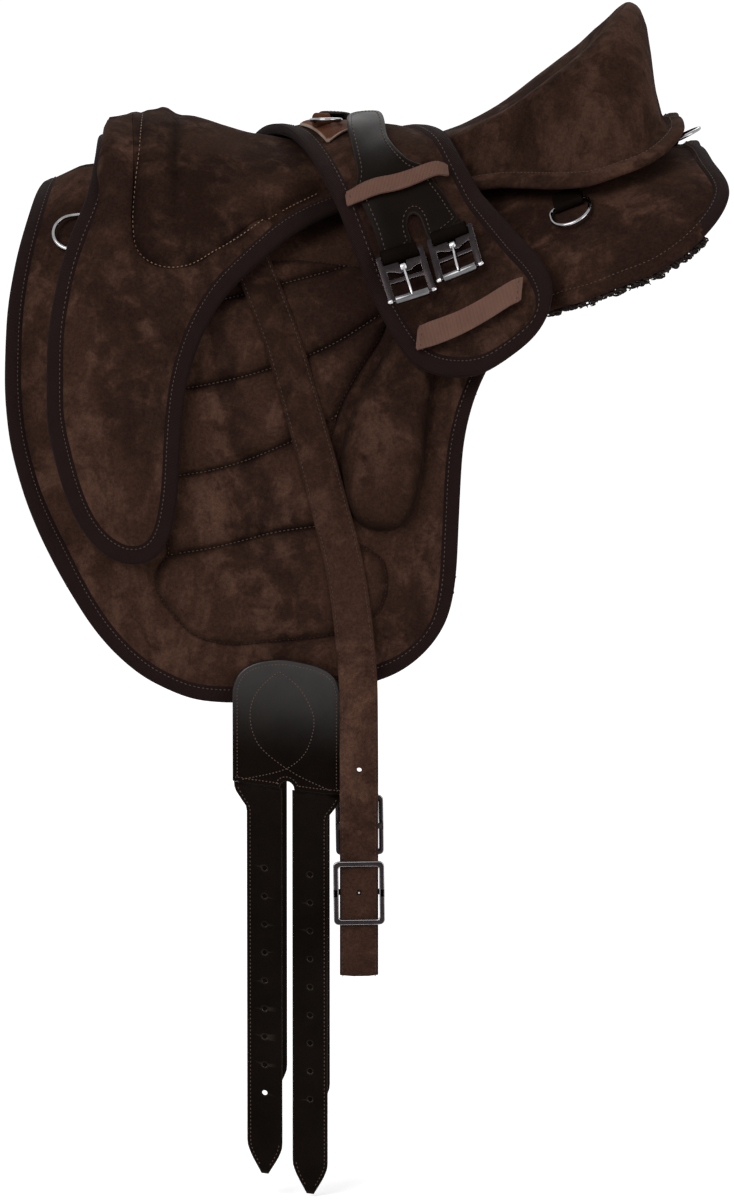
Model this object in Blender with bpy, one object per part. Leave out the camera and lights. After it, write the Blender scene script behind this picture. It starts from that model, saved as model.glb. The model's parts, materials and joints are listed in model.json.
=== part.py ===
"""Treeless saddle with its girth laid over the seat. Metres, +Z up, pommel at -X, near side at -Y."""

import math

import bmesh
import bpy
import numpy as np
from mathutils import Matrix, Vector
from mathutils.bvhtree import BVHTree

MM = 0.001
QUARTER = math.pi / 2
HALF_TURN = math.pi
FULL_TURN = 2 * math.pi
SMOOTH_ANGLE = math.radians(50)

# The form: a horse's back, as a ridge line with a cross-section that turns down from it
HALF_LENGTH = 0.300
DRAPE = 0.500
RIDGE_RISE = 0.050
FRONT_BEND, REAR_BEND = 0.090, 0.172
FRONT_POWER, REAR_POWER = 1.3, 2.4
FRONT_FALL, REAR_FALL = math.radians(80), math.radians(74)
WIDENS_FROM, WIDENS_OVER = 0.030, 0.200
UPRIGHT_FROM, UPRIGHT_OVER = 0.330, 0.070
FORM_REACH, FORM_STEPS = 0.960, 320
RIDGE_shares = (
    (-0.9667, 0.04), (-0.8167, 0.18), (-0.7033, 0.4), (-0.6, 0.44), (-0.5, 0.41), (-0.3667, 0.29),
    (-0.2333, 0.16), (0, 0), (0.2667, 0.08), (0.5, 0.28), (0.6667, 0.48), (0.8, 0.66), (0.9333, 0.82),
    (1.05, 0.92),
)
CLEAR, WELD, REST = 0.0003, 0.005, 0.0005

# Layers, as heights above the form
FLEECE_LOW, FLEECE_HIGH = 0.0, 0.0066
PANEL_LOW, PANEL_EDGE, PANEL_HIGH = 0.0085, 0.0135, 0.0180
QUILT_LOW, QUILT_SEAM, QUILT_HIGH = 0.0194, 0.0216, 0.0254
BLOCK_LOW, BLOCK_EDGE, BLOCK_HIGH = 0.0204, 0.0228, 0.0400
SEAT_LOW, SEAT_FLANGE = 0.0345, 0.0388
LOBE_CROWN, POMMEL_CROWN, POMMEL_FADE = 0.009, 0.017, 0.110
BINDING_WIDTH, BINDING_THICK, BINDING_GAP = 0.0125, 0.0012, 0.0024
PANEL_RISE, LOBE_RISE, BLOCK_RISE, QUILT_RISE = 0.024, 0.024, 0.032, 0.022
SEAM_LEVEL, POMMEL_FACE = 0.0460, 0.013
BLEND_AT_share, BLEND_OVER_share = 0.1833, 0.2
EDGE_FROM, LOBE_FROM_share = 0.0, -0.4367
GULLET_HALF, GULLET_ROUND, BEARING_END, BEARING_DEEP = 0.026, 0.018, 0.140, 0.014
CANTLE_shares = (0.69, 0.7133, 0.78, 0.82)
FOOT_REAR_share, FOOT_FRONT_share, LOBE_FOOT_share = 0.25, -0.4167, -0.5333
FOOT_FADE, FOOT_RISE, FOOT_LOW, LOBE_FOOT_S = 0.025, 0.018, 0.0192, 0.135
FLANGE_WIDE, FLANGE_RISE = 0.0150, 0.0120
PANEL_STEP, QUILT_STEP, SEAT_STEP, BLOCK_STEP = 0.044, 0.044, 0.028, 0.022
BLOCK_RINGS, FLEECE_CUTS = (0.00533, 0.0080), (1, 3, 5)
EDGE_STEP, EDGE_LEAST, LINE_LEAST = 0.024, 0.018, 0.005
QUILT_EDGE_STEP, STRAP_EDGE_STEP, FINE_EDGE_STEP = 0.0288, 0.0360, 0.0120
SEAT_DOWN_shares = (-0.154, -0.11, 0.11, 0.154)
DOWN_shares = (0.0, 0.044, 0.088, 0.132, 0.176, 0.22, 0.27, 0.33, 0.4, 0.48, 0.58, 0.7, 0.84)
LUMP_SEAM_share = -0.4567
LUMP_DEEP, LUMP_WIDE, LUMP_DOWN = 0.005, 0.007, 0.090

# Outlines on the form, as shares of HALF_LENGTH along and of DRAPE down
PANEL_shares = (
    (-0.8133, 0), (-0.84, 0.108), (-0.8733, 0.204), (-0.8933, 0.296), (-0.8967, 0.388),
    (-0.8867, 0.466), (-0.8533, 0.554), (-0.7967, 0.648), (-0.71, 0.758), (-0.6067, 0.844),
    (-0.5033, 0.888), (-0.4, 0.904), (-0.31, 0.9), (-0.2333, 0.888), (-0.0233, 0.858), (0.1167, 0.834),
    (0.2067, 0.804), (0.2567, 0.766), (0.2767, 0.704), (0.2833, 0.624), (0.2933, 0.522), (0.3167, 0.46),
    (0.3567, 0.416), (0.4133, 0.388), (0.5033, 0.388), (0.6167, 0.412), (0.7467, 0.416), (0.85, 0.394),
    (0.9267, 0.358), (0.9733, 0.316), (0.9867, 0.284), (0.97, 0.242), (0.9467, 0.192), (0.9333, 0.1),
    (0.92, 0),
)
JOCKEY_FRONT_shares = (
    (-0.6667, 0), (-0.6667, 0.058), (-0.6833, 0.152), (-0.7267, 0.212), (-0.7633, 0.282),
    (-0.7833, 0.366), (-0.7833, 0.456), (-0.7567, 0.548), (-0.71, 0.634), (-0.6467, 0.688),
    (-0.5667, 0.71), (-0.5033, 0.7), (-0.4633, 0.664), (-0.4433, 0.594), (-0.4367, 0.516),
    (-0.4267, 0.446), (-0.3933, 0.368), (-0.33, 0.294), (-0.2267, 0.226), (-0.13, 0.174),
    (-0.0367, 0.14), (0.04, 0.124),
)
JOCKEY_REAR_shares = (
    (0.04, 0.124), (0.15, 0.124), (0.2667, 0.132), (0.3667, 0.15), (0.46, 0.188), (0.5467, 0.226),
    (0.65, 0.254), (0.75, 0.252), (0.83, 0.22), (0.8767, 0.15), (0.8767, 0.076), (0.87, 0),
)
INSERT_shares = (
    (-0.5767, 0), (-0.5633, 0.136), (-0.5667, 0.208), (-0.5533, 0.244), (-0.5267, 0.26),
    (-0.4767, 0.268), (-0.4267, 0.262), (-0.35, 0.23), (-0.28, 0.194), (-0.2333, 0.172),
    (-0.2033, 0.168), (-0.1833, 0.18), (-0.1733, 0.198),
)
QUILT_shares = (
    (-0.5, 0.5), (-0.4933, 0.64), (-0.4667, 0.684), (-0.5, 0.712), (-0.5033, 0.738), (-0.46, 0.774),
    (-0.4033, 0.802), (-0.33, 0.808), (-0.2033, 0.792), (-0.0567, 0.772), (0.04, 0.754),
    (0.0833, 0.732), (0.1, 0.696), (0.0933, 0.664), (0.0267, 0.632), (-0.0233, 0.612), (-0.0467, 0.564),
    (-0.0533, 0.504), (-0.0267, 0.428), (0.0333, 0.36), (0.0933, 0.3), (0.1067, 0.244), (0.06, 0.208),
    (-0.1, 0.2), (-0.2333, 0.216), (-0.3667, 0.26), (-0.46, 0.36),
)
SEAM_shares = (
    ((-0.5333, 0.448), (0.1, 0.274)),
    ((-0.5333, 0.58), (0.0267, 0.41)),
    ((-0.5333, 0.7), (0.0267, 0.592)),
    ((-0.5, 0.32), (0.1, 0.18)),
)
BLOCK_shares = (
    (0.1267, 0.3), (0.0667, 0.364), (0.0067, 0.43), (-0.0233, 0.5), (-0.0167, 0.552), (0.01, 0.594),
    (0.0533, 0.612), (0.11, 0.616), (0.1533, 0.602), (0.18, 0.562), (0.1967, 0.502), (0.21, 0.438),
    (0.22, 0.37), (0.2133, 0.316), (0.18, 0.288),
)

# Seat: centre and rim heights over the form, rim place and flange place, against share of HALF_LENGTH
SEAT_X_shares = (
    -0.6, -0.5533, -0.5, -0.4567, -0.4167, -0.3333, -0.24, -0.1, 0, 0.1333, 0.2267, 0.3, 0.3733, 0.4333,
    0.5, 0.56, 0.61, 0.6567, 0.69, 0.7133, 0.7367, 0.76, 0.78, 0.8, 0.82, 0.84, 0.8767,
)
SEAT_CENTRE_shares = (
    0.3571, 0.3714, 0.4286, 0.4143, 0.4, 0.3929, 0.3786, 0.3786, 0.3929, 0.4071, 0.4179, 0.4429, 0.4643,
    0.4786, 0.5, 0.55, 0.6429, 0.7429, 0.8286, 0.9143, 0.9786, 0.95, 0.8571, 0.7143, 0.5143, 0.3429,
    0.2714,
)
SEAT_RIM_shares = (
    0.3286, 0.3429, 0.3857, 0.3786, 0.3643, 0.3571, 0.35, 0.35, 0.3643, 0.3857, 0.4286, 0.4857, 0.5571,
    0.6214, 0.7, 0.7571, 0.8071, 0.8714, 0.9143, 0.9571, 0.9786, 0.95, 0.8571, 0.7143, 0.5143, 0.3429,
    0.2714,
)
SEAT_RIM_AT_shares = (
    0.2143, 0.2429, 0.2857, 0.2857, 0.2714, 0.2286, 0.1857, 0.1571, 0.1571, 0.2, 0.2714, 0.3571, 0.4286,
    0.4643, 0.4857, 0.4714, 0.4429, 0.3857, 0.3143, 0.2429, 0.1571, 0.0857, 0.0429, 0.0286, 0.0214,
    0.0214, 0.0214,
)
SEAT_SCALE, LOBE_RING = 0.140, 0.0098
SEAT_WALL = 1.5

# Billets and their head
HEAD_LOW, HEAD_THICK = 0.0180, 0.0060
HEAD_shares = (
    (-0.3033, 1.018), (-0.3033, 0.88), (-0.2933, 0.856), (-0.2667, 0.836), (-0.2167, 0.822),
    (-0.16, 0.816), (-0.1, 0.818), (-0.0567, 0.826), (-0.03, 0.842), (-0.0217, 0.864), (-0.0217, 1.018),
)
HEAD_END = 0.509
BILLET_WIDTH, BILLET_THICK, BILLET_TIP = 0.0275, 0.0045, 0.0220
BILLET_X_shares = (-0.221, -0.103)
BILLET_POINT_share = 0.1667
ROLL_TOP_share = 0.995
ROLL_ROWS_shares = (0.0, 0.4, 0.75, 0.95)
BILLET_LONG = (0.3050, 0.3160)
BILLET_HOLES, BILLET_PITCH, BILLET_FIRST, BILLET_BORE = 9, 0.0222, 0.0625, 0.0042

# Stirrup leather, its bar and its buckle
STRAP_THICK, STRAP_WIDTH, STRAP_LIFT = 0.0025, 0.0300, 0.0259
STRAP_shares = (
    (-0.32, 0.0608), (-0.32, 0.09), (-0.3167, 0.124), (-0.2867, 0.18), (-0.23, 0.256), (-0.1733, 0.336),
    (-0.1133, 0.45), (-0.0567, 0.568), (-0.0067, 0.69), (0.0133, 0.774), (0.0233, 0.86),
    (0.0247, 0.978),
)
STRAP_END, STRAP_BACK, STRAP_FOLD = 0.6520, 0.1000, 0.0060
STRAP_HOLES, STRAP_PITCH, STRAP_FIRST, STRAP_BORE = 3, 0.0245, 0.4890, 0.0042
STRAP_X_share, STRAP_SETTLES = 0.0247, 0.0700
ROLL_ROW, ROLL_ROWS, FOLD_ROWS = 0.00288, 6, 4
BAR_X_share = -0.32
BAR_S, BAR_LIFT, BAR_RADIUS, BAR_LONG = 0.0450, 0.0272, 0.0024, 0.0388
BAR_GAP, BAR_PLATE_LIFT, WEBBING_LOW = 0.0011, -0.0008, 0.0186
BAR_PLATE_THICK, BAR_PLATE_DOWN, BAR_LUG, BAR_LUG_DOWN = 0.0012, 0.0280, 0.0030, 0.0072
BAR_X, STRAP_X = BAR_X_share * HALF_LENGTH, STRAP_X_share * HALF_LENGTH
BUCKLE_AT, BUCKLE_WIDE, BUCKLE_HIGH, BUCKLE_WALL, BUCKLE_THICK = 0.5850, 0.0400, 0.0500, 0.0042, 0.0032
BUCKLE_CORNER, CROSS_DOWN, CROSS_THICK, LUG_DOWN = 0.00336, 0.00448, 0.00256, 0.0064

# Dee rings
DEE_WIRE, DEE_WIDE, DEE_DEEP, CRUPPER_DEEP = 0.0020, 0.0320, 0.0270, 0.0230
LOOP_THICK, LOOP_WIDE, LOOP_LONG, LOOP_LIFT = 0.0015, 0.0230, 0.0150, 0.0024
DEE_CORNER_share, BOW_STEPS, WIRE_CORNERS, TAB_TURNS = 0.25, 9, 6, 6
FRONT_DEE_shares, REAR_DEE_shares = (-0.6833, 0.192), (0.5667, 0.236)
REAR_DEE_TURN, CRUPPER_LEAN = math.radians(-8), math.radians(-14)
CRUPPER_X_share = 0.8567

# Girth
GIRTH_TURN, GIRTH_HALF = math.radians(29), 0.0490
GIRTH_LOW, GIRTH_EDGE, GIRTH_CROWN = 0.0015, 0.0070, 0.0130
GIRTH_RISE, GIRTH_STEP, GIRTH_SPREAD = 0.020, 0.035, 0.0030
LIE_ROWS, LIE_COLUMNS, LIE_REACH = 53, 9, 2
GIRTH_END_shares = (
    (0.1885, 0), (0.1885, 0.3462), (0.1885, 0.6923), (0.1885, 0.8654), (0.1692, 0.9423),
    (0.1269, 0.9846), (0.0692, 0.9885), (0.0038, 0.9538), (-0.0538, 0.9154), (-0.1038, 0.8538),
    (-0.1462, 0.7885), (-0.1731, 0.7308), (-0.1885, 0.6462), (-0.1885, 0.3462), (-0.1885, 0),
)
GIRTH_SCALE = 0.260
CHAPE_THICK = 0.0030
CHAPE_shares = (
    (0.0308, 0.0062), (-0.0154, 0.0115), (-0.0385, 0.0346), (-0.0538, 0.1077), (-0.0769, 0.1692),
    (-0.1038, 0.2154), (-0.1154, 0.2846), (-0.1192, 0.3692), (-0.1192, 0.4385), (-0.0269, 0.4462),
    (-0.0269, 0.4), (-0.0115, 0.3769), (0.0038, 0.4), (0.0038, 0.4846), (0.0962, 0.5), (0.0962, 0.3846),
    (0.0846, 0.2923), (0.0577, 0.2231), (0.0538, 0.1769), (0.0846, 0.1308), (0.1, 0.0654),
    (0.0808, 0.0154),
)
KEEPER_WIDTH, KEEPER_THICK, KEEPER_HIGH, KEEPER_LOW = 0.0180, 0.0016, 0.0098, 0.0062
KEEPER_TUCK_share, KEEPER_ROWS = 0.125, 10
CHAPE_LIFT = 0.0030
KEEPER_shares = (
    ((-0.1649, 0.2736), (0.1304, 0.3757)),
    ((-0.1402, 0.6655), (0.1155, 0.8468)),
)
GIRTH_BUCKLE_shares = (
    (-0.0812, 0.4519), (0.0537, 0.5179),
)
FRAME_WIDE, FRAME_LONG, FRAME_THICK, FRAME_SIDE, FRAME_BAR = 0.0380, 0.0410, 0.0024, 0.0038, 0.0024
FRAME_TURNS_deg = {"front_near": 8, "rear_near": -8, "front_off": 8, "rear_off": 8}
FRAME_LIFT, ROLL_RADIUS, ROLL_BORE, ROLL_LONG = 0.0098, 0.0060, 0.0021, 0.0290
ROLLER_RADIUS, ROLLER_BORE = 0.0034, 0.0022
ROD_CORNERS, STUD_CORNERS, HOLE_CORNERS, CORNER, CORNER_STEPS = 10, 8, 6, 0.0015, 3
WINDOW_CORNER, FRAME_CORNER = 0.0006, 0.00127
TONGUE_WIRE, TONGUE_SLEEVE, TONGUE_SLEEVE_WIDE = 0.0012, 0.0033, 0.0050
TONGUE_OUT_share, TONGUE_UP_share = 0.74, 0.55
CENTRE_STRAP_WIDTH, CENTRE_STRAP_THICK = 0.0370, 0.0024
CENTRE_STRAP_HALF, CENTRE_STRAP_AT = 0.0240, -0.0145
CENTRE_DEE_AT, CENTRE_DEE_DOWN, CENTRE_DEE_LIFT, CENTRE_ROLL_LONG = -0.0268, 0.0020, 0.0086, 0.0120
CENTRE_DEE_LEAN = math.radians(-13)
CENTRE_DEE_WIDE, CENTRE_DEE_DEEP = 0.0220, 0.0200
WINDOW_shares = (-0.029, -0.268, -0.327, -0.520, -0.590, -0.912)

# Surface colours
SUEDE, BINDING, LEATHER = (0.036, 0.018, 0.012), (0.022, 0.013, 0.011), (0.014, 0.011, 0.009)
WEBBING, RUSSET = (0.125, 0.060, 0.045), (0.090, 0.034, 0.020)
FLEECE, NICKEL = (0.012, 0.008, 0.007), (0.55, 0.55, 0.56)
METAL = {"roughness": 0.25, "metallic": 1.0}
STRAP_LOOK, RUSSET_LOOK = {"roughness": 0.45}, {"roughness": 0.6}
FITTINGS = ("buckle", "tongue", "roller")


def clear_scene():
    for obj in list(bpy.data.objects):
        bpy.data.objects.remove(obj)


def ease(t):
    t = np.clip(t, 0, 1)
    return t * t * (3 - 2 * t)


def curve_through(xs, ys):
    """A smooth curve through the points that never overshoots them."""
    xs, ys = np.array(xs, float), np.array(ys, float)
    steps = np.diff(ys) / np.diff(xs)
    slopes = np.zeros(len(xs))
    slopes[0], slopes[-1] = steps[0], steps[-1]
    same = steps[:-1] * steps[1:] > 0
    slopes[1:-1][same] = 2 * steps[:-1][same] * steps[1:][same] / (steps[:-1] + steps[1:])[same]

    def value(x):
        i = np.clip(np.searchsorted(xs, x) - 1, 0, len(xs) - 2)
        wide = xs[i + 1] - xs[i]
        t = np.clip((x - xs[i]) / wide, 0, 1)
        rise = t * t * (3 - 2 * t)
        start, end = t * (1 - t) ** 2 * wide, -t * t * (1 - t) * wide
        return ys[i] * (1 - rise) + ys[i + 1] * rise + slopes[i] * start + slopes[i + 1] * end

    return value


ridge = curve_through(*zip(*[(a * HALF_LENGTH, b * RIDGE_RISE) for a, b in RIDGE_shares]))
FORM_S = np.linspace(0, FORM_REACH, FORM_STEPS + 1)


def section(x):
    """The turn of the form away from level, and its half-width and fall, at FORM_S for each x."""
    wider = ease((x - WIDENS_FROM) / WIDENS_OVER)[:, None]
    bend = FRONT_BEND + (REAR_BEND - FRONT_BEND) * wider
    power = FRONT_POWER + (REAR_POWER - FRONT_POWER) * wider
    fall = FRONT_FALL + (REAR_FALL - FRONT_FALL) * wider
    turn = fall * (1 - np.exp(-((FORM_S[None, :] / bend) ** power)))
    turn = turn + (QUARTER - turn) * ease((FORM_S - UPRIGHT_FROM) / UPRIGHT_OVER)[None, :]
    middle = (turn[:, 1:] + turn[:, :-1]) / 2
    step = FORM_REACH / FORM_STEPS
    zero = np.zeros((len(x), 1))
    out = np.concatenate([zero, np.cumsum(np.cos(middle), axis=1)], axis=1) * step
    down = np.concatenate([zero, np.cumsum(np.sin(middle), axis=1)], axis=1) * step
    return turn, out, down


def draped(x, s, lift):
    """Points of the form, with s the length down from the ridge: positive near side, negative off."""
    x, s, lift = np.broadcast_arrays(*(np.atleast_1d(np.asarray(v, float)) for v in (x, s, lift)))
    turn, out, down = section(x)
    at = np.abs(s) / FORM_REACH * FORM_STEPS
    i = np.clip(at.astype(int), 0, FORM_STEPS - 1)
    rows, part = np.arange(len(x)), at - i
    turn, out, down = (v[rows, i] * (1 - part) + v[rows, i + 1] * part for v in (turn, out, down))
    y = -np.sign(s) * (out + lift * np.sin(turn))
    return np.stack([x, y, ridge(x) - down + lift * np.cos(turn)], axis=1)


def frame_at(x, s, lift, turn=0.0):
    """A local frame on the form: Z outward, Y up towards the ridge, turned about Z."""
    side = 1 if s >= 0 else -1
    here = Vector(draped(x, s, lift)[0])
    along = (Vector(draped(x + MM, s, lift)[0]) - here).normalized() * side
    up = Vector(draped(x, s - side * MM, lift)[0]) - here
    out = along.cross(up).normalized()
    base = Matrix((along, out.cross(along), out)).transposed().to_4x4()
    return Matrix.Translation(here) @ base @ Matrix.Rotation(turn, 4, "Z")


def sized(shares, along=HALF_LENGTH, down=DRAPE):
    return [(a * along, b * down) for a, b in shares]


def distance(points, line):
    """How far each flat point is from a line of points."""
    line = np.array(line)
    starts, ends = line[:-1], line[1:]
    way = ends - starts
    t = ((points[:, None, :] - starts) * way).sum(2) / (way**2).sum(1)
    nearest = starts + np.clip(t, 0, 1)[:, :, None] * way
    return np.sqrt(((points[:, None, :] - nearest) ** 2).sum(2)).min(1)


def inward(line, closed):
    """Unit directions to the left of a line of points, as seen walking along it."""
    line = np.array(line)
    if closed:
        way = np.roll(line, -1, axis=0) - np.roll(line, 1, axis=0)
    else:
        way = np.gradient(line, axis=0)
    way /= np.linalg.norm(way, axis=1)[:, None]
    return np.stack([-way[:, 1], way[:, 0]], axis=1)


def shifted(line, by, closed=False):
    return [tuple(p) for p in np.array(line) + inward(line, closed) * by]


def flat_mesh(loops, step=0.0, rings=(), cuts=(), weld=WELD):
    """Triangles filling the first loop, less the others, cut by a grid and by rings inside the edge."""
    bm = bmesh.new()
    for loop in loops:
        corners = [bm.verts.new((x, s, 0)) for x, s in loop]
        for a, b in zip(corners, corners[1:] + corners[:1]):
            bm.edges.new((a, b))
    if len(loops) == 1:
        face = bm.faces.new(corners)
        bm.normal_update()
        for ring in rings:
            bmesh.ops.inset_region(
                bm, faces=[face], thickness=ring, use_even_offset=True, use_boundary=True
            )
    else:
        bmesh.ops.triangle_fill(bm, use_beauty=True, edges=bm.edges[:])
    kept = bm.verts[:]
    places = [(Vector((at, 0, 0)), Vector((1, 0, 0))) for at in along_lines(loops[0], step)]
    places += [(Vector((0, at, 0)), Vector((0, 1, 0))) for at in down_lines(loops[0], step)]
    places += [(Vector((x, s, 0)), Vector((nx, ns, 0))) for x, s, nx, ns in cuts]
    for point, normal in places:
        everything = bm.verts[:] + bm.edges[:] + bm.faces[:]
        bmesh.ops.bisect_plane(bm, geom=everything, dist=MM / 10, plane_co=point, plane_no=normal)
    bmesh.ops.remove_doubles(bm, verts=bm.verts[:], dist=MM / 3)
    kept = {v for v in kept if v.is_valid}
    close = {}
    for edge in bm.edges:
        a, b = edge.verts
        if step and edge.calc_length() < weld and (a in kept) != (b in kept):
            close[b if a in kept else a] = a if a in kept else b
    bmesh.ops.weld_verts(bm, targetmap=close)
    bmesh.ops.triangulate(bm, faces=bm.faces[:])
    bmesh.ops.recalc_face_normals(bm, faces=bm.faces[:])
    bm.verts.index_update()
    points = np.array([v.co[:2] for v in bm.verts])
    faces = [[v.index for v in f.verts] for f in bm.faces]
    edges = [e for e in bm.edges if len(e.link_faces) == 1]
    rim = []
    for edge in edges:
        loop = edge.link_loops[0]
        rim.append((loop.vert.index, loop.link_loop_next.vert.index))
    bm.free()
    return points, faces, rim


def along_lines(loop, step):
    """Even steps along the form, at places that every layer shares."""
    if not step:
        return []
    low, high = min(p[0] for p in loop), max(p[0] for p in loop)
    return [i * step for i in range(math.ceil(low / step), math.floor(high / step) + 1)]


def down_lines(loop, step):
    """Places down the form that every layer shares, so that the layers' flat faces lie parallel."""
    if not step:
        return []
    low, high = min(p[1] for p in loop), max(p[1] for p in loop)
    places = [share * DRAPE for share in DOWN_shares]
    places += [-at for at in places if at]
    return [at for at in places if low + MM < at < high - MM]


def thick(name, flat, low, high, place, colour, **look):
    """A closed body between two heights over a flat mesh, put in space by place(x, s, lift)."""
    points, faces, rim = flat
    n = len(points)
    low = low(points) if callable(low) else np.full(n, low)
    high = high(points) if callable(high) else np.full(n, high)
    under = place(points[:, 0], points[:, 1], low)
    over = place(points[:, 0], points[:, 1], high)
    sides = [(b, a, a + n, b + n) for a, b in rim]
    polygons = [tuple(f) for f in faces] + [tuple(i + n for i in reversed(f)) for f in faces] + sides
    return body(name, np.concatenate([over, under]), polygons, colour, **look)


def body(name, points, polygons, colour, **look):
    bm = bmesh.new()
    corners = [bm.verts.new(tuple(p)) for p in points]
    for polygon in polygons:
        bm.faces.new([corners[i] for i in polygon])
    bmesh.ops.recalc_face_normals(bm, faces=bm.faces[:])
    return finish(name, bm, colour, **look)


def finish(name, bm, colour, roughness=0.9, metallic=0.0, smooth=True, matrix=None):
    mesh = bpy.data.meshes.new(name)
    bmesh.ops.triangulate(bm, faces=[f for f in bm.faces if len(f.verts) > 3])
    if bm.calc_volume(signed=True) < 0:
        bmesh.ops.reverse_faces(bm, faces=bm.faces[:])
    bm.to_mesh(mesh)
    bm.free()
    mesh.polygons.foreach_set("use_smooth", [smooth] * len(mesh.polygons))
    if smooth:
        mesh.set_sharp_from_angle(angle=SMOOTH_ANGLE)
    obj = bpy.data.objects.new(name, mesh)
    if matrix is not None:
        obj.matrix_world = matrix
    SADDLE.objects.link(obj)
    dress(obj, colour, roughness, metallic)
    return obj


def dress(obj, colour, roughness, metallic):
    material = bpy.data.materials.new(obj.name)
    material.use_nodes = True
    shader = material.node_tree.nodes["Principled BSDF"]
    shader.inputs["Base Color"].default_value = (*colour, 1)
    shader.inputs["Roughness"].default_value = roughness
    shader.inputs["Metallic"].default_value = metallic
    material.diffuse_color = (*colour, 1)
    obj.data.materials.clear()
    obj.data.materials.append(material)


def swept(name, path, profile, closed, place, colour, **look):
    """A body swept along a flat path; each profile point is (distance inward, height)."""
    path = np.array(path)
    ways = inward(path, closed)
    count, around = len(path), len(profile)
    rows = [place(*(path + ways * a).T, np.full(count, h)) for a, h in profile]
    points = np.stack(rows, axis=1).reshape(-1, 3)
    polygons = []
    for i in range(count if closed else count - 1):
        here, there = i * around, (i + 1) % count * around
        for k in range(around):
            m = (k + 1) % around
            polygons.append((here + k, here + m, there + m, there + k))
    if not closed:
        polygons.append(tuple(range(around)))
        polygons.append(tuple((count - 1) * around + k for k in reversed(range(around))))
    return body(name, points, polygons, colour, **look)


def wrap_profile(low, high):
    """A binding turned over an edge that lies between two heights."""
    top = high + BINDING_GAP + BINDING_THICK
    return [
        (0, low),
        (0, top),
        (BINDING_WIDTH, top),
        (BINDING_WIDTH, top - BINDING_THICK),
        (BINDING_THICK, top - BINDING_THICK),
        (BINDING_THICK, low),
    ]


def with_lines(path, step):
    """The path with a point wherever it crosses a shared line, and none of its own close to those."""
    points = [(path[0], True)]
    lines = [(1, share * DRAPE * way) for share in DOWN_shares for way in (-1, 1)]
    reach = math.ceil(HALF_LENGTH / step)
    lines += [(0, i * step) for i in range(-reach, reach)]
    for a, b in zip(path, path[1:]):
        crossed = [(k, at) for k, at in lines if (a[k] - at) * (b[k] - at) < 0]
        parts = sorted({(at - a[k]) / (b[k] - a[k]) for k, at in crossed})
        points += [((a[0] + (b[0] - a[0]) * part, a[1] + (b[1] - a[1]) * part), True) for part in parts]
        points.append((b, b == path[-1]))
    fixed = [p for p, keep in points if keep]
    kept = [p for p, keep in points if keep or min(math.dist(p, q) for q in fixed) > EDGE_LEAST]
    return [p for i, p in enumerate(kept) if not i or math.dist(p, kept[i - 1]) > LINE_LEAST]


def rounded(points, every):
    """The outline smoothed and set out again at even steps."""
    points = np.array(points, float)
    length = np.concatenate([[0], np.cumsum(np.linalg.norm(np.diff(points, axis=0), axis=1))])
    along = [curve_through(length, points[:, k]) for k in (0, 1)]
    at = np.linspace(0, length[-1], max(2, round(length[-1] / every)) + 1)
    return [(float(along[0](t)), float(along[1](t))) for t in at]


def sides():
    return (("near", 1), ("off", -1))


def mirrored(side, line):
    """The near-side line, walked with the part on its left, or the same line on the off side."""
    return list(reversed(line)) if side > 0 else [(x, -s) for x, s in line]


def crown(line, edge, top, start, rise):
    """Height that rises from the edge level to the top with distance from a line."""

    def height(points):
        t = np.clip((distance(points, line) - start) / rise, 0, 1)
        return edge + (top - edge) * (1 - (1 - t) ** 2)

    return height


def seat_tables():
    xs = [a * HALF_LENGTH for a in SEAT_X_shares]
    tables = (SEAT_CENTRE_shares, SEAT_RIM_shares, SEAT_RIM_AT_shares)
    return [curve_through(xs, [v * SEAT_SCALE for v in table]) for table in tables]


def jockey_path():
    """The lower edge of the seat and its front lobes, from the pommel ridge to the cantle ridge."""
    edge = sized(JOCKEY_FRONT_shares) + sized(JOCKEY_REAR_shares)[1:]
    return with_lines(rounded(edge, EDGE_STEP), SEAT_STEP)


def insert_path():
    return rounded(sized(INSERT_shares), FINE_EDGE_STEP)


def edge_place(path, start=-math.inf):
    """How far down the form the path reaches at each x beyond the start."""
    points = np.array([p for p in path if p[0] > start])
    order = np.argsort(points[:, 0])
    return lambda x: np.interp(x, points[order, 0], points[order, 1])


def seat_top(points):
    """The dished seat: its centre, the cantle rim, and the wall down to the stitched edge."""
    x, s = points[:, 0], np.abs(points[:, 1])
    centre, rim, rim_at = (table(x) for table in seat_tables())
    flange_at = edge_place(jockey_path(), LOBE_FROM_share * HALF_LENGTH)(x) - BINDING_WIDTH
    insert_at = edge_place(sized(INSERT_shares)[2:])(x)
    rearward = ease((x / HALF_LENGTH + BLEND_AT_share) / BLEND_OVER_share)
    level = SEAM_LEVEL + (SEAT_FLANGE - SEAM_LEVEL) * rearward
    reach = np.maximum(insert_at + (flange_at - insert_at) * rearward, rim_at + MM)
    inner = ease(s / np.maximum(rim_at, MM))
    wall = 1 - np.clip((s - rim_at) / (reach - rim_at), 0, 1) ** SEAT_WALL
    height = np.where(s < rim_at, centre + (rim - centre) * inner, level + (rim - level) * wall)
    lump = np.exp(-(((x - LUMP_SEAM_share * HALF_LENGTH) / LUMP_WIDE) ** 2))
    lump = lump * (1 - ease((s - LUMP_DOWN / 2) / LUMP_DOWN))
    away = distance(np.stack([x, s], axis=1), jockey_path()) - FLANGE_WIDE
    return SEAT_FLANGE + (height - LUMP_DEEP * lump - SEAT_FLANGE) * ease(away / FLANGE_RISE)


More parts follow.
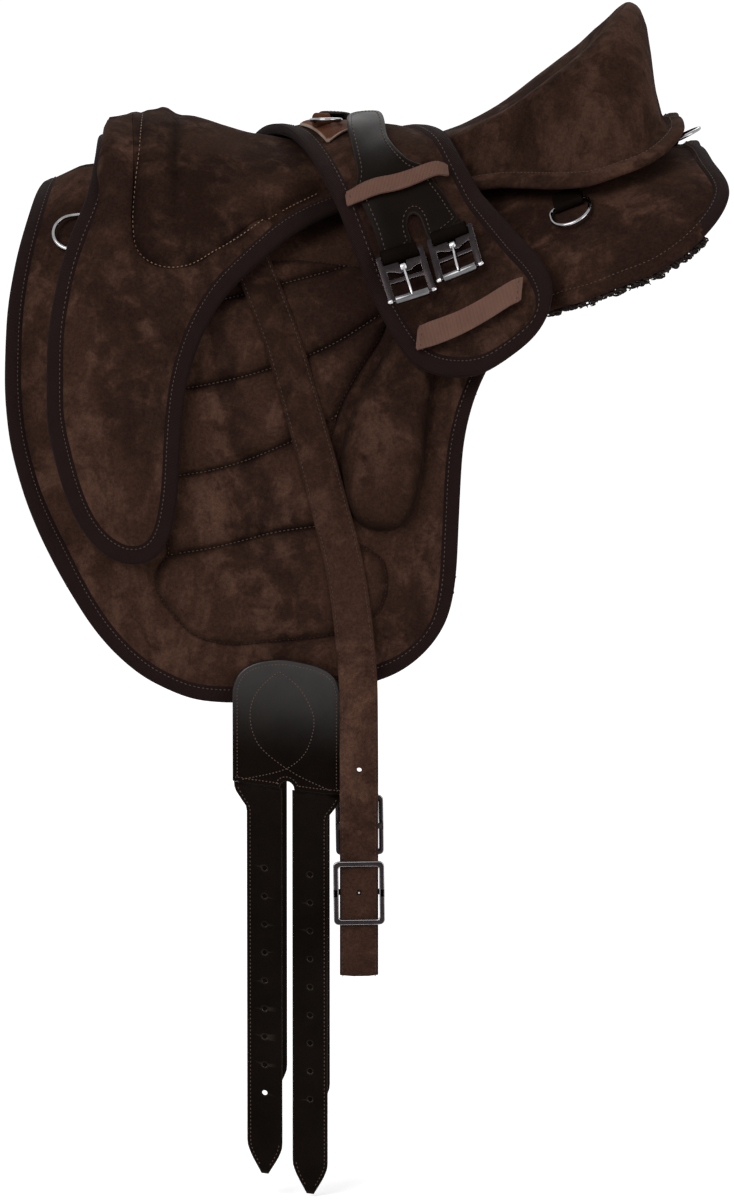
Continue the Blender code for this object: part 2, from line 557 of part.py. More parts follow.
def lobe_top(points):
    x, s = points[:, 0], np.abs(points[:, 1])
    away = distance(np.stack([x, s], axis=1), jockey_path()) - FLANGE_WIDE
    pommel = 1 - ease(s / POMMEL_FADE)
    rise = LOBE_RISE + (POMMEL_FACE - LOBE_RISE) * pommel
    full = LOBE_CROWN + (POMMEL_CROWN - LOBE_CROWN) * pommel
    return SEAT_FLANGE + full * (1 - (1 - np.clip(away / rise, 0, 1)) ** 2)


def make_panel(name, side):
    edge = with_lines(rounded(sized(PANEL_shares), EDGE_STEP), PANEL_STEP)
    path = mirrored(side, clear_of_ridge(edge))
    inner = clear_of_ridge(shifted(path, BINDING_THICK + CLEAR))
    high = crown(path, PANEL_EDGE, PANEL_HIGH, FLANGE_WIDE, PANEL_RISE)
    flat = flat_mesh([inner], PANEL_STEP, rings=(BINDING_WIDTH,))
    thick(f"panel_{name}", flat, PANEL_LOW, high, draped, SUEDE)
    profile = wrap_profile(PANEL_LOW, PANEL_EDGE)
    swept(f"panel_binding_{name}", path, profile, False, draped, BINDING)
    lining = clear_of_ridge(shifted(path, BINDING_WIDTH + BINDING_THICK * 2))
    flat = flat_mesh([lining], PANEL_STEP * 2, cuts=[(PANEL_STEP * i, 0, 1, 0) for i in FLEECE_CUTS])
    thick(f"fleece_{name}", flat, fleece_low, FLEECE_HIGH, draped, FLEECE, roughness=1.0)


def fleece_low(points):
    """The lining is padded out either side of the gullet."""
    s = np.abs(points[:, 1])
    bearing = ease((s - GULLET_HALF) / GULLET_ROUND) * (1 - ease((s - BEARING_END) / BEARING_END))
    return FLEECE_LOW - BEARING_DEEP * bearing


def clear_of_ridge(path):
    """The outline kept just off the ridge, so that the two sides of a part don't meet."""
    return [(x, math.copysign(max(abs(s), CLEAR), middle_side(path))) for x, s in path]


def middle_side(path):
    return 1 if sum(s for _, s in path) > 0 else -1


def make_quilt(name, side):
    outline = mirrored(side, rounded(closed_line(sized(QUILT_shares)), QUILT_EDGE_STEP)[:-1])
    seams = [mirrored(side, sized(seam)) for seam in SEAM_shares]
    cuts = []
    for (x, s), (end_x, end_s) in seams:
        cuts.append((x, s, s - end_s, end_x - x))

    def high(points):
        away = distance(points, closed_line(outline))
        for seam in seams:
            away = np.minimum(away, distance(points, seam))
        t = np.clip(away / QUILT_RISE, 0, 1)
        return QUILT_SEAM + (QUILT_HIGH - QUILT_SEAM) * (1 - (1 - t) ** 2)

    flat = flat_mesh([outline], QUILT_STEP, cuts=cuts)
    thick(f"quilt_{name}", flat, QUILT_LOW, high, draped, SUEDE)


def closed_line(points):
    return list(points) + [points[0]]


def make_block(name, side):
    outline = mirrored(side, rounded(closed_line(sized(BLOCK_shares)), EDGE_STEP)[:-1])
    high = crown(closed_line(outline), BLOCK_EDGE, BLOCK_HIGH, 0, BLOCK_RISE)
    flat = flat_mesh([outline], BLOCK_STEP, rings=BLOCK_RINGS)
    thick(f"thigh_block_{name}", flat, BLOCK_LOW, high, draped, SUEDE)


def seat_low(points):
    """The underside: raised over the stirrup bars and flaps, and down on the panel at both ends."""
    x, s = points[:, 0], np.abs(points[:, 1])
    away = distance(np.stack([x, s], axis=1), jockey_path()) - FLANGE_WIDE
    rear, front = FOOT_REAR_share * HALF_LENGTH, FOOT_FRONT_share * HALF_LENGTH
    ends = ease((x - rear) / FOOT_FADE) + ease((front - x) / FOOT_FADE)
    return SEAT_LOW - (SEAT_LOW - FOOT_LOW) * ends * ease(away / FOOT_RISE)


def lobe_low(points):
    x, s = points[:, 0], np.abs(points[:, 1])
    away = distance(np.stack([x, s], axis=1), jockey_path()) - FLANGE_WIDE
    foot = ease((LOBE_FOOT_share * HALF_LENGTH - x) / FOOT_FADE) * ease((s - LOBE_FOOT_S) / FOOT_FADE)
    return SEAT_LOW - (SEAT_LOW - FOOT_LOW) * foot * ease(away / FOOT_RISE)


def meeting(path):
    """The number of the point of the seat's edge where the seam of the insert comes out."""
    end = insert_path()[-1]
    return min(range(len(path)), key=lambda i: math.dist(path[i], end))


def make_seat():
    """One cushion over the ridge, from the pommel seam to the cantle."""
    path = jockey_path()
    rear = shifted(path, -BINDING_THICK - CLEAR)
    half = insert_path()[1:-1] + [p for p in rear[meeting(path) :] if p[1] > CLEAR]
    first, last = insert_path()[0][0], rear[-1][0]
    outline = [(first, 0)] + half + [(last, 0)] + [(x, -s) for x, s in reversed(half)]
    lines = [share * HALF_LENGTH for share in (LUMP_SEAM_share, *CANTLE_shares)]
    cuts = [(x, 0, 1, 0) for x in lines]
    cuts += [(0, share * DRAPE, 0, 1) for share in SEAT_DOWN_shares]
    flat = flat_mesh([outline], SEAT_STEP, rings=(BINDING_WIDTH,), cuts=cuts)
    thick("seat", flat, seat_low, seat_top, draped, SUEDE)


def make_lobe(name, side):
    path = jockey_path()
    outer = shifted(path, -BINDING_THICK - CLEAR)
    seam = shifted(insert_path(), CLEAR)
    last = meeting(path)
    a, b = np.array(outer[last - 1]), np.array(outer[last])
    front = outer[:last] + [tuple(b + (a - b) / np.linalg.norm(a - b) * CLEAR * 2)]
    outline = clear_of_ridge(mirrored(side, front + list(reversed(seam))[1:]))
    face = outer[0][0] + LOBE_RING
    flat = flat_mesh([outline], SEAT_STEP, rings=(LOBE_RING,), cuts=[(face, 0, 1, 0)])
    thick(f"lobe_{name}", flat, lobe_low, lobe_top, draped, SUEDE)
    path = clear_of_ridge(mirrored(side, jockey_path()))
    profile = wrap_profile(SEAT_LOW, SEAT_FLANGE)
    swept(f"seat_binding_{name}", path, profile, False, draped, BINDING)


def ring_of(x, s, radius, corners=HOLE_CORNERS):
    turns = [FULL_TURN * (i + 1 / 2) / corners for i in range(corners)]
    return [(x + radius * math.cos(a), s + radius * math.sin(a)) for a in turns]


def make_billets(name, side):
    outline = mirrored(side, rounded(closed_line(sized(HEAD_shares)), FINE_EDGE_STEP)[:-1])
    flat = flat_mesh([outline])
    thick(f"billet_head_{name}", flat, HEAD_LOW, HEAD_LOW + HEAD_THICK, draped, LEATHER, **STRAP_LOOK)
    radius = BILLET_THICK / 2
    axis = HEAD_END + CLEAR + radius
    middle = HEAD_LOW + HEAD_THICK / 2

    def half_thick(points):
        over = np.clip((axis - np.abs(points[:, 1])) / radius, 0, 1)
        return radius * np.sqrt(np.maximum(1 - over**2, 0))

    for which, x, length in zip(("front", "rear"), BILLET_X_shares, BILLET_LONG):
        x = x * HALF_LENGTH
        top, tip, half = axis - radius * ROLL_TOP_share, axis + length, BILLET_WIDTH / 2
        point = half * BILLET_POINT_share
        line = [(x - half, top), (x - half, tip - BILLET_TIP), (x - point, tip), (x + point, tip)]
        line += [(x + half, tip - BILLET_TIP), (x + half, top)]
        first = axis + BILLET_FIRST
        holes = [ring_of(x, first + i * BILLET_PITCH, BILLET_BORE / 2) for i in range(BILLET_HOLES)]
        loops = [mirrored(side, line)] + [mirrored(side, hole) for hole in holes]
        cuts = [(x, side * (axis - radius * row), 0, 1) for row in ROLL_ROWS_shares]
        flat = flat_mesh(loops, cuts=cuts)
        body_of = thick(
            f"billet_{which}_{name}",
            flat,
            lambda points: middle - half_thick(points),
            lambda points: middle + half_thick(points),
            draped,
            LEATHER,
            **STRAP_LOOK,
        )
        set_origin(body_of, draped(x, side * axis, middle)[0])


def set_origin(obj, point):
    """Moves the object's origin to a point, leaving its shape where it is."""
    shift = Vector(point) - obj.matrix_world.translation
    obj.data.transform(Matrix.Translation(-(obj.matrix_world.inverted().to_3x3() @ shift)))
    obj.matrix_world.translation = Vector(point)


STRAP_TOP = BAR_LIFT + BAR_RADIUS + BAR_GAP + STRAP_THICK / 2
STRAP_LOW = STRAP_LIFT + STRAP_THICK / 2
STRAP_DOWN = (BAR_S, BAR_S + STRAP_SETTLES, FORM_REACH)
strap_level = curve_through(STRAP_DOWN, (STRAP_TOP, STRAP_LOW, STRAP_LOW))


def strap_place(x, t, lift):
    """The stirrup leather: rolled round its bar, laid down the flap, and folded up at its lower end."""
    side, t, off = np.sign(t), np.abs(t), lift - STRAP_THICK / 2
    roll = BAR_RADIUS + BAR_GAP + STRAP_THICK / 2
    fold = STRAP_FOLD - STRAP_THICK / 2
    fold_at = STRAP_END - STRAP_FOLD
    over = np.clip((BAR_S - t) / roll, 0, None)
    under = np.clip((t - fold_at) / fold, 0, HALF_TURN)
    back = np.clip(t - fold_at - HALF_TURN * fold, 0, None)
    base = np.clip(t, BAR_S, fold_at)
    level = strap_level(base)
    s = base - (roll + off) * np.sin(over) + (fold + off) * np.sin(under) - back
    n = level - roll * (t < BAR_S) - fold * (t > fold_at)
    n = n + (roll * (t < BAR_S) + off) * np.cos(over) * (t <= fold_at)
    n = n + (fold + off) * np.cos(under) * (t > fold_at)
    return draped(x, side * s, n)


def make_stirrup_leather(name, side):
    centre = rounded(sized(STRAP_shares), STRAP_EDGE_STEP)
    fold_long = HALF_TURN * (STRAP_FOLD - STRAP_THICK / 2)
    last = STRAP_END - STRAP_FOLD + fold_long + STRAP_BACK
    centre = [p for p in centre if p[1] < STRAP_FIRST] + [(STRAP_X, STRAP_FIRST), (STRAP_X, last)]
    ways = inward(centre, False)
    left = [tuple(np.array(p) + w * STRAP_WIDTH / 2) for p, w in zip(centre, ways)]
    right = [tuple(np.array(p) - w * STRAP_WIDTH / 2) for p, w in zip(centre, ways)]
    line = right + list(reversed(left))
    holes = [ring_of(STRAP_X, STRAP_FIRST + i * STRAP_PITCH, STRAP_BORE / 2) for i in range(STRAP_HOLES)]
    holes.append(ring_of(STRAP_X, BUCKLE_AT, STRAP_BORE / 2))
    loops = [mirrored(side, line)] + [mirrored(side, hole) for hole in holes]
    bends = [BAR_S - i * ROLL_ROW for i in range(ROLL_ROWS)]
    bends += [STRAP_END - STRAP_FOLD + fold_long * i / FOLD_ROWS for i in range(FOLD_ROWS + 1)]
    bends += [share * DRAPE for share in DOWN_shares if share * DRAPE > BAR_S]
    cuts = [(0, side * at, 0, 1) for at in bends]
    flat = flat_mesh(loops, cuts=cuts)
    obj = thick(f"stirrup_leather_{name}", flat, 0.0, STRAP_THICK, strap_place, SUEDE)
    set_origin(obj, draped(BAR_X, side * BAR_S, BAR_LIFT)[0])


def box(name, size, middle, matrix):
    bm = bmesh.new()
    bmesh.ops.create_cube(bm, size=1)
    matrix_of = Matrix.Translation(middle) @ Matrix.Diagonal((*size, 1))
    bmesh.ops.transform(bm, verts=bm.verts, matrix=matrix_of)
    return finish(name, bm, NICKEL, smooth=False, matrix=matrix, **METAL)


def rod(name, radius, length, matrix, middle=(0, 0, 0), direction="X", corners=ROD_CORNERS, bore=0.0):
    """A round bar, or a tube when it has a bore, centred on a point."""
    bm = bmesh.new()
    rings = []
    for size, way in ((radius, 1), (bore, -1)) if bore else ((radius, 1),):
        for end in (-way, way):
            around = [FULL_TURN * i / corners for i in range(corners)]
            spots = [(end * length / 2, size * math.cos(a), size * math.sin(a)) for a in around]
            rings.append([bm.verts.new(spot) for spot in spots])
    pairs = [(0, 1), (2, 3)] if bore else [(0, 1)]
    pairs += [(1, 2), (3, 0)] if bore else []
    for a, b in pairs:
        for i in range(corners):
            j = (i + 1) % corners
            bm.faces.new((rings[a][i], rings[a][j], rings[b][j], rings[b][i]))
    if not bore:
        bm.faces.new(rings[0])
        bm.faces.new(list(reversed(rings[1])))
    about = {"X": "X", "Y": "Z", "Z": "Y"}[direction]
    turned = Matrix.Rotation(0 if direction == "X" else QUARTER, 4, about)
    bmesh.ops.transform(bm, verts=bm.verts, matrix=Matrix.Translation(middle) @ turned)
    bmesh.ops.recalc_face_normals(bm, faces=bm.faces[:])
    return finish(name, bm, NICKEL, matrix=matrix, **METAL)


def plate(name, loops, thickness, matrix):
    """A flat plate with openings, lying in the local XY plane."""
    points, faces, rim = flat_mesh(loops)
    n = len(points)
    over = np.column_stack([points, np.full(n, thickness / 2)])
    under = np.column_stack([points, np.full(n, -thickness / 2)])
    polygons = [tuple(f) for f in faces] + [tuple(i + n for i in reversed(f)) for f in faces]
    polygons += [(b, a, a + n, b + n) for a, b in rim]
    obj = body(name, np.concatenate([over, under]), polygons, NICKEL, **METAL)
    obj.matrix_world = matrix
    return obj


def rectangle(wide, high, x=0.0, y=0.0, corner=CORNER, per_corner=CORNER_STEPS):
    points = []
    for k, (sx, sy) in enumerate(((1, 1), (-1, 1), (-1, -1), (1, -1))):
        for i in range(per_corner + 1):
            a = QUARTER * (k + i / per_corner)
            px = x + sx * (wide / 2 - corner) + corner * math.cos(a)
            points.append((px, y + sy * (high / 2 - corner) + corner * math.sin(a)))
    return points


def joined(target, others):
    """The target with the other bodies made one with it."""
    for other in others:
        modifier = target.modifiers.new(other.name, "BOOLEAN")
        modifier.operation, modifier.solver, modifier.object = "UNION", "EXACT", other
    bpy.context.view_layer.update()
    graph = bpy.context.evaluated_depsgraph_get()
    mesh = bpy.data.meshes.new_from_object(target.evaluated_get(graph))
    target.modifiers.clear()
    material = target.data.materials[0]
    target.data = mesh
    mesh.materials.clear()
    mesh.materials.append(material)
    mesh.set_sharp_from_angle(angle=SMOOTH_ANGLE)
    for other in others:
        bpy.data.objects.remove(other)
    return target


def make_stirrup_bar(name, side):
    at = frame_at(BAR_X, side * BAR_S, BAR_LIFT)
    lug = BAR_LIFT - QUILT_LOW - BAR_PLATE_LIFT
    bar = rod(f"stirrup_bar_{name}", BAR_RADIUS, BAR_LONG - BAR_LUG, at)
    wide = BAR_LONG / 2 - BAR_LUG / 2
    floor = -lug + BAR_PLATE_THICK / 2
    extras = [box("plate", (BAR_LONG, BAR_PLATE_DOWN, BAR_PLATE_THICK), (0, 0, floor), at)]
    high = lug + BAR_RADIUS + BAR_LUG / 2
    for end in (-wide, wide):
        size = (BAR_LUG, BAR_LUG_DOWN, high - BAR_PLATE_THICK / 2)
        extras.append(box("lug", size, (end, 0, floor + size[2] / 2), at))
    joined(bar, extras)


def make_bar_webbing():
    half = BAR_LONG / 2 - BAR_LUG / 2
    end = BAR_S - BAR_PLATE_DOWN / 2 - CLEAR * 2
    line = [(BAR_X + half, -end), (BAR_X + half, end), (BAR_X - half, end), (BAR_X - half, -end)]
    flat = flat_mesh([line], QUILT_STEP / 2, cuts=[(0, BINDING_WIDTH * way, 0, 1) for way in (-1, 1)])
    thick("bar_webbing", flat, WEBBING_LOW, WEBBING_LOW + BAR_PLATE_THICK, draped, WEBBING)


def make_stirrup_buckle(name, side):
    """A frame whose cross-bar and stud sit behind the leather, and whose ends lie over it."""
    front = STRAP_LIFT + STRAP_THICK + CLEAR * 2 + BUCKLE_THICK / 2
    at = frame_at(STRAP_X, side * BUCKLE_AT, front)
    inner = rectangle(BUCKLE_WIDE - 2 * BUCKLE_WALL, BUCKLE_HIGH - 2 * BUCKLE_WALL)
    outer = rectangle(BUCKLE_WIDE, BUCKLE_HIGH, corner=BUCKLE_CORNER)
    frame = plate(f"stirrup_buckle_{name}", [outer, inner], BUCKLE_THICK, at)
    bar = STRAP_LIFT - CLEAR * 2 - BUCKLE_THICK / 2 - front
    lug_high = -bar + BUCKLE_THICK / 2
    lug_wide = BUCKLE_WALL - CLEAR * 3
    place = BUCKLE_WIDE / 2 - lug_wide / 2 - CLEAR
    cross = (BUCKLE_WIDE - lug_wide, CROSS_DOWN, CROSS_THICK)
    extras = [box("cross", cross, (0, 0, bar), at)]
    for x in (-place, place):
        extras.append(box("lug", (lug_wide, LUG_DOWN, lug_high), (x, 0, bar + lug_high / 2), at))
    stud_high = -bar + BUCKLE_THICK / 4
    radius = STRAP_BORE / 2 - CLEAR
    middle = (0, 0, bar + stud_high / 2)
    extras.append(rod("stud", radius, stud_high, at, middle, "Z", STUD_CORNERS))
    joined(frame, extras)


def dee_path(wide, deep):
    """A straight bar and a round bow below it, as a closed line in the local XY plane."""
    half = wide / 2
    turns = np.linspace(0, HALF_TURN, BOW_STEPS)
    bow = [(half * math.cos(a), -(deep - half) - half * math.sin(a)) for a in turns]
    corner = half * DEE_CORNER_share
    return [(-half + corner, 0), (0, 0), (half - corner, 0), (half, -corner)] + bow + [(-half, -corner)]


def make_dee(name, matrix, wide=DEE_WIDE, deep=DEE_DEEP):
    path = np.array(dee_path(wide, deep))
    ways = inward(path, True)
    corners = WIRE_CORNERS
    around = [FULL_TURN * (i + 1 / 2) / corners for i in range(corners)]
    points, polygons = [], []
    for p, w in zip(path, ways):
        for a in around:
            x, y = p + w * DEE_WIRE * math.cos(a)
            points.append((x, y, DEE_WIRE * math.sin(a)))
    for i in range(len(path)):
        here, there = i * corners, (i + 1) % len(path) * corners
        for k in range(corners):
            m = (k + 1) % corners
            polygons.append((here + k, here + m, there + m, there + k))
    obj = body(name, points, polygons, NICKEL, **METAL)
    obj.matrix_world = matrix
    return obj


def make_loop(name, matrix):
    """A short leather tab folded round a dee's bar."""
    inner, outer = DEE_WIRE + CLEAR, DEE_WIRE + CLEAR + LOOP_THICK
    turns = [HALF_TURN * i / TAB_TURNS for i in range(TAB_TURNS + 1)]
    line = [(LOOP_LONG, outer)] + [(-outer * math.sin(a), outer * math.cos(a)) for a in turns]
    line += [(LOOP_LONG, -outer), (LOOP_LONG, -inner)]
    line += [(-inner * math.sin(a), inner * math.cos(a)) for a in reversed(turns)] + [(LOOP_LONG, inner)]
    count = len(line)
    points = [(end * LOOP_WIDE / 2, y, z) for end in (-1, 1) for y, z in line]
    bm = bmesh.new()
    corners = [bm.verts.new(p) for p in points]
    for i in range(count):
        j = (i + 1) % count
        bm.faces.new((corners[i], corners[j], corners[j + count], corners[i + count]))
    for start in (0, count):
        for i in range(count // 2 - 1):
            a, b = start + i, start + count - 1 - i
            bm.faces.new((corners[a], corners[a + 1], corners[b - 1], corners[b]))
    bmesh.ops.recalc_face_normals(bm, faces=bm.faces[:])
    return finish(name, bm, LEATHER, matrix=matrix, **STRAP_LOOK)


def make_dees():
    lift = PANEL_HIGH + LOOP_LIFT + LOOP_THICK + CLEAR + DEE_WIRE
    for name, side in sides():
        x, s = sized([FRONT_DEE_shares])[0]
        at = frame_at(x, side * s, lift, -side * QUARTER)
        make_dee(f"front_dee_{name}", at)
        make_loop(f"front_dee_loop_{name}", at)
        x, s = sized([REAR_DEE_shares])[0]
        at = frame_at(x, side * s, lift, side * REAR_DEE_TURN)
        make_dee(f"rear_dee_{name}", at)
        make_loop(f"rear_dee_loop_{name}", at)
    at = frame_at(CRUPPER_X_share * HALF_LENGTH, 0, lift, QUARTER)
    make_loop("crupper_loop", at)
    at = at @ Matrix.Rotation(CRUPPER_LEAN, 4, "X")
    make_dee("crupper_dee", at, deep=CRUPPER_DEEP)


def girth_point(u, v):
    """From across and along the girth to along and down the form."""
    x = v * math.sin(GIRTH_TURN) + u * math.cos(GIRTH_TURN)
    return x, v * math.cos(GIRTH_TURN) - u * math.sin(GIRTH_TURN)


def girth_lie():
    """How high the girth lies over the form at each place along it: just over all that it covers."""
    along = np.linspace(-GIRTH_SCALE, GIRTH_SCALE, LIE_ROWS)
    across = np.linspace(-GIRTH_HALF, GIRTH_HALF, LIE_COLUMNS)
    under = []
    for v in along:
        x, s = girth_point(across, np.full(len(across), v))
        points = np.stack([x, s], axis=1)
        under.append(top_of_layers(points).max())
    under = np.array(under)
    spans = [slice(max(0, i - LIE_REACH), i + LIE_REACH + 1) for i in range(len(under))]
    near = [under[span].max() for span in spans]
    even = [np.mean(near[span]) for span in spans]
    return curve_through(along, even)


def top_of_layers(points):
    """The highest layer under each point of the form."""
    x, s = points[:, 0], np.abs(points[:, 1])
    flat = np.stack([x, s], axis=1)
    edge = edge_place(jockey_path(), EDGE_FROM)(x)
    in_seat = s < edge
    in_lobe = (s < edge_place(jockey_path(), LOBE_FROM_share * HALF_LENGTH)(x)) & (x < 0)
    tops = np.full(len(x), BLOCK_HIGH)
    tops = np.where(in_lobe, np.maximum(tops, lobe_top(flat)), tops)
    insert = edge_place(sized(INSERT_shares)[2:])(x)
    return np.where(in_seat & ((x > 0) | (s < insert)), np.maximum(tops, seat_top(flat)), tops)


def girth_half(flip):
    line = rounded([(a * GIRTH_SCALE, b * GIRTH_SCALE) for a, b in GIRTH_END_shares], EDGE_STEP)
    return [girth_point(flip * u, flip * v) for u, v in line[:-1]]


GIRTH_LIE = girth_lie()
GIRTH_PATH = with_lines(closed_line(girth_half(1) + girth_half(-1)), GIRTH_STEP)[:-1]


def girth_low(points):
    along = points[:, 0] * math.sin(GIRTH_TURN) + points[:, 1] * math.cos(GIRTH_TURN)
    return GIRTH_LIE(along) + GIRTH_LOW


def girth_high(points):
    t = np.clip((distance(points, closed_line(GIRTH_PATH)) - FLANGE_WIDE) / GIRTH_RISE, 0, 1)
    return girth_low(points) + GIRTH_EDGE + (GIRTH_CROWN - GIRTH_EDGE) * (1 - (1 - t) ** 2)


def on_girth(x, s, lift):
    return draped(x, s, girth_low(np.stack([x, s], axis=1)) + lift)


def over_pad(x, s, lift):
    return draped(x, s, girth_high(np.stack([x, s], axis=1)) + lift)


def make_girth():
    inner = shifted(GIRTH_PATH, BINDING_THICK + CLEAR, closed=True)
    flat = flat_mesh([inner], GIRTH_STEP, rings=(BINDING_WIDTH,))
    thick("girth_pad", flat, girth_low, girth_high, draped, SUEDE)
    swept("girth_binding", GIRTH_PATH, wrap_profile(0, GIRTH_EDGE), True, on_girth, BINDING)


def make_keepers():
    for which, ends in zip(("upper", "lower"), KEEPER_shares):
        for name, flip in sides():
            line = np.array(girth_outline(ends, flip))
            way = (line[1] - line[0]) / np.linalg.norm(line[1] - line[0])
            side = np.array((-way[1], way[0])) * KEEPER_WIDTH / 2
            corners = (line[0] - side, line[1] - side, line[1] + side, line[0] + side)
            corners = [tuple(p) for p in corners]
            long = np.linalg.norm(line[1] - line[0])
            rows = [line[0] + way * long * i / KEEPER_ROWS for i in range(1, KEEPER_ROWS)]
            cuts = [(*p, *way) for p in rows]
            flat = flat_mesh([corners], cuts=cuts)

            def raised(x, s, lift, line=line, way=way, long=long):
                run = (np.stack([x, s], axis=1) - line[0]) @ way / long
                arch = ease(run / KEEPER_TUCK_share) * ease((1 - run) / KEEPER_TUCK_share)
                return over_pad(x, s, lift + KEEPER_LOW + (KEEPER_HIGH - KEEPER_LOW) * arch)

            thick(f"girth_keeper_{which}_{name}", flat, 0.0, KEEPER_THICK, raised, WEBBING)


def chape_place(x, s, lift):
    """The chape's head is carried over the centre strap."""
    along = np.abs(x * math.sin(GIRTH_TURN) + s * math.cos(GIRTH_TURN))
    past = ease((along - CENTRE_STRAP_HALF) / CENTRE_STRAP_HALF)
    return over_pad(x, s, lift + CHAPE_LIFT + (CENTRE_STRAP_THICK + CHAPE_LIFT) * (1 - past))


def girth_outline(shares, flip):
    return [girth_point(flip * a * GIRTH_SCALE, flip * b * GIRTH_SCALE) for a, b in shares]


def make_girth_end(name, flip):
    """The forked chape, rolled round the top bars of its two buckles."""
    line = rounded(closed_line(girth_outline(CHAPE_shares, flip)), FINE_EDGE_STEP)[:-1]
    flat = flat_mesh([line], GIRTH_STEP)
    chape = thick(f"girth_chape_{name}", flat, 0.0, CHAPE_THICK, chape_place, LEATHER, **STRAP_LOOK)
    rolls = []
    for which, (x, s) in zip(("front", "rear"), girth_outline(GIRTH_BUCKLE_shares, flip)):
        x = x + flip * GIRTH_SPREAD * (flip < 0) * (1 if which == "rear" else -1)
        lift = float(girth_high(np.array([[x, s]]))[0]) + FRAME_LIFT
        at = frame_at(x, s, lift, math.radians(FRAME_TURNS_deg[f"{which}_{name}"]))
        rolls.append(rod("roll", ROLL_RADIUS, ROLL_LONG, at, bore=ROLL_BORE))
        make_roller_buckle(f"{which}_{name}", at)
    joined(chape, rolls)


def make_roller_buckle(name, at):
    """A roller buckle hung by its top bar, which is the local X axis."""
    inside = FRAME_WIDE - 2 * FRAME_SIDE
    levels = [share * FRAME_LONG for share in WINDOW_shares]
    windows = []
    for top, bottom in zip(levels[::2], levels[1::2]):
        middle = (top + bottom) / 2
        windows.append(rectangle(inside, top - bottom, 0, middle, WINDOW_CORNER, per_corner=1))
    outer = rectangle(FRAME_WIDE, FRAME_LONG, 0, (FRAME_BAR - FRAME_LONG) / 2, FRAME_CORNER)
    plate(f"girth_buckle_{name}", [outer] + windows, FRAME_THICK, at)
    foot = -FRAME_LONG + FRAME_BAR
    roller_at = at @ Matrix.Translation((0, foot, 0))
    rod(f"girth_roller_{name}", ROLLER_RADIUS, inside - 2 * CLEAR, roller_at, bore=ROLLER_BORE)
    pivot = (levels[1] + levels[2]) / 2
    tongue_at = at @ Matrix.Translation((0, pivot, 0))
    sleeve = rod(f"girth_tongue_{name}", TONGUE_SLEEVE, TONGUE_SLEEVE_WIDE, tongue_at, bore=ROLLER_BORE)
    start = Vector((0, -TONGUE_SLEEVE * TONGUE_OUT_share, TONGUE_SLEEVE * TONGUE_UP_share))
    end = Vector((0, foot - pivot - ROLLER_RADIUS / 2, ROLLER_RADIUS + TONGUE_WIRE + CLEAR * 3))
    way = end - start
    lean = Matrix.Rotation(math.atan2(way.z, -way.y), 4, "X").inverted()
    middle = Matrix.Translation((start + end) / 2)
    lie = tongue_at @ middle @ lean
    shank = rod("shank", TONGUE_WIRE, way.length, lie, direction="Y", corners=STUD_CORNERS)
    joined(sleeve, [shank])


def make_girth_centre():
    """A russet strap over the ridge of the girth, with a small dee rolled into it."""
    half, wide = CENTRE_STRAP_HALF, CENTRE_STRAP_WIDTH
    corners = [(CENTRE_STRAP_AT - wide / 2, -half), (CENTRE_STRAP_AT + wide / 2, -half)]
    corners += [(u, -v) for u, v in reversed(corners)]
    line = [girth_point(u, v) for u, v in corners]
    flat = flat_mesh([line], GIRTH_STEP / 2)
    top = CHAPE_LIFT + CENTRE_STRAP_THICK
    strap = thick("girth_centre_strap", flat, CHAPE_LIFT, top, over_pad, RUSSET, **RUSSET_LOOK)
    x, s = girth_point(CENTRE_DEE_AT, CENTRE_DEE_DOWN)
    lift = float(girth_high(np.array([[x, s]]))[0]) + CENTRE_DEE_LIFT
    at = frame_at(x, s, lift, GIRTH_TURN)
    roll = rod("roll", ROLL_RADIUS, CENTRE_ROLL_LONG, at, bore=DEE_WIRE + CLEAR)
    joined(strap, [roll])
    at = at @ Matrix.Rotation(CENTRE_DEE_LEAN, 4, "X")
    make_dee("girth_centre_dee", at, wide=CENTRE_DEE_WIDE, deep=CENTRE_DEE_DEEP)


def settle(names, carried_by, way=(0, 0, -1)):
    """Lets pieces down together until they rest just clear of what carries them."""
    way = Vector(way).normalized()
    moving, fixed = samples(names), samples(carried_by)
    falls = [hit[3] for point in moving[1] if (hit := fixed[0].ray_cast(point, way))[0]]
    falls += [hit[3] for point in fixed[1] if (hit := moving[0].ray_cast(point, -way))[0]]
    for name in names:
        bpy.data.objects[name].matrix_world.translation += way * (min(falls) - REST)
    bpy.context.view_layer.update()


def samples(names):
    """The surfaces of the pieces as one tree, and the corners and edge middles on them."""
    points, polygons, marks = [], [], []
    for name in names:
        obj = bpy.data.objects[name]
        start = len(points)
        points += [obj.matrix_world @ v.co for v in obj.data.vertices]
        polygons += [[start + i for i in p.vertices] for p in obj.data.polygons]
        for edge in obj.data.edges:
            a, b = (points[start + i] for i in edge.vertices)
            marks.append((a + b) / 2)
    return BVHTree.FromPolygons(points, polygons), points + marks


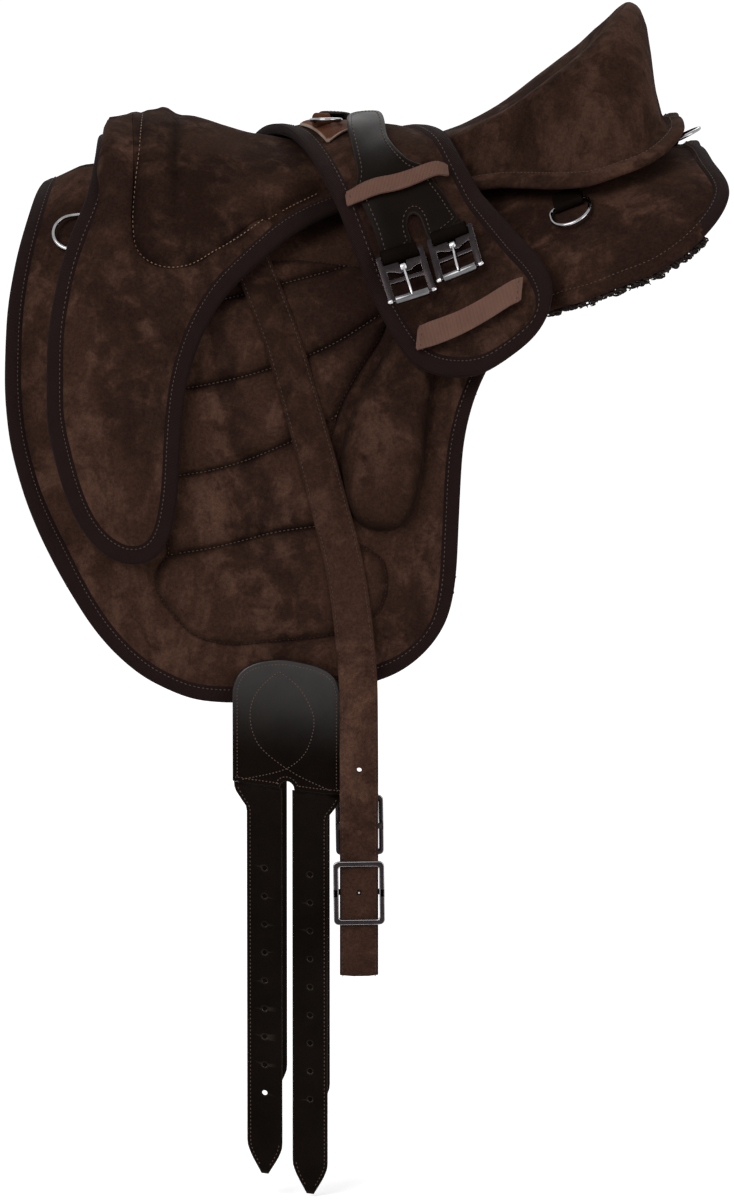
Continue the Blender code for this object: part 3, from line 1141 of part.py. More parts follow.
def settle_all():
    """Dees on the panel, keepers and chapes on the girth, and the girth on the seat."""
    bpy.context.view_layer.update()
    for name, side in sides():
        for which, (x, s) in zip(("front", "rear"), sized([FRONT_DEE_shares, REAR_DEE_shares])):
            way = -frame_at(x, side * s, 0).col[2].xyz
            settle([f"{which}_dee_{name}", f"{which}_dee_loop_{name}"], [f"panel_{name}"], way)
    settle(["crupper_dee", "crupper_loop"], ["panel_near", "panel_off"])
    settle(["girth_centre_strap", "girth_centre_dee"], ["girth_pad", "girth_binding"])
    for name, flip in sides():
        x, s = girth_outline(GIRTH_BUCKLE_shares, flip)[0]
        way = -frame_at(x, s, 0).col[2].xyz
        fittings = [f"girth_{kind}_{which}_{name}" for kind in FITTINGS for which in ("front", "rear")]
        carriers = ["girth_pad", "girth_binding"]
        settle([f"girth_chape_{name}"] + fittings, carriers + ["girth_centre_strap"], way)
        carriers.append(f"girth_chape_{name}")
        for which in ("upper", "lower"):
            settle([f"girth_keeper_{which}_{name}"], carriers, way)
    girth = [obj.name for obj in SADDLE.objects if obj.name.startswith("girth")]
    settle(girth, [obj.name for obj in SADDLE.objects if obj.name not in girth])


def main():
    global SADDLE
    clear_scene()
    SADDLE = bpy.data.collections.new("treeless_saddle")
    bpy.context.scene.collection.children.link(SADDLE)
    for name, side in sides():
        make_panel(name, side)
        make_quilt(name, side)
        make_block(name, side)
        make_lobe(name, side)
        make_billets(name, side)
        make_stirrup_bar(name, side)
        make_stirrup_leather(name, side)
        make_stirrup_buckle(name, side)
    make_bar_webbing()
    make_seat()
    make_dees()
    make_girth()
    make_keepers()
    for name, flip in sides():
        make_girth_end(name, flip)
    make_girth_centre()
    settle_all()


main()
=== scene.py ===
"""The finish of a treeless saddle: suede, bindings, leather, webbing, fleece, stitching and metal.

Every piece is built on the form of a horse's back. A place on it is x along the horse, s down from the
ridge and a lift outward from the form. Metres, +Z up, pommel at -X, near side at -Y.
"""

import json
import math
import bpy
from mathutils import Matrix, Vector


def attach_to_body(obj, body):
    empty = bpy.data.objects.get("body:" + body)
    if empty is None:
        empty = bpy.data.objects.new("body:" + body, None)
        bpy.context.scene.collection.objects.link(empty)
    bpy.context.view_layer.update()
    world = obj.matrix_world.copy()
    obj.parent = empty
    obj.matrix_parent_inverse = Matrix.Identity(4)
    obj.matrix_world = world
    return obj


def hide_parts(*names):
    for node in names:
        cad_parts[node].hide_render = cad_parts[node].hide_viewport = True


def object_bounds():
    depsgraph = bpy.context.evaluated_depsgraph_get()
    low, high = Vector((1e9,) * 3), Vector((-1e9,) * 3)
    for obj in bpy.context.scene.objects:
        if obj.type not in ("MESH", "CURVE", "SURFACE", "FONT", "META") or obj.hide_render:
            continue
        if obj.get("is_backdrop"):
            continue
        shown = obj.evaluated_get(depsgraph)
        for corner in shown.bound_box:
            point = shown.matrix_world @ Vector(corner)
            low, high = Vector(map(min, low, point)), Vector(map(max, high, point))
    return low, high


bl_info = {
    "name": "Treeless saddle finish",
    "version": (1, 0, 0),
    "blender": (4, 5, 0),
    "location": "3D View > Sidebar > Saddle",
    "description": "Dresses the treeless saddle and its girth in suede, leather, webbing, fleece and metal",
    "category": "Object",
}

import bmesh
import bpy
import numpy as np
from bpy.props import FloatProperty, FloatVectorProperty, IntProperty, PointerProperty
from bpy.types import Operator, Panel, PropertyGroup
from mathutils import Matrix, Vector
from mathutils.geometry import delaunay_2d_cdt

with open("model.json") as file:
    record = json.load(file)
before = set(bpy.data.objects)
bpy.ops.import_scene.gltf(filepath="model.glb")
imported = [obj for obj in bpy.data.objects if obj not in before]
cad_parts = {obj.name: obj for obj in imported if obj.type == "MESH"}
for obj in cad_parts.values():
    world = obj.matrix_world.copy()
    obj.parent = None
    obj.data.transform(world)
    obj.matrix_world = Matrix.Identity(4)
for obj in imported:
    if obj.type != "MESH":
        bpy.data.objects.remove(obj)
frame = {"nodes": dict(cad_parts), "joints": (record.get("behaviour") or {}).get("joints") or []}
CAD_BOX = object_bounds()
JOINTS = {joint["name"]: joint for joint in frame["joints"]}

MM = 0.001
QUARTER, HALF_TURN, FULL_TURN = math.pi / 2, math.pi, 2 * math.pi

# The form: a horse's back, as a ridge line with a cross-section that turns down from it
HALF_LENGTH, DRAPE, RIDGE_RISE = 0.300, 0.500, 0.050
FRONT_BEND, REAR_BEND = 0.090, 0.172
FRONT_POWER, REAR_POWER = 1.3, 2.4
FRONT_FALL, REAR_FALL = math.radians(80), math.radians(74)
WIDENS_FROM, WIDENS_OVER = 0.030, 0.200
UPRIGHT_FROM, UPRIGHT_OVER = 0.330, 0.070
FORM_REACH, FORM_STEPS = 0.960, 320
RIDGE_shares = (
    (-0.9667, 0.04), (-0.8167, 0.18), (-0.7033, 0.4), (-0.6, 0.44), (-0.5, 0.41), (-0.3667, 0.29),
    (-0.2333, 0.16), (0, 0), (0.2667, 0.08), (0.5, 0.28), (0.6667, 0.48), (0.8, 0.66), (0.9333, 0.82),
    (1.05, 0.92),
)

# Layers, as heights above the form
CLEAR = 0.0003
FLEECE_LOW, FLEECE_HIGH = 0.0, 0.0070
PANEL_LOW, PANEL_EDGE, PANEL_HIGH = 0.0085, 0.0135, 0.0180
QUILT_LOW, QUILT_SEAM, QUILT_HIGH = 0.0186, 0.0196, 0.0262
BLOCK_LOW, BLOCK_EDGE, BLOCK_HIGH = 0.0188, 0.0200, 0.0400
SEAT_LOW, SEAT_FLANGE = 0.0345, 0.0388
LOBE_CROWN, POMMEL_CROWN, POMMEL_FADE = 0.009, 0.017, 0.110
PANEL_RISE, LOBE_RISE, BLOCK_RISE, QUILT_RISE = 0.024, 0.024, 0.026, 0.017
SEAM_LEVEL, POMMEL_FACE = 0.0460, 0.013
BLEND_AT, BLEND_OVER = 0.055, 0.060
EDGE_FROM, LOBE_FROM = 0.0, -0.131
GULLET_HALF, GULLET_ROUND, BEARING_END, BEARING_DEEP = 0.026, 0.018, 0.140, 0.014
FLANGE_WIDE, FLANGE_RISE, FLANGE_IN = 0.0150, 0.0120, 0.0125
PILE_ROUND, PILE_THIN = 0.012, 0.003
CURL_SKIRT, CURL_SKIRT_DOWN, CURL_CORNER, CURL_NEAR = (0.152, 0.266), 0.10, 0.262, 0.004
CURL_OUT, CURL_SKIRT_OUT, CURL_LIFT = (-0.0115, 0.006), (-0.0148, -0.0075), (0.0020, 0.0078)
CURL_SIZE, CURL_LEAN, CURL_DROP, CURL_TURNS, CURL_THICK = (0.0014, 0.0026), 0.6, 0.0034, 1.25, 0.00095
LUMP_SEAM, LUMP_DEEP, LUMP_WIDE, LUMP_DOWN = -0.137, 0.005, 0.007, 0.090
FOOT_REAR, FOOT_FRONT, FOOT_FADE, FOOT_RISE, FOOT_LOW = 0.075, -0.125, 0.025, 0.018, 0.0192
LOBE_FOOT_X, LOBE_FOOT_S = -0.160, 0.135
SEAT_WALL = 1.5

# How finely the flat pieces are filled, and the rows of corners that follow their edges
BROAD_FILL, PAD_FILL, BLOCK_FILL, STRAP_FILL, TAPE_FILL, PLATE_FILL = 0.0052, 0.0046, 0.0042, 0.006, 0.004, 0.02
PANEL_INSETS, QUILT_INSETS, STRAP_INSETS = (0.004, 0.009, 0.014), (0.0015, 0.0035, 0.007), (0.0006, 0.0015)
# The crease widths on this line set how wide the painted shade runs along the quilting's seams and edges and
# round the thigh blocks.
SWELL_FROM, SWELL_OVER, QUILT_CREASE_SHADE, BLOCK_CREASE_SHADE = 0.02, 0.03, (0.0032, 0.0045), 0.0050
QUILT_STITCH_IN, GIRTH_SOFT = 0.0010, 0.014

# Outlines on the form, as shares of HALF_LENGTH along and of DRAPE down
PANEL_shares = (
    (-0.8133, 0), (-0.84, 0.108), (-0.8733, 0.204), (-0.8933, 0.296), (-0.8967, 0.388),
    (-0.8867, 0.466), (-0.8533, 0.554), (-0.7967, 0.648), (-0.71, 0.758), (-0.6067, 0.844),
    (-0.5033, 0.888), (-0.4, 0.904), (-0.31, 0.9), (-0.2333, 0.888), (-0.0233, 0.858), (0.1167, 0.834),
    (0.2067, 0.804), (0.2567, 0.766), (0.2767, 0.704), (0.2833, 0.624), (0.2933, 0.522), (0.3167, 0.46),
    (0.3567, 0.416), (0.4133, 0.388), (0.5033, 0.388), (0.6167, 0.412), (0.7467, 0.416), (0.85, 0.394),
    (0.9267, 0.358), (0.9733, 0.316), (0.9867, 0.284), (0.97, 0.242), (0.9467, 0.192), (0.9333, 0.1),
    (0.92, 0),
)
JOCKEY_FRONT_shares = (
    (-0.6667, 0), (-0.6667, 0.058), (-0.6833, 0.152), (-0.7267, 0.212), (-0.7633, 0.282),
    (-0.7833, 0.366), (-0.7833, 0.456), (-0.7567, 0.548), (-0.71, 0.634), (-0.6467, 0.688),
    (-0.5667, 0.71), (-0.5033, 0.7), (-0.4633, 0.664), (-0.4433, 0.594), (-0.4367, 0.516),
    (-0.4267, 0.446), (-0.3933, 0.368), (-0.33, 0.294), (-0.2267, 0.226), (-0.13, 0.174),
    (-0.0367, 0.14), (0.04, 0.124),
)
JOCKEY_REAR_shares = (
    (0.04, 0.124), (0.15, 0.124), (0.2667, 0.132), (0.3667, 0.15), (0.46, 0.188), (0.5467, 0.226),
    (0.65, 0.254), (0.75, 0.252), (0.83, 0.22), (0.8767, 0.15), (0.8767, 0.076), (0.87, 0),
)
INSERT_shares = (
    (-0.5767, 0), (-0.5633, 0.136), (-0.5667, 0.208), (-0.5533, 0.244), (-0.5267, 0.26),
    (-0.4767, 0.268), (-0.4267, 0.262), (-0.35, 0.23), (-0.28, 0.194), (-0.2333, 0.172),
    (-0.2033, 0.168), (-0.1833, 0.18), (-0.1733, 0.198),
)
QUILT_shares = (
    (-0.5, 0.5), (-0.4933, 0.64), (-0.4667, 0.684), (-0.5, 0.712), (-0.5033, 0.738), (-0.46, 0.774),
    (-0.4033, 0.802), (-0.33, 0.808), (-0.2033, 0.792), (-0.0567, 0.772), (0.04, 0.754),
    (0.0833, 0.732), (0.1, 0.696), (0.0933, 0.664), (0.0267, 0.632), (-0.0233, 0.612), (-0.0467, 0.564),
    (-0.0533, 0.504), (-0.0267, 0.428), (0.0333, 0.36), (0.0933, 0.3), (0.1067, 0.244), (0.06, 0.208),
    (-0.1, 0.2), (-0.2333, 0.216), (-0.3667, 0.26), (-0.46, 0.36),
)
SEAM_shares = (
    ((-0.5333, 0.448), (-0.32, 0.405), (-0.1, 0.345), (0.1, 0.274)),
    ((-0.5333, 0.58), (-0.35, 0.545), (-0.17, 0.49), (0.0267, 0.41)),
    ((-0.5333, 0.7), (-0.36, 0.668), (-0.18, 0.625), (0.0267, 0.592)),
    ((-0.5, 0.32), (-0.3, 0.275), (-0.1, 0.225), (0.1, 0.18)),
)
BLOCK_shares = (
    (0.1267, 0.3), (0.0667, 0.364), (0.0067, 0.43), (-0.0233, 0.5), (-0.0167, 0.552), (0.01, 0.594),
    (0.0533, 0.612), (0.11, 0.616), (0.1533, 0.602), (0.18, 0.562), (0.1967, 0.502), (0.21, 0.438),
    (0.22, 0.37), (0.2133, 0.316), (0.18, 0.288),
)
HEAD_shares = (
    (-0.3033, 1.018), (-0.3033, 0.88), (-0.2933, 0.856), (-0.2667, 0.836), (-0.2167, 0.822),
    (-0.16, 0.816), (-0.1, 0.818), (-0.0567, 0.826), (-0.03, 0.842), (-0.0217, 0.864), (-0.0217, 1.018),
)
LOOP_STITCH_shares = (
    (-0.183, 0.8348), (-0.2317, 0.8654), (-0.2533, 0.89), (-0.2583, 0.9114), (-0.2433, 0.948),
    (-0.1633, 0.9858), (-0.048, 1.012),
)
CROSS_STITCH_shares = (
    (-0.183, 0.8348), (-0.134, 0.8536), (-0.1087, 0.875), (-0.091, 0.9044), (-0.1087, 0.9504),
    (-0.1633, 0.9858), (-0.28, 1.013),
)
STRAP_shares = (
    (-0.32, 0.0608), (-0.32, 0.09), (-0.3167, 0.124), (-0.2867, 0.18), (-0.23, 0.256), (-0.1733, 0.336),
    (-0.1133, 0.45), (-0.0567, 0.568), (-0.0067, 0.69), (0.0133, 0.774), (0.0233, 0.86),
    (0.0247, 0.978),
)

# Seat: centre and rim heights over the form, rim place and flange place, against share of HALF_LENGTH
SEAT_X_shares = (
    -0.6, -0.5533, -0.5, -0.4567, -0.4167, -0.3333, -0.24, -0.1, 0, 0.1333, 0.2267, 0.3, 0.3733, 0.4333,
    0.5, 0.56, 0.61, 0.6567, 0.69, 0.7133, 0.7367, 0.76, 0.78, 0.8, 0.82, 0.84, 0.8767,
)
SEAT_CENTRE_shares = (
    0.3571, 0.3714, 0.4286, 0.4143, 0.4, 0.3929, 0.3786, 0.3786, 0.3929, 0.4071, 0.4179, 0.4429, 0.4643,
    0.4786, 0.5, 0.55, 0.6429, 0.7429, 0.8286, 0.9143, 0.9786, 0.95, 0.8571, 0.7143, 0.5143, 0.3429,
    0.2714,
)
SEAT_RIM_shares = (
    0.3286, 0.3429, 0.3857, 0.3786, 0.3643, 0.3571, 0.35, 0.35, 0.3643, 0.3857, 0.4286, 0.4857, 0.5571,
    0.6214, 0.7, 0.7571, 0.8071, 0.8714, 0.9143, 0.9571, 0.9786, 0.95, 0.8571, 0.7143, 0.5143, 0.3429,
    0.2714,
)
SEAT_RIM_AT_shares = (
    0.2143, 0.2429, 0.2857, 0.2857, 0.2714, 0.2286, 0.1857, 0.1571, 0.1571, 0.2, 0.2714, 0.3571, 0.4286,
    0.4643, 0.4857, 0.4714, 0.4429, 0.3857, 0.3143, 0.2429, 0.1571, 0.0857, 0.0429, 0.0286, 0.0214,
    0.0214, 0.0214,
)
SEAT_SCALE = 0.140

# Seat cover: its sewn seam on the form, its creases and the painted shade in them, and how much higher the
# pommel's lumps stand
SEAM_LINE = (
    (-0.164, 0), (-0.165, 0.048), (-0.1675, 0.074), (-0.169, 0.1), (-0.1665, 0.119), (-0.158, 0.128),
    (-0.143, 0.132), (-0.128, 0.129), (-0.104, 0.114), (-0.082, 0.098), (-0.062, 0.082), (-0.043, 0.068),
    (-0.025, 0.056),
)
COVER_OUT, TAPE_OVER, TAPE_STITCH_AT, TAPE_STITCH_UP, FLEECE_IN = 0.0015, 0.0012, 0.80, 0.0011, 0.0135
COVER_INSETS, SOFT_FROM, SOFT_OVER = (0.003, 0.007, 0.012), 0.012, 0.03
SEAM_DEEP, SEAM_WIDE, SEAM_CREASE_SHADE = 0.0022, 0.0040, 0.0036
LUMP_REACH, LUMP_CREASE_SHADE, LUMP_FADE = 0.105, 0.0040, (0.060, 0.040)
GUSSET_WIDE, GUSSET_FROM, GUSSET_TO = 0.003, (0.07, 0.02), (0.20, 0.015)
LOBE_SEAM_DEEP, LOBE_SEAM_WIDE, LOBE_MEETS_OVER, LOBE_SOFT = 0.0016, 0.0045, 0.010, (0.016, 0.02)
BULGE_FORWARD, BULGE_DOWN, BULGE_FADE, BULGE_UP = 0.0085, 0.060, 0.050, 0.0020
BULGE_FRONT, BULGE_FROM, BULGE_OVER, BULGE_STEEP = (-0.188, 0.016), 0.0015, 0.006, 0.55
POMMEL_RISES = (
    (-0.21, 0), (-0.198, 0.0002), (-0.192, 0.0008), (-0.186, 0.0026), (-0.176, 0.0058), (-0.166, 0.0068),
    (-0.16, 0.0058), (-0.154, 0.0016), (-0.146, 0.0042), (-0.137, 0.0058), (-0.13, 0.0038), (-0.117, 0.0034),
    (-0.098, 0.0012), (-0.078, 0), (-0.06, 0),
)
POMMEL_NEAR, POMMEL_WAY = 0.020, 0.075
SKIRT_EDGE, SKIRT_BELOW, CANTLE_EDGE_FROM = (0.150, 0.272), 0.06, 0.070

# Straps, their bar and their fittings
HEAD_LOW, HEAD_THICK, HEAD_END = 0.0180, 0.0060, 0.509
BILLET_WIDTH, BILLET_THICK, BILLET_TIP = 0.0275, 0.0045, 0.0220
HEAD_INSETS, HEAD_STITCHES, BILLET_STITCHES = (0.0006, 0.0016, 0.0045), (0.0027, 0.0017), (0.0031, 0.0019)
SLOT_X, SLOT_HALF, SLOT_DEEP, HEAD_STITCH_IN = -0.0486, 0.0056, 0.0060, 0.0036
# The billet heads' coat is a painted sheen, strongest at their top where light from above falls. The billets
# have an even polish.
PAINTED_SHEEN, PAINTED_SHEEN_FROM, PAINTED_SHEEN_FADE, BILLET_POLISH = 0.85, 0.402, 0.085, 0.015
BILLET_X, BILLET_LONG, BILLET_STITCH_IN = (-0.0663, -0.0309), (0.3050, 0.3160), 0.0026
BILLET_SHOULDER = ((0.0100, 0), (0.0095, 0.0045), (0.0050, 0.0120), (0, 0.0200))
BILLET_HOLES, BILLET_PITCH, BILLET_FIRST, BILLET_BORE = 9, 0.0222, 0.0625, 0.0042
STRAP_THICK, STRAP_WIDTH, STRAP_LIFT = 0.0025, 0.0300, 0.0259
STRAP_END, STRAP_BACK, STRAP_FOLD = 0.6520, 0.1000, 0.0060
STRAP_HOLES, STRAP_PITCH, STRAP_FIRST, STRAP_BORE = 3, 0.0245, 0.4890, 0.0042
STRAP_X, STRAP_SETTLES, STRAP_STITCH_IN = 0.0074, 0.0700, 0.0024
STRAP_SHADOW, STRAP_SHADOW_FROM, STRAP_SHADOW_OVER = 0.62, 0.160, 0.240
BAR_X, BAR_S, BAR_LIFT, BAR_RADIUS, BAR_LONG, BAR_GAP = -0.0960, 0.0450, 0.0272, 0.0024, 0.0388, 0.0011
BUCKLE_AT, BUCKLE_WIDE, BUCKLE_HIGH, BUCKLE_WALL, BUCKLE_THICK = 0.5850, 0.0400, 0.0500, 0.0042, 0.0032
WEB_LOW, WEB_HIGH, WEB_SHORT, RUBBED = 0.0186, 0.0198, 0.0146, (0.55, 0.90)
DEE_WIRE, DEE_SEEN, DEE_WIDE, DEE_DEEP, CRUPPER_DEEP = 0.0020, 0.0015, 0.0320, 0.0270, 0.0230
LOOP_THICK, LOOP_WIDE, LOOP_LONG, LOOP_LIFT = 0.0015, 0.0230, 0.0150, 0.0024
FRONT_DEE_X, FRONT_DEE_S = -0.2050, 0.0960
REAR_DEE_X, REAR_DEE_S, REAR_DEE_TURN = 0.1700, 0.1180, math.radians(-8)
CRUPPER_X, CRUPPER_LEAN = 0.2570, math.radians(-14)

# Girth
GIRTH_TURN, GIRTH_HALF, GIRTH_LOW, GIRTH_EDGE, GIRTH_CROWN = math.radians(29), 0.0490, 0.0015, 0.0070, 0.0130
GIRTH_RISE, GIRTH_SCALE, GIRTH_DOWN = 0.020, 0.260, 0.0018
GIRTH_END_shares = (
    (0.1885, 0), (0.1885, 0.3462), (0.1885, 0.6923), (0.1885, 0.8654), (0.1692, 0.9423),
    (0.1269, 0.9846), (0.0692, 0.9885), (0.0038, 0.9538), (-0.0538, 0.9154), (-0.1038, 0.8538),
    (-0.1462, 0.7885), (-0.1731, 0.7308), (-0.1885, 0.6462), (-0.1885, 0.3462), (-0.1885, 0),
)
CHAPE_shares = (
    (-0.005, 0.05), (-0.03, 0.056), (-0.053, 0.076), (-0.068, 0.106), (-0.08, 0.15), (-0.095, 0.205),
    (-0.106, 0.24), (-0.126, 0.262), (-0.1254, 0.2923), (-0.1192, 0.3692), (-0.1192, 0.4385),
    (-0.033, 0.444), (-0.034, 0.424), (-0.03, 0.406), (-0.021, 0.395), (-0.011, 0.392), (-0.001, 0.396),
    (0.007, 0.407), (0.01, 0.424), (0.008, 0.48), (0.0962, 0.496), (0.0923, 0.4269), (0.0808, 0.3769),
    (0.0692, 0.3269), (0.0385, 0.2923), (0.022, 0.2385), (0.022, 0.19), (0.042, 0.14), (0.05, 0.106),
    (0.043, 0.076), (0.022, 0.056),
)
KEEPER_shares = (((-0.01, 0.166), (0.2567, 0.138)), ((0.1733, 0.338), (0.4433, 0.356)))
GIRTH_BUCKLE_shares = ((0.1283, 0.226), (0.2583, 0.222))
CHAPE_THICK, CHAPE_LIFT, GIRTH_SPREAD, CHAPE_STITCH_IN = 0.003, 0.003, 0.003, 0.0034
CREST_FROM, CREST_FADE, CHAPE_STITCHES = 0.015, 0.055, (0.0029, 0.0018)
KEEPER_WIDE = {"upper": 0.008, "lower": 0.0160}
KEEPER_THICK, KEEPER_HIGH, KEEPER_LOW = 0.0016, 0.0098, 0.0062
FRAME_WIDE, FRAME_LONG, FRAME_THICK, FRAME_SIDE, FRAME_BAR = 0.038, 0.041, 0.0024, 0.0038, 0.0024
FRAME_TURNS_deg = {"front_near": 8, "rear_near": -8, "front_off": 8, "rear_off": 8}
FRAME_LIFT = 0.0098
ROLL_RADIUS, ROLL_BORE, ROLL_LONG = 0.006, 0.0021, 0.029
ROLLER_RADIUS, ROLLER_BORE = 0.0034, 0.0022
TONGUE_WIRE, TONGUE_SLEEVE, TONGUE_SLEEVE_WIDE = 0.0012, 0.0033, 0.005
CENTRE_STRAP_WIDTH, CENTRE_STRAP_THICK, CENTRE_STRAP_HALF, CENTRE_STRAP_AT = 0.037, 0.0024, 0.024, -0.0145
CENTRE_DEE_AT, CENTRE_DEE_DOWN, CENTRE_DEE_LIFT, CENTRE_ROLL_LONG = -0.0268, 0.002, 0.0086, 0.012
CENTRE_DEE_LEAN = math.radians(-13)
CENTRE_DEE_WIDE, CENTRE_DEE_DEEP = 0.022, 0.02
WINDOW_IN, ROLL_WINDOW, SLEEVE_SLOT = 0.0014, 0.0062, 0.0032
WINDOW_shares = (-0.029, -0.268, -0.327, -0.52, -0.59, -0.912)

# Stage: lamps as name, place, share of the key light's power and size; the floor's glow by distance
LAMPS = (
    ("key_light", (-2.2, -3.0, 2.2), 1.0, 2.6), ("fill_light", (2.6, -2.4, 0.6), 0.35, 2.0),
    ("back_light", (0.4, 2.6, 2.4), 0.35, 2.0),
)
LAMP_AIM, CAMERA_AIM = (0, 0, -0.2), (0.0136, 0.0, -0.311)
FLOOR_RADIUS, FLOOR_GAP, FLOOR_GLOW = 60, 0.0015, (0.5, 9.0, 0.50, 0.72)

SIDES = (("near", 1), ("off", -1))


class SuedeFinish(PropertyGroup):
    colour: FloatVectorProperty(
        name="Suede", description="Colour of the suede with its nap lying flat", subtype="COLOR", size=3,
        default=(0.032, 0.0155, 0.0105), min=0, max=1,
    )
    brushed: FloatVectorProperty(
        name="Brushed nap", description="Colour where the nap is stroked up and catches the light",
        subtype="COLOR", size=3, default=(0.060, 0.030, 0.020), min=0, max=1,
    )
    shaded: FloatVectorProperty(
        name="Shaded nap", description="Colour where the nap leans away from the light", subtype="COLOR",
        size=3, default=(0.014, 0.0068, 0.0052), min=0, max=1,
    )
    patch: FloatProperty(
        name="Patch size", description="Size of the strokes left in the nap by a hand", default=0.060,
        min=0.010, max=0.200, unit="LENGTH",
    )
    wrinkle: FloatProperty(
        name="Unevenness", description="How far the padding rises and falls under the suede",
        default=0.0009, min=0, max=0.004, unit="LENGTH",
    )


class BindingFinish(PropertyGroup):
    colour: FloatVectorProperty(
        name="Binding", description="Colour of the ribbed binding tape", subtype="COLOR", size=3,
        default=(0.0125, 0.0066, 0.0060), min=0, max=1,
    )
    width: FloatProperty(
        name="Binding width", description="Width of the tape that shows on each face", default=0.0128,
        min=0.006, max=0.020, unit="LENGTH",
    )
    rib: FloatProperty(
        name="Rib pitch", description="Distance from rib to rib of the tape and of the webbing",
        default=0.0011, min=0.0005, max=0.003, unit="LENGTH",
    )
    webbing: FloatVectorProperty(
        name="Webbing", description="Colour of the keepers' webbing", subtype="COLOR", size=3,
        default=(0.125, 0.056, 0.041), min=0, max=1,
    )


class LeatherFinish(PropertyGroup):
    colour: FloatVectorProperty(
        name="Leather", description="Colour of the bridle leather", subtype="COLOR", size=3,
        default=(0.0048, 0.0031, 0.0022), min=0, max=1,
    )
    russet: FloatVectorProperty(
        name="Russet leather", description="Colour of the girth's centre strap", subtype="COLOR", size=3,
        default=(0.085, 0.031, 0.017), min=0, max=1,
    )
    raw: FloatVectorProperty(
        name="Raw edge", description="Colour of a cut edge of the centre strap", subtype="COLOR", size=3,
        default=(0.42, 0.33, 0.26), min=0, max=1,
    )
    grain: FloatProperty(
        name="Grain size", description="Size of the pebbles of the leather's grain", default=0.0011,
        min=0.0003, max=0.004, unit="LENGTH",
    )


class StitchFinish(PropertyGroup):
    pale: FloatVectorProperty(
        name="Pale thread", description="Colour of the thread on the suede", subtype="COLOR", size=3,
        default=(0.150, 0.095, 0.058), min=0, max=1,
    )
    dark: FloatVectorProperty(
        name="Dark thread", description="Colour of the thread on leather and in the quilting",
        subtype="COLOR", size=3, default=(0.052, 0.034, 0.025), min=0, max=1,
    )
    pitch: FloatProperty(
        name="Stitch pitch", description="Distance from stitch to stitch", default=0.0034, min=0.002,
        max=0.008, unit="LENGTH",
    )
    long: FloatProperty(
        name="Stitch length", description="Length of the thread that shows in one stitch", default=0.0021,
        min=0.001, max=0.006, unit="LENGTH",
    )
    thick: FloatProperty(
        name="Thread thickness", description="Thickness of the thread", default=0.0008, min=0.0003,
        max=0.002, unit="LENGTH",
    )


class FleeceFinish(PropertyGroup):
    colour: FloatVectorProperty(
        name="Fleece", description="Colour of the curly lining", subtype="COLOR", size=3,
        default=(0.0125, 0.0080, 0.0068), min=0, max=1,
    )
    tip: FloatVectorProperty(
        name="Fleece tips", description="Colour of the tips of the curls", subtype="COLOR", size=3,
        default=(0.034, 0.022, 0.018), min=0, max=1,
    )
    curls: IntProperty(
        name="Curls", description="Number of single curls along the edge of each lining", default=900,
        min=50, max=4000,
    )


class MetalFinish(PropertyGroup):
    nickel: FloatVectorProperty(
        name="Dark nickel", description="Colour of the buckles", subtype="COLOR", size=3,
        default=(0.026, 0.021, 0.022), min=0, max=1,
    )
    ring: FloatVectorProperty(
        name="Ring nickel", description="Colour of the dees and the rollers", subtype="COLOR", size=3,
        default=(0.30, 0.295, 0.30), min=0, max=1,
    )
    bright: FloatVectorProperty(
        name="Bright nickel", description="Colour of the tongues and of rubbed edges", subtype="COLOR", size=3,
        default=(0.52, 0.51, 0.52), min=0, max=1,
    )


class StageSettings(PropertyGroup):
    lens: FloatProperty(
        name="Lens", description="Focal length of the camera", default=225.0, min=20, max=600,
        unit="CAMERA",
    )
    distance: FloatProperty(
        name="Camera distance", description="Distance from the camera to the saddle", default=6.0, min=1,
        max=20, unit="LENGTH",
    )
    elevation: FloatProperty(
        name="Camera height angle", description="Angle of the view above level", default=math.radians(6.5),
        min=-1.5, max=1.5, unit="ROTATION",
    )
    daylight: FloatProperty(
        name="Soft light", description="Strength of the even light from all round", default=0.45, min=0,
        max=5,
    )
    key: FloatProperty(
        name="Key light", description="Power of the large soft lamp in front", default=110.0, min=0,
        max=5000, unit="POWER",
    )


def looks():
    return bpy.context.scene.treeless_saddle


def ease(t):
    t = np.clip(t, 0, 1)
    return t * t * (3 - 2 * t)


def curve_through(xs, ys):
    """A smooth curve through the points that never overshoots them."""
    xs, ys = np.array(xs, float), np.array(ys, float)
    steps = np.diff(ys) / np.diff(xs)
    slopes = np.zeros(len(xs))
    slopes[0], slopes[-1] = steps[0], steps[-1]
    same = steps[:-1] * steps[1:] > 0
    slopes[1:-1][same] = 2 * steps[:-1][same] * steps[1:][same] / (steps[:-1] + steps[1:])[same]

    def value(x):
        i = np.clip(np.searchsorted(xs, x) - 1, 0, len(xs) - 2)
        wide = xs[i + 1] - xs[i]
        t = np.clip((x - xs[i]) / wide, 0, 1)
        rise = t * t * (3 - 2 * t)
        start, end = t * (1 - t) ** 2 * wide, -t * t * (1 - t) * wide
        return ys[i] * (1 - rise) + ys[i + 1] * rise + slopes[i] * start + slopes[i + 1] * end

    return value


ridge = curve_through(*zip(*[(a * HALF_LENGTH, b * RIDGE_RISE) for a, b in RIDGE_shares]))
FORM_S = np.linspace(0, FORM_REACH, FORM_STEPS + 1)


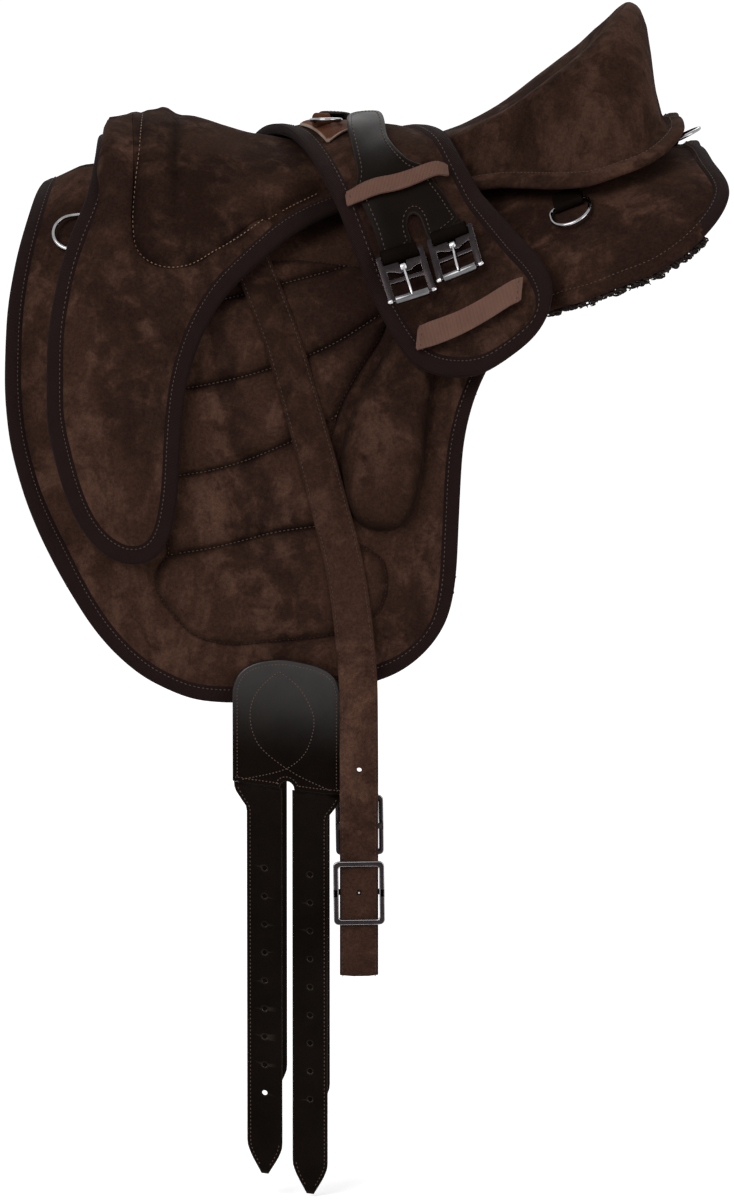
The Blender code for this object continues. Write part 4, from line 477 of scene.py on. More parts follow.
def section(x):
    """The turn of the form away from level, and its half-width and fall, at FORM_S for each x."""
    wider = ease((x - WIDENS_FROM) / WIDENS_OVER)[:, None]
    bend = FRONT_BEND + (REAR_BEND - FRONT_BEND) * wider
    power = FRONT_POWER + (REAR_POWER - FRONT_POWER) * wider
    fall = FRONT_FALL + (REAR_FALL - FRONT_FALL) * wider
    turn = fall * (1 - np.exp(-((FORM_S[None, :] / bend) ** power)))
    turn = turn + (QUARTER - turn) * ease((FORM_S - UPRIGHT_FROM) / UPRIGHT_OVER)[None, :]
    middle = (turn[:, 1:] + turn[:, :-1]) / 2
    step = FORM_REACH / FORM_STEPS
    zero = np.zeros((len(x), 1))
    out = np.concatenate([zero, np.cumsum(np.cos(middle), axis=1)], axis=1) * step
    down = np.concatenate([zero, np.cumsum(np.sin(middle), axis=1)], axis=1) * step
    return turn, out, down


def draped(x, s, lift):
    """Points of the form, with s the length down from the ridge: near side positive, off side negative."""
    x, s, lift = np.broadcast_arrays(*(np.atleast_1d(np.asarray(v, float)) for v in (x, s, lift)))
    turn, out, down = section(x)
    at = np.abs(s) / FORM_REACH * FORM_STEPS
    i = np.clip(at.astype(int), 0, FORM_STEPS - 1)
    rows, part = np.arange(len(x)), at - i
    turn, out, down = (v[rows, i] * (1 - part) + v[rows, i + 1] * part for v in (turn, out, down))
    y = -np.sign(s) * (out + lift * np.sin(turn))
    return np.stack([x, y, ridge(x) - down + lift * np.cos(turn)], axis=1)


def frame_at(x, s, lift, turn=0.0):
    """A local frame on the form: Z outward, Y up towards the ridge, turned about Z."""
    side = 1 if s >= 0 else -1
    here = Vector(draped(x, s, lift)[0])
    along = (Vector(draped(x + MM, s, lift)[0]) - here).normalized() * side
    up = Vector(draped(x, s - side * MM, lift)[0]) - here
    out = along.cross(up).normalized()
    base = Matrix((along, out.cross(along), out)).transposed().to_4x4()
    return Matrix.Translation(here) @ base @ Matrix.Rotation(turn, 4, "Z")


def on_joint(name, at):
    """The same frame, moved to where the joint has its axis."""
    return Matrix.Translation(Vector(JOINTS[name]["pos_m"]) - at.translation) @ at


def sized(shares, along=HALF_LENGTH, down=DRAPE):
    return [(a * along, b * down) for a, b in shares]


def closed_line(points):
    return list(points) + [points[0]]


def paired(x, s):
    return np.stack([x, s], axis=1)


def near_half(path):
    """The path kept on the near side of the ridge."""
    path = np.array(path)
    path[:, 1] = np.maximum(path[:, 1], CLEAR)
    return path


def distance(points, line):
    """How far each flat point is from a line of points."""
    line = np.array(line)
    starts, way = line[:-1], np.diff(line, axis=0)
    square = np.maximum((way**2).sum(1), 1e-12)
    nearest = np.full(len(points), np.inf)
    for start, step, long in zip(starts, way, square):
        off = points - start
        t = np.clip((off @ step) / long, 0, 1)
        nearest = np.minimum(nearest, ((off - t[:, None] * step) ** 2).sum(1))
    return np.sqrt(nearest)


def inward(line, closed):
    """Unit directions to the left of a line of points, as seen walking along it."""
    line = np.array(line)
    way = np.roll(line, -1, axis=0) - np.roll(line, 1, axis=0) if closed else np.gradient(line, axis=0)
    way /= np.linalg.norm(way, axis=1)[:, None]
    return np.stack([-way[:, 1], way[:, 0]], axis=1)


def shifted(line, by, closed=False):
    return [tuple(p) for p in np.array(line) + inward(line, closed) * by]


def rounded(points, every):
    """The outline smoothed and set out again at even steps."""
    points = np.array(points, float)
    length = np.concatenate([[0], np.cumsum(np.linalg.norm(np.diff(points, axis=0), axis=1))])
    along = [curve_through(length, points[:, k]) for k in (0, 1)]
    at = np.linspace(0, length[-1], max(2, round(length[-1] / every)) + 1)
    return [(float(along[0](t)), float(along[1](t))) for t in at]


def fair(points, every, rounds=3):
    """The outline rounded, then eased where its corners still show."""
    line = np.array(rounded(points, every))
    for _ in range(rounds):
        line[1:-1] = (line[:-2] + line[1:-1] * 2 + line[2:]) / 4
    return [tuple(p) for p in line]


def left_handed(outline):
    """The closed outline walked with its inside on the left."""
    line = np.array(outline)
    after = np.roll(line, -1, axis=0)
    area = (line[:, 0] * after[:, 1] - after[:, 0] * line[:, 1]).sum()
    return line if area > 0 else line[::-1].copy()


def fair_loop(corners, every, rounds):
    return left_handed(fair(closed_line(corners), every, rounds)[:-1])


def inside(points, outline):
    found = np.zeros(len(points), bool)
    for a, b in zip(outline, np.roll(outline, -1, axis=0)):
        spans = (a[1] > points[:, 1]) != (b[1] > points[:, 1])
        if a[1] != b[1]:
            found ^= spans & (points[:, 0] < a[0] + (points[:, 1] - a[1]) / (b[1] - a[1]) * (b[0] - a[0]))
    return found


def ripple(points, size, seed):
    """Smooth uneven heights from -1 to 1 over flat points, the same on each run."""
    table = np.random.default_rng(seed).uniform(-1, 1, (97, 97))
    at = np.asarray(points) / size
    low = np.floor(at).astype(int)
    part = ease(at - low)
    i, j, k, m = low[:, 0] % 97, low[:, 1] % 97, (low[:, 0] + 1) % 97, (low[:, 1] + 1) % 97
    near = table[i, j] * (1 - part[:, 0]) + table[k, j] * part[:, 0]
    far = table[i, m] * (1 - part[:, 0]) + table[k, m] * part[:, 0]
    return near * (1 - part[:, 1]) + far * part[:, 1]


def uneven(points, seed):
    """The padding's slow rise and fall, with smaller folds on it, in metres."""
    deep = looks().suede.wrinkle
    return deep * (ripple(points, 0.034, seed) * 0.6 + ripple(points, 0.013, seed + 1) * 0.3)


class Flat:
    """Corners and triangles that fill a flat outline, with the distance of each corner from its edge."""

    def __init__(self, outline, spacing, insets=(), holes=(), seams=(), seam_rows=(0, 0.0015, 0.0035)):
        outline = left_handed(outline)
        holes = [np.array(hole) for hole in holes]
        seams = [np.array(seam) for seam in seams]
        edge = closed_line(outline)
        low, high = outline.min(0), outline.max(0)
        rows = np.arange(low[1], high[1], spacing * 0.866)
        columns = np.arange(low[0], high[0] + spacing, spacing)
        grid = np.array([(x + spacing / 2 * (j % 2), y) for j, y in enumerate(rows) for x in columns])
        grid = grid[inside(grid, outline)]
        grid = grid[distance(grid, edge) > (insets[-1] if insets else 0) + spacing * 0.55]
        for line in seams + [closed_line(hole) for hole in holes]:
            grid = grid[distance(grid, line) > spacing * 0.75 + (seam_rows[-1] if len(seams) else 0)]
        parts = [outline] + holes
        ways = inward(outline, True)
        for inset in insets:
            row = outline + ways * inset
            parts.append(row[(distance(row, edge) > inset * 0.96) & inside(row, outline)])
        for seam in seams:
            line = np.array(rounded(seam, spacing * 0.7))
            for by in sorted({side * row for row in seam_rows for side in (1, -1)}):
                row = np.array(shifted(line, by))
                kept = inside(row, outline)
                kept &= distance(row, edge) > (insets[-1] if insets else 0) + spacing * 0.4
                parts.append(row[kept])
        parts.append(grid)
        edges, start = [], 0
        for loop in parts[: 1 + len(holes)]:
            edges += [(start + i, start + (i + 1) % len(loop)) for i in range(len(loop))]
            start += len(loop)
        points = [Vector(p) for part in parts for p in part]
        found, _, faces, *_ = delaunay_2d_cdt(points, edges, [], 1, 1e-6)
        self.points = np.array(found)
        faces = np.array([tuple(f) for f in faces])
        middles = self.points[faces].mean(axis=1)
        for hole in holes:
            faces = faces[~inside(middles, hole)]
            middles = self.points[faces].mean(axis=1)
        self.faces = faces
        self.edge = distance(self.points, edge)
        for hole in holes:
            self.edge = np.minimum(self.edge, distance(self.points, closed_line(hole)))
        pairs = {}
        for a, b, c in faces:
            for pair in ((a, b), (b, c), (c, a)):
                pairs[pair] = True
        self.rim = [(a, b) for a, b in pairs if (b, a) not in pairs]


def new_piece(name, points, faces, material, uv=None, edge=None, smooth=True, sharp=55, marks=None):
    """A mesh object; uv is one flat place for each corner or for each face corner, in metres."""
    mesh = bpy.data.meshes.new(name)
    mesh.from_pydata([tuple(p) for p in points], [], [tuple(map(int, f)) for f in faces])
    mesh.validate()
    mesh.materials.append(material)
    if uv is not None:
        layer = mesh.uv_layers.new(name="cloth")
        uv = np.asarray(uv, float)
        if len(uv) == len(points):
            index = np.zeros(len(mesh.loops), int)
            mesh.loops.foreach_get("vertex_index", index)
            uv = uv[index]
        layer.data.foreach_set("uv", uv.ravel())
    marks = dict(marks or {}, edge=np.ones(len(points)) if edge is None else edge)
    for key, values in marks.items():
        mesh.attributes.new(key, "FLOAT", "POINT").data.foreach_set("value", np.asarray(values, float))
    if smooth:
        mesh.polygons.foreach_set("use_smooth", [True] * len(mesh.polygons))
        if sharp:
            mesh.set_sharp_from_angle(angle=math.radians(sharp))
    obj = bpy.data.objects.new(name, mesh)
    bpy.context.scene.collection.objects.link(obj)
    return obj


def layer_body(name, flat, low, high, place, material, sharp=55, **marks):
    """A closed body between two heights over a flat fill, put in space by place(x, s, lift).

    Marks are named values for each flat point, which the materials read on the upper side.
    """
    n = len(flat.points)
    x, s = flat.points.T
    points = np.concatenate([place(x, s, np.broadcast_to(level, n)) for level in (high, low)])
    faces = [tuple(f) for f in flat.faces] + [tuple(f + n) for f in flat.faces[:, ::-1]]
    faces += [(b, a, a + n, b + n) for a, b in flat.rim]
    faces = outward(points, faces)
    uv, edge = np.concatenate([flat.points] * 2), np.concatenate([flat.edge] * 2)
    marks = {key: np.concatenate([values, np.zeros(n)]) for key, values in marks.items()}
    return new_piece(name, points, faces, material, uv, edge, sharp=sharp, marks=marks)


def recoloured(obj, material, chosen):
    """Gives the faces whose middle is chosen a second material."""
    obj.data.materials.append(material)
    for face in obj.data.polygons:
        if chosen(face.center):
            face.material_index = len(obj.data.materials) - 1
    return obj


def outward(points, faces):
    """The faces of a closed body, turned if they look inward."""
    volume = 0.0
    for face in faces:
        a, b, c = points[face[0]], points[face[1]], points[face[2]]
        volume += a @ np.cross(b, c)
        if len(face) == 4:
            d = points[face[3]]
            volume += a @ np.cross(c, d)
    return faces if volume > 0 else [tuple(reversed(f)) for f in faces]


def mirrored_copy(obj, name):
    """The same piece for the other side of the saddle."""
    mesh = obj.data.copy()
    mesh.name = name
    mesh.transform(Matrix.Diagonal((1, -1, 1, 1)))
    mesh.flip_normals()
    copy = bpy.data.objects.new(name, mesh)
    bpy.context.scene.collection.objects.link(copy)
    return copy


def attach(obj, body, slot, *nodes):
    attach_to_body(obj, body)
    if nodes:
        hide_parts(*nodes)
    return obj


def both_sides(*rows):
    """Attaches the near pieces and their copies for the off side.

    A row is the near piece, its body and its slot, and then the node that it stands for and its fill,
    where it has them; the slot and the fill are not used. Node and body are named without their side,
    but for the saddle's own body.
    """
    for name, side in SIDES:
        pieces = [row[0] for row in rows]
        if side < 0:
            pieces = [mirrored_copy(piece, piece.name.replace("near", "off")) for piece in pieces]
        for piece, (_, body, slot, *more) in zip(pieces, rows):
            rides = body if body == "saddle" else f"{body}_{name}"
            attach(piece, rides, slot, *(f"{node}_{name}" for node in more[:1]))


def ring_faces(count, around, closed, caps=True):
    """Faces that join rings of corners in order, with a cap at each end of an open tube."""
    faces = []
    for i in range(count if closed else count - 1):
        here, there = i * around, (i + 1) % count * around
        for k in range(around):
            m = (k + 1) % around
            faces.append((here + k, here + m, there + m, there + k))
    if caps and not closed:
        faces += [tuple(reversed(range(around))), tuple((count - 1) * around + k for k in range(around))]
    return faces


def swept(name, path, profile, closed, place, material, sharp=40):
    """A body swept along a flat path; each profile point is (distance inward, height)."""
    path = np.array(path)
    ways = inward(path, closed)
    count, around = len(path), len(profile)
    rows = [place(*(path + ways * a).T, np.full(count, h)) for a, h in profile]
    points = np.stack(rows, axis=1).reshape(-1, 3)
    along = np.concatenate([[0], np.cumsum(np.linalg.norm(np.diff(path, axis=0), axis=1))])
    along = np.append(along, along[-1] + np.linalg.norm(path[0] - path[-1]))
    across = np.array(profile)
    across = np.concatenate([[0], np.cumsum(np.linalg.norm(np.diff(across, axis=0), axis=1))])
    across = np.append(across, across[-1] + MM)
    faces, uv = [], []
    for i in range(count if closed else count - 1):
        here, there = i * around, (i + 1) % count * around
        for k in range(around):
            m = (k + 1) % around
            faces.append((here + k, here + m, there + m, there + k))
            uv += [(along[i], across[k]), (along[i], across[k + 1])]
            uv += [(along[i + 1], across[k + 1]), (along[i + 1], across[k])]
    if not closed:
        faces.append(tuple(range(around)))
        faces.append(tuple((count - 1) * around + k for k in reversed(range(around))))
        uv += [(0, 0)] * (2 * around)
    if outward(points, faces) is not faces:
        corners = np.cumsum([0] + [len(f) for f in faces])
        uv = [p for i, f in enumerate(faces) for p in reversed(uv[corners[i] : corners[i + 1]])]
        faces = [tuple(reversed(f)) for f in faces]
    return new_piece(name, points, faces, material, uv, sharp=sharp)


class Stitches:
    """Rows of thread that are gathered up and then made as one piece."""

    def __init__(self):
        self.starts, self.ends, self.outs = [], [], []

    def row(self, line, place, level, pitch=None, long=None):
        """Adds a row along a flat line, lying at level(points) above the form."""
        pitch, long = pitch or looks().stitches.pitch, long or looks().stitches.long
        line = np.array(line)
        at = np.concatenate([[0], np.cumsum(np.linalg.norm(np.diff(line, axis=0), axis=1))])
        count = max(1, int(at[-1] / pitch))
        middle = (np.arange(count) + 0.5) * at[-1] / count
        spots = []
        for by in (-long / 2, long / 2):
            spots.append(np.stack([np.interp(middle + by, at, line[:, k]) for k in (0, 1)], axis=1))
        lifts = [level(spot) if callable(level) else np.full(count, level) for spot in spots]
        self.starts.append(place(*spots[0].T, lifts[0]))
        self.ends.append(place(*spots[1].T, lifts[1]))
        self.outs.append((place(*spots[0].T, lifts[0] + MM) - self.starts[-1]) / MM)

    def made(self, name, material, thick=None):
        radius = (thick or looks().stitches.thick) / 2
        start, end, out = (np.concatenate(part) for part in (self.starts, self.ends, self.outs))
        way = end - start
        side = np.cross(way, out)
        side /= np.linalg.norm(side, axis=1)[:, None]
        around = 5
        rings = [start - out * radius * 0.5]
        for t in (0.18, 0.5, 0.82):
            swell = radius * (1.0 if t == 0.5 else 0.85)
            for k in range(around):
                a = FULL_TURN * k / around
                rise = out * (swell * math.sin(a) + radius * (0.55 if t == 0.5 else 0.35))
                rings.append(start + way * t + side * swell * math.cos(a) + rise)
        rings.append(end - out * radius * 0.5)
        count, each = len(start), len(rings)
        points = np.stack(rings, axis=1).reshape(-1, 3)
        one = [(0, 1 + (k + 1) % around, 1 + k) for k in range(around)]
        for ring in (1, 1 + around):
            one += [
                (ring + k, ring + (k + 1) % around, ring + around + (k + 1) % around, ring + around + k)
                for k in range(around)
            ]
        last = 1 + 2 * around
        one += [(last + k, last + (k + 1) % around, each - 1) for k in range(around)]
        faces = [tuple(i + each * n for i in face) for n in range(count) for face in one]
        return new_piece(name, points, faces, material, sharp=0)


# Surface heights


def crown(line, edge, top, start, rise):
    """Height that rises from the edge level to the top with distance from a line."""

    def height(points):
        t = np.clip((distance(points, line) - start) / rise, 0, 1)
        return edge + (top - edge) * (1 - (1 - t) ** 2)

    return height


def seat_tables():
    xs = [a * HALF_LENGTH for a in SEAT_X_shares]
    tables = (SEAT_CENTRE_shares, SEAT_RIM_shares, SEAT_RIM_AT_shares)
    return [curve_through(xs, [v * SEAT_SCALE for v in table]) for table in tables]


FINE = 0.0035
JOCKEY_PATH = fair(sized(JOCKEY_FRONT_shares) + sized(JOCKEY_REAR_shares)[1:], FINE, 12)
INSERT_PATH = fair(sized(INSERT_shares), FINE, 6)
PANEL_PATH = fair(sized(PANEL_shares), FINE, 12)


def edge_place(path):
    """How far down the form the seat reaches at each x."""
    points = np.array(path)
    order = np.argsort(points[:, 0])
    return lambda x: np.interp(x, points[order, 0], points[order, 1])


SEAT_REACH = edge_place([p for p in JOCKEY_PATH if p[0] > LOBE_FROM])
REAR_REACH = edge_place([p for p in JOCKEY_PATH if p[0] > EDGE_FROM])
INSERT_REACH = edge_place(sized(INSERT_shares)[2:])


def from_flange(points):
    """The near side's place of each point, and how far it is inside the bound edge."""
    x, s = points[:, 0], np.abs(points[:, 1])
    return x, s, distance(paired(x, s), JOCKEY_PATH) - FLANGE_WIDE


def seat_top(points):
    """The dished seat: its centre, the cantle rim, and the wall down to the stitched edge."""
    x, s, away = from_flange(points)
    centre, rim, rim_at = (table(x) for table in seat_tables())
    flange_at = SEAT_REACH(x) - FLANGE_IN
    insert_at = INSERT_REACH(x)
    rearward = ease((x + BLEND_AT) / BLEND_OVER)
    level = SEAM_LEVEL + (SEAT_FLANGE - SEAM_LEVEL) * rearward
    reach = np.maximum(insert_at + (flange_at - insert_at) * rearward, rim_at + MM)
    inner = ease(s / np.maximum(rim_at, MM))
    wall = 1 - np.clip((s - rim_at) / (reach - rim_at), 0, 1) ** SEAT_WALL
    height = np.where(s < rim_at, centre + (rim - centre) * inner, level + (rim - level) * wall)
    lump = fading(x - LUMP_SEAM, LUMP_WIDE) * (1 - ease((s - LUMP_DOWN / 2) / LUMP_DOWN))
    return SEAT_FLANGE + (height - LUMP_DEEP * lump - SEAT_FLANGE) * ease(away / FLANGE_RISE)


def lobe_top(points):
    _, s, away = from_flange(points)
    pommel = 1 - ease(s / POMMEL_FADE)
    rise = LOBE_RISE + (POMMEL_FACE - LOBE_RISE) * pommel
    full = LOBE_CROWN + (POMMEL_CROWN - LOBE_CROWN) * pommel
    return SEAT_FLANGE + full * (1 - (1 - np.clip(away / rise, 0, 1)) ** 2)


def seat_low(points):
    """The underside: raised over the stirrup bars and flaps, and down on the panel at both ends."""
    x, _, away = from_flange(points)
    ends = ease((x - FOOT_REAR) / FOOT_FADE) + ease((FOOT_FRONT - x) / FOOT_FADE)
    return SEAT_LOW - (SEAT_LOW - FOOT_LOW) * ends * ease(away / FOOT_RISE)


def lobe_low(points):
    x, s, away = from_flange(points)
    foot = ease((LOBE_FOOT_X - x) / FOOT_FADE) * ease((s - LOBE_FOOT_S) / FOOT_FADE)
    return SEAT_LOW - (SEAT_LOW - FOOT_LOW) * foot * ease(away / FOOT_RISE)


def pommel_more(points):
    """How much higher the lumps of the pommel stand near the ridge."""
    fade = 1 - ease((np.abs(points[:, 1]) - POMMEL_NEAR) / POMMEL_WAY)
    return curve_through(*zip(*POMMEL_RISES))(points[:, 0]) * fade


def fading(away, wide):
    return np.exp(-((away / wide) ** 2))


def groove(points, line, wide):
    """How much of a sewn groove's depth there is at each place: 1 on the line, fading off it."""
    return fading(distance(points, line), wide)


# Materials


SOCKETS = {tuple: "NodeSocketColor", float: "NodeSocketFloat"}


def named_group(name, inputs, outputs):
    """A new shader node group, or None and the group when it is there already.

    An input has its default, four numbers for a colour. Of the outputs, only Colour is a colour.
    """
    found = bpy.data.node_groups.get(name)
    if found:
        return None, found
    group = bpy.data.node_groups.new(name, "ShaderNodeTree")
    for label, value in inputs.items():
        socket = group.interface.new_socket(label, in_out="INPUT", socket_type=SOCKETS[type(value)])
        socket.default_value = value
    for label in outputs:
        kind = SOCKETS[tuple if label == "Colour" else float]
        group.interface.new_socket(label, in_out="OUTPUT", socket_type=kind)
    return Nodes(group), group


class Nodes:
    """Short words for adding and joining shader nodes."""

    def __init__(self, tree):
        self.tree = tree

    def add(self, kind, settings=None, **inputs):
        node = self.tree.nodes.new("ShaderNode" + kind if not kind.startswith("NodeGroup") else kind)
        for key, value in (settings or {}).items():
            setattr(node, key, value)
        for key, value in inputs.items():
            self.put(node, key.replace("_", " "), value)
        return node

    def put(self, node, key, value):
        socket = node.inputs[int(key)] if key.isdigit() else node.inputs[key]
        if isinstance(value, bpy.types.NodeSocket):
            self.tree.links.new(value, socket)
        else:
            socket.default_value = value

    def math(self, operation, a, b=0.0, c=0.0, clamp=False):
        node = self.add("Math", {"operation": operation, "use_clamp": clamp})
        for i, value in enumerate((a, b, c)):
            self.put(node, str(i), value)
        return node.outputs[0]

    def times(self, a, b):
        return self.math("MULTIPLY", a, b)

    def times_add(self, a, b, c):
        return self.math("MULTIPLY_ADD", a, b, c)

    def noise(self, vector, scale, detail=3.0, roughness=0.55, distortion=0.0):
        node = self.add("TexNoise", Vector=vector, Scale=scale, Detail=detail)
        self.put(node, "Roughness", roughness)
        self.put(node, "Distortion", distortion)
        return node.outputs["Fac"]

    def place(self):
        return self.add("TexCoord").outputs["Object"]

    def mark(self, name):
        """The value that a piece's corners carry under a name."""
        return self.add("Attribute", {"attribute_name": name}).outputs["Fac"]

    def toned(self, colour, tone):
        """The colour made lighter or darker by the tone."""
        shade = self.add("CombineColor", Red=tone, Green=tone, Blue=tone).outputs[0]
        return self.mix(1.0, colour, shade, "MULTIPLY")

    def seen(self):
        """1 where the camera, a reflection or a transmission looks straight at it."""
        path = self.add("LightPath")
        seen = self.math("MAXIMUM", path.outputs["Is Camera Ray"], path.outputs["Is Glossy Ray"])
        return self.math("MAXIMUM", seen, path.outputs["Is Transmission Ray"])

    def mix(self, share, a, b, blend="MIX"):
        node = self.add("Mix", {"data_type": "RGBA", "blend_type": blend})
        self.put(node, "0", share)
        self.put(node, "6", a)
        self.put(node, "7", b)
        return node.outputs[2]

    def between(self, value, low, high, start=0.0, end=1.0):
        """From start to end, smoothly, as the value goes from low to high."""
        node = self.add("MapRange", {"interpolation_type": "SMOOTHSTEP"}, Value=value)
        for key, one in {"From Min": low, "From Max": high, "To Min": start, "To Max": end}.items():
            self.put(node, key, one)
        return node.outputs[0]


def nap_group():
    """The nap of suede: strokes of light and dark, a fine grain, and painted shade where a piece's crease mark
    is high.
    """
    nodes, group = named_group(
        "Nap",
        {"Flat Colour": (0.03, 0.015, 0.01, 1), "Brushed Colour": (0.06, 0.03, 0.02, 1),
         "Shaded Colour": (0.015, 0.008, 0.006, 1), "Strokes": 16.0},
        ("Colour", "Height", "Roughness"),
    )
    if not nodes:
        return group
    given = nodes.add("NodeGroupInput")
    where = nodes.place()
    stretch = nodes.add("Mapping", Vector=where, Rotation=(0.3, 0.5, 0.6), Scale=(1.0, 1.0, 0.45)).outputs[0]
    strokes = nodes.noise(stretch, given.outputs["Strokes"], 5.0, 0.62, 1.3)
    finer = nodes.times(given.outputs["Strokes"], 4.3)
    small = nodes.noise(where, finer, 4.0, 0.6, 0.6)
    shade = nodes.noise(stretch, nodes.times(given.outputs["Strokes"], 0.55), 4.0, 0.6, 0.8)
    grain = nodes.noise(where, 1500.0, 2.0, 0.7)
    pile = nodes.noise(where, 420.0, 3.0, 0.65, 0.4)
    up = nodes.between(nodes.times_add(small, 0.35, nodes.times(strokes, 0.75)), 0.50, 0.68)
    colour = nodes.mix(up, given.outputs["Flat Colour"], given.outputs["Brushed Colour"])
    down = nodes.between(nodes.times_add(small, 0.3, nodes.times(shade, 0.8)), 0.60, 0.44)
    colour = nodes.mix(nodes.times(down, 0.75), colour, given.outputs["Shaded Colour"])
    fleck = nodes.between(nodes.times_add(grain, 0.5, nodes.times(pile, 0.5)), 0.30, 0.72, 0.62, 1.42)
    # Painted shade and painted shadow: the crease mark darkens the suede along seams, creases and padded edges,
    # and at the strap's top under the lobe.
    fleck = nodes.times(fleck, nodes.times_add(nodes.mark("crease"), -0.72, 1.0))
    made = nodes.add("NodeGroupOutput")
    nodes.put(made, "Colour", nodes.toned(colour, fleck))
    height = nodes.times_add(pile, 0.6, nodes.times(grain, 0.4))
    nodes.put(made, "Height", nodes.times_add(strokes, 0.25, height))
    nodes.put(made, "Roughness", nodes.between(up, 0.0, 1.0, 0.95, 0.80))
    return group


def ribs_group():
    """Woven ribs that run across a tape, from its flat places."""
    nodes, group = named_group(
        "Ribs",
        {"Colour": (0.02, 0.01, 0.01, 1), "Ribs per Metre": 900.0},
        ("Colour", "Height"),
    )
    if not nodes:
        return group
    given = nodes.add("NodeGroupInput")
    flat = nodes.add("UVMap", {"uv_map": "cloth"}).outputs[0]
    parts = nodes.add("SeparateXYZ", Vector=flat)
    where = nodes.place()
    sway = nodes.times(nodes.noise(where, 260.0, 2.0), 0.5)
    pitch = given.outputs["Ribs per Metre"]
    rib = nodes.math("PINGPONG", nodes.times_add(parts.outputs[0], pitch, sway), 0.5)
    rib = nodes.between(nodes.times(rib, 2.0), 0.0, 1.0)
    thread = nodes.math("PINGPONG", nodes.times(parts.outputs[1], pitch), 0.5)
    thread = nodes.times(thread, 2.0)
    worn = nodes.noise(where, 55.0, 4.0, 0.6)
    tone = nodes.times_add(rib, 0.55, nodes.times_add(worn, 0.5, 0.42))
    tone = nodes.times_add(thread, 0.10, tone)
    made = nodes.add("NodeGroupOutput")
    nodes.put(made, "Colour", nodes.toned(given.outputs["Colour"], tone))
    nodes.put(made, "Height", nodes.times_add(thread, 0.2, rib))
    return group


def hide_group():
    """Leather: fine pebbled grain, faint creases, uneven dye, and a coat mask that is an even polish, with
    painted sheen on the billet heads' tops and the chapes' crests.
    """
    nodes, group = named_group(
        "Hide",
        {"Colour": (0.012, 0.01, 0.008, 1), "Edge Colour": (0.03, 0.02, 0.015, 1),
         "Pebbles per Metre": 900.0, "Gloss Roughness": 0.42},
        ("Colour", "Height", "Roughness", "Polish"),
    )
    if not nodes:
        return group
    given = nodes.add("NodeGroupInput")
    where = nodes.place()
    bent = nodes.add("VectorMath", {"operation": "MULTIPLY_ADD"})
    nodes.put(bent, "0", nodes.add("TexNoise", Vector=where, Scale=300.0).outputs["Color"])
    nodes.put(bent, "1", (0.0006, 0.0006, 0.0006))
    nodes.put(bent, "2", where)
    pebble = nodes.add("TexVoronoi", {"feature": "DISTANCE_TO_EDGE"}, Vector=bent.outputs[0])
    nodes.put(pebble, "Scale", given.outputs["Pebbles per Metre"])
    pebble = nodes.between(pebble.outputs["Distance"], 0.0, 0.22)
    crease = nodes.noise(where, 34.0, 6.0, 0.7, 1.0)
    dye = nodes.noise(where, 21.0, 4.0, 0.6)
    worn = nodes.times(nodes.between(nodes.mark("edge"), 0.0012, 0.0), nodes.between(dye, 0.35, 0.6, 0.5, 1.0))
    tone = nodes.between(dye, 0.25, 0.75, 0.72, 1.35)
    tone = nodes.times(tone, nodes.between(pebble, 0.0, 1.0, 0.80, 1.04))
    colour = nodes.toned(given.outputs["Colour"], tone)
    made = nodes.add("NodeGroupOutput")
    nodes.put(made, "Colour", nodes.mix(nodes.times(worn, 0.7), colour, given.outputs["Edge Colour"]))
    nodes.put(made, "Height", nodes.times_add(crease, 1.2, nodes.times(pebble, 0.5)))
    nodes.put(made, "Polish", nodes.times(nodes.mark("polish"), nodes.between(dye, 0.2, 0.6, 0.75, 1.0)))
    rough = nodes.math("ADD", given.outputs["Gloss Roughness"], nodes.between(crease, 0.3, 0.7, -0.05, 0.13))
    nodes.put(made, "Roughness", rough)
    return group


def strand_group():
    """Twisted or curly strands, with patches of their lighter tip colour."""
    nodes, group = named_group(
        "Strands",
        {"Colour": (0.1, 0.07, 0.05, 1), "Tip Colour": (0.2, 0.14, 0.1, 1), "Strands per Metre": 1800.0},
        ("Colour", "Height"),
    )
    if not nodes:
        return group
    given = nodes.add("NodeGroupInput")
    where = nodes.place()
    fine = nodes.noise(where, given.outputs["Strands per Metre"], 3.0, 0.6, 0.8)
    broad = nodes.noise(where, nodes.times(given.outputs["Strands per Metre"], 0.12), 3.0)
    share = nodes.between(nodes.times_add(broad, 0.5, nodes.times(fine, 0.5)), 0.38, 0.66)
    made = nodes.add("NodeGroupOutput")
    nodes.put(made, "Colour", nodes.mix(share, given.outputs["Colour"], given.outputs["Tip Colour"]))
    nodes.put(made, "Height", fine)
    return group


def new_material(name):
    """A material with its shader, or the one that is there already and no shader."""
    found = bpy.data.materials.get(name)
    if found:
        return found, None, None
    material = bpy.data.materials.new(name)
    material.use_nodes = True
    nodes = Nodes(material.node_tree)
    return material, nodes, material.node_tree.nodes["Principled BSDF"]


def wear(nodes, shader, group, strength, deep, roughness=False, **inputs):
    """Places a group in a material and feeds its colour, roughness and height to the shader."""
    node = nodes.add("Group", {"node_tree": group})
    for key, value in inputs.items():
        nodes.put(node, key.replace("_", " "), value)
    nodes.put(shader, "Base Color", node.outputs["Colour"])
    if roughness:
        nodes.put(shader, "Roughness", node.outputs["Roughness"])
    bump = nodes.add("Bump", Strength=strength, Distance=deep, Height=node.outputs["Height"])
    nodes.put(shader, "Normal", bump.outputs[0])
    return node


def solid(colour):
    return (*colour, 1.0)


def set_inputs(shader, specular=0.5, **values):
    """Numbers and colours that are the same all over a surface."""
    shader.inputs["Specular IOR Level"].default_value = specular
    for key, value in values.items():
        shader.inputs[key.replace("_", " ")].default_value = value
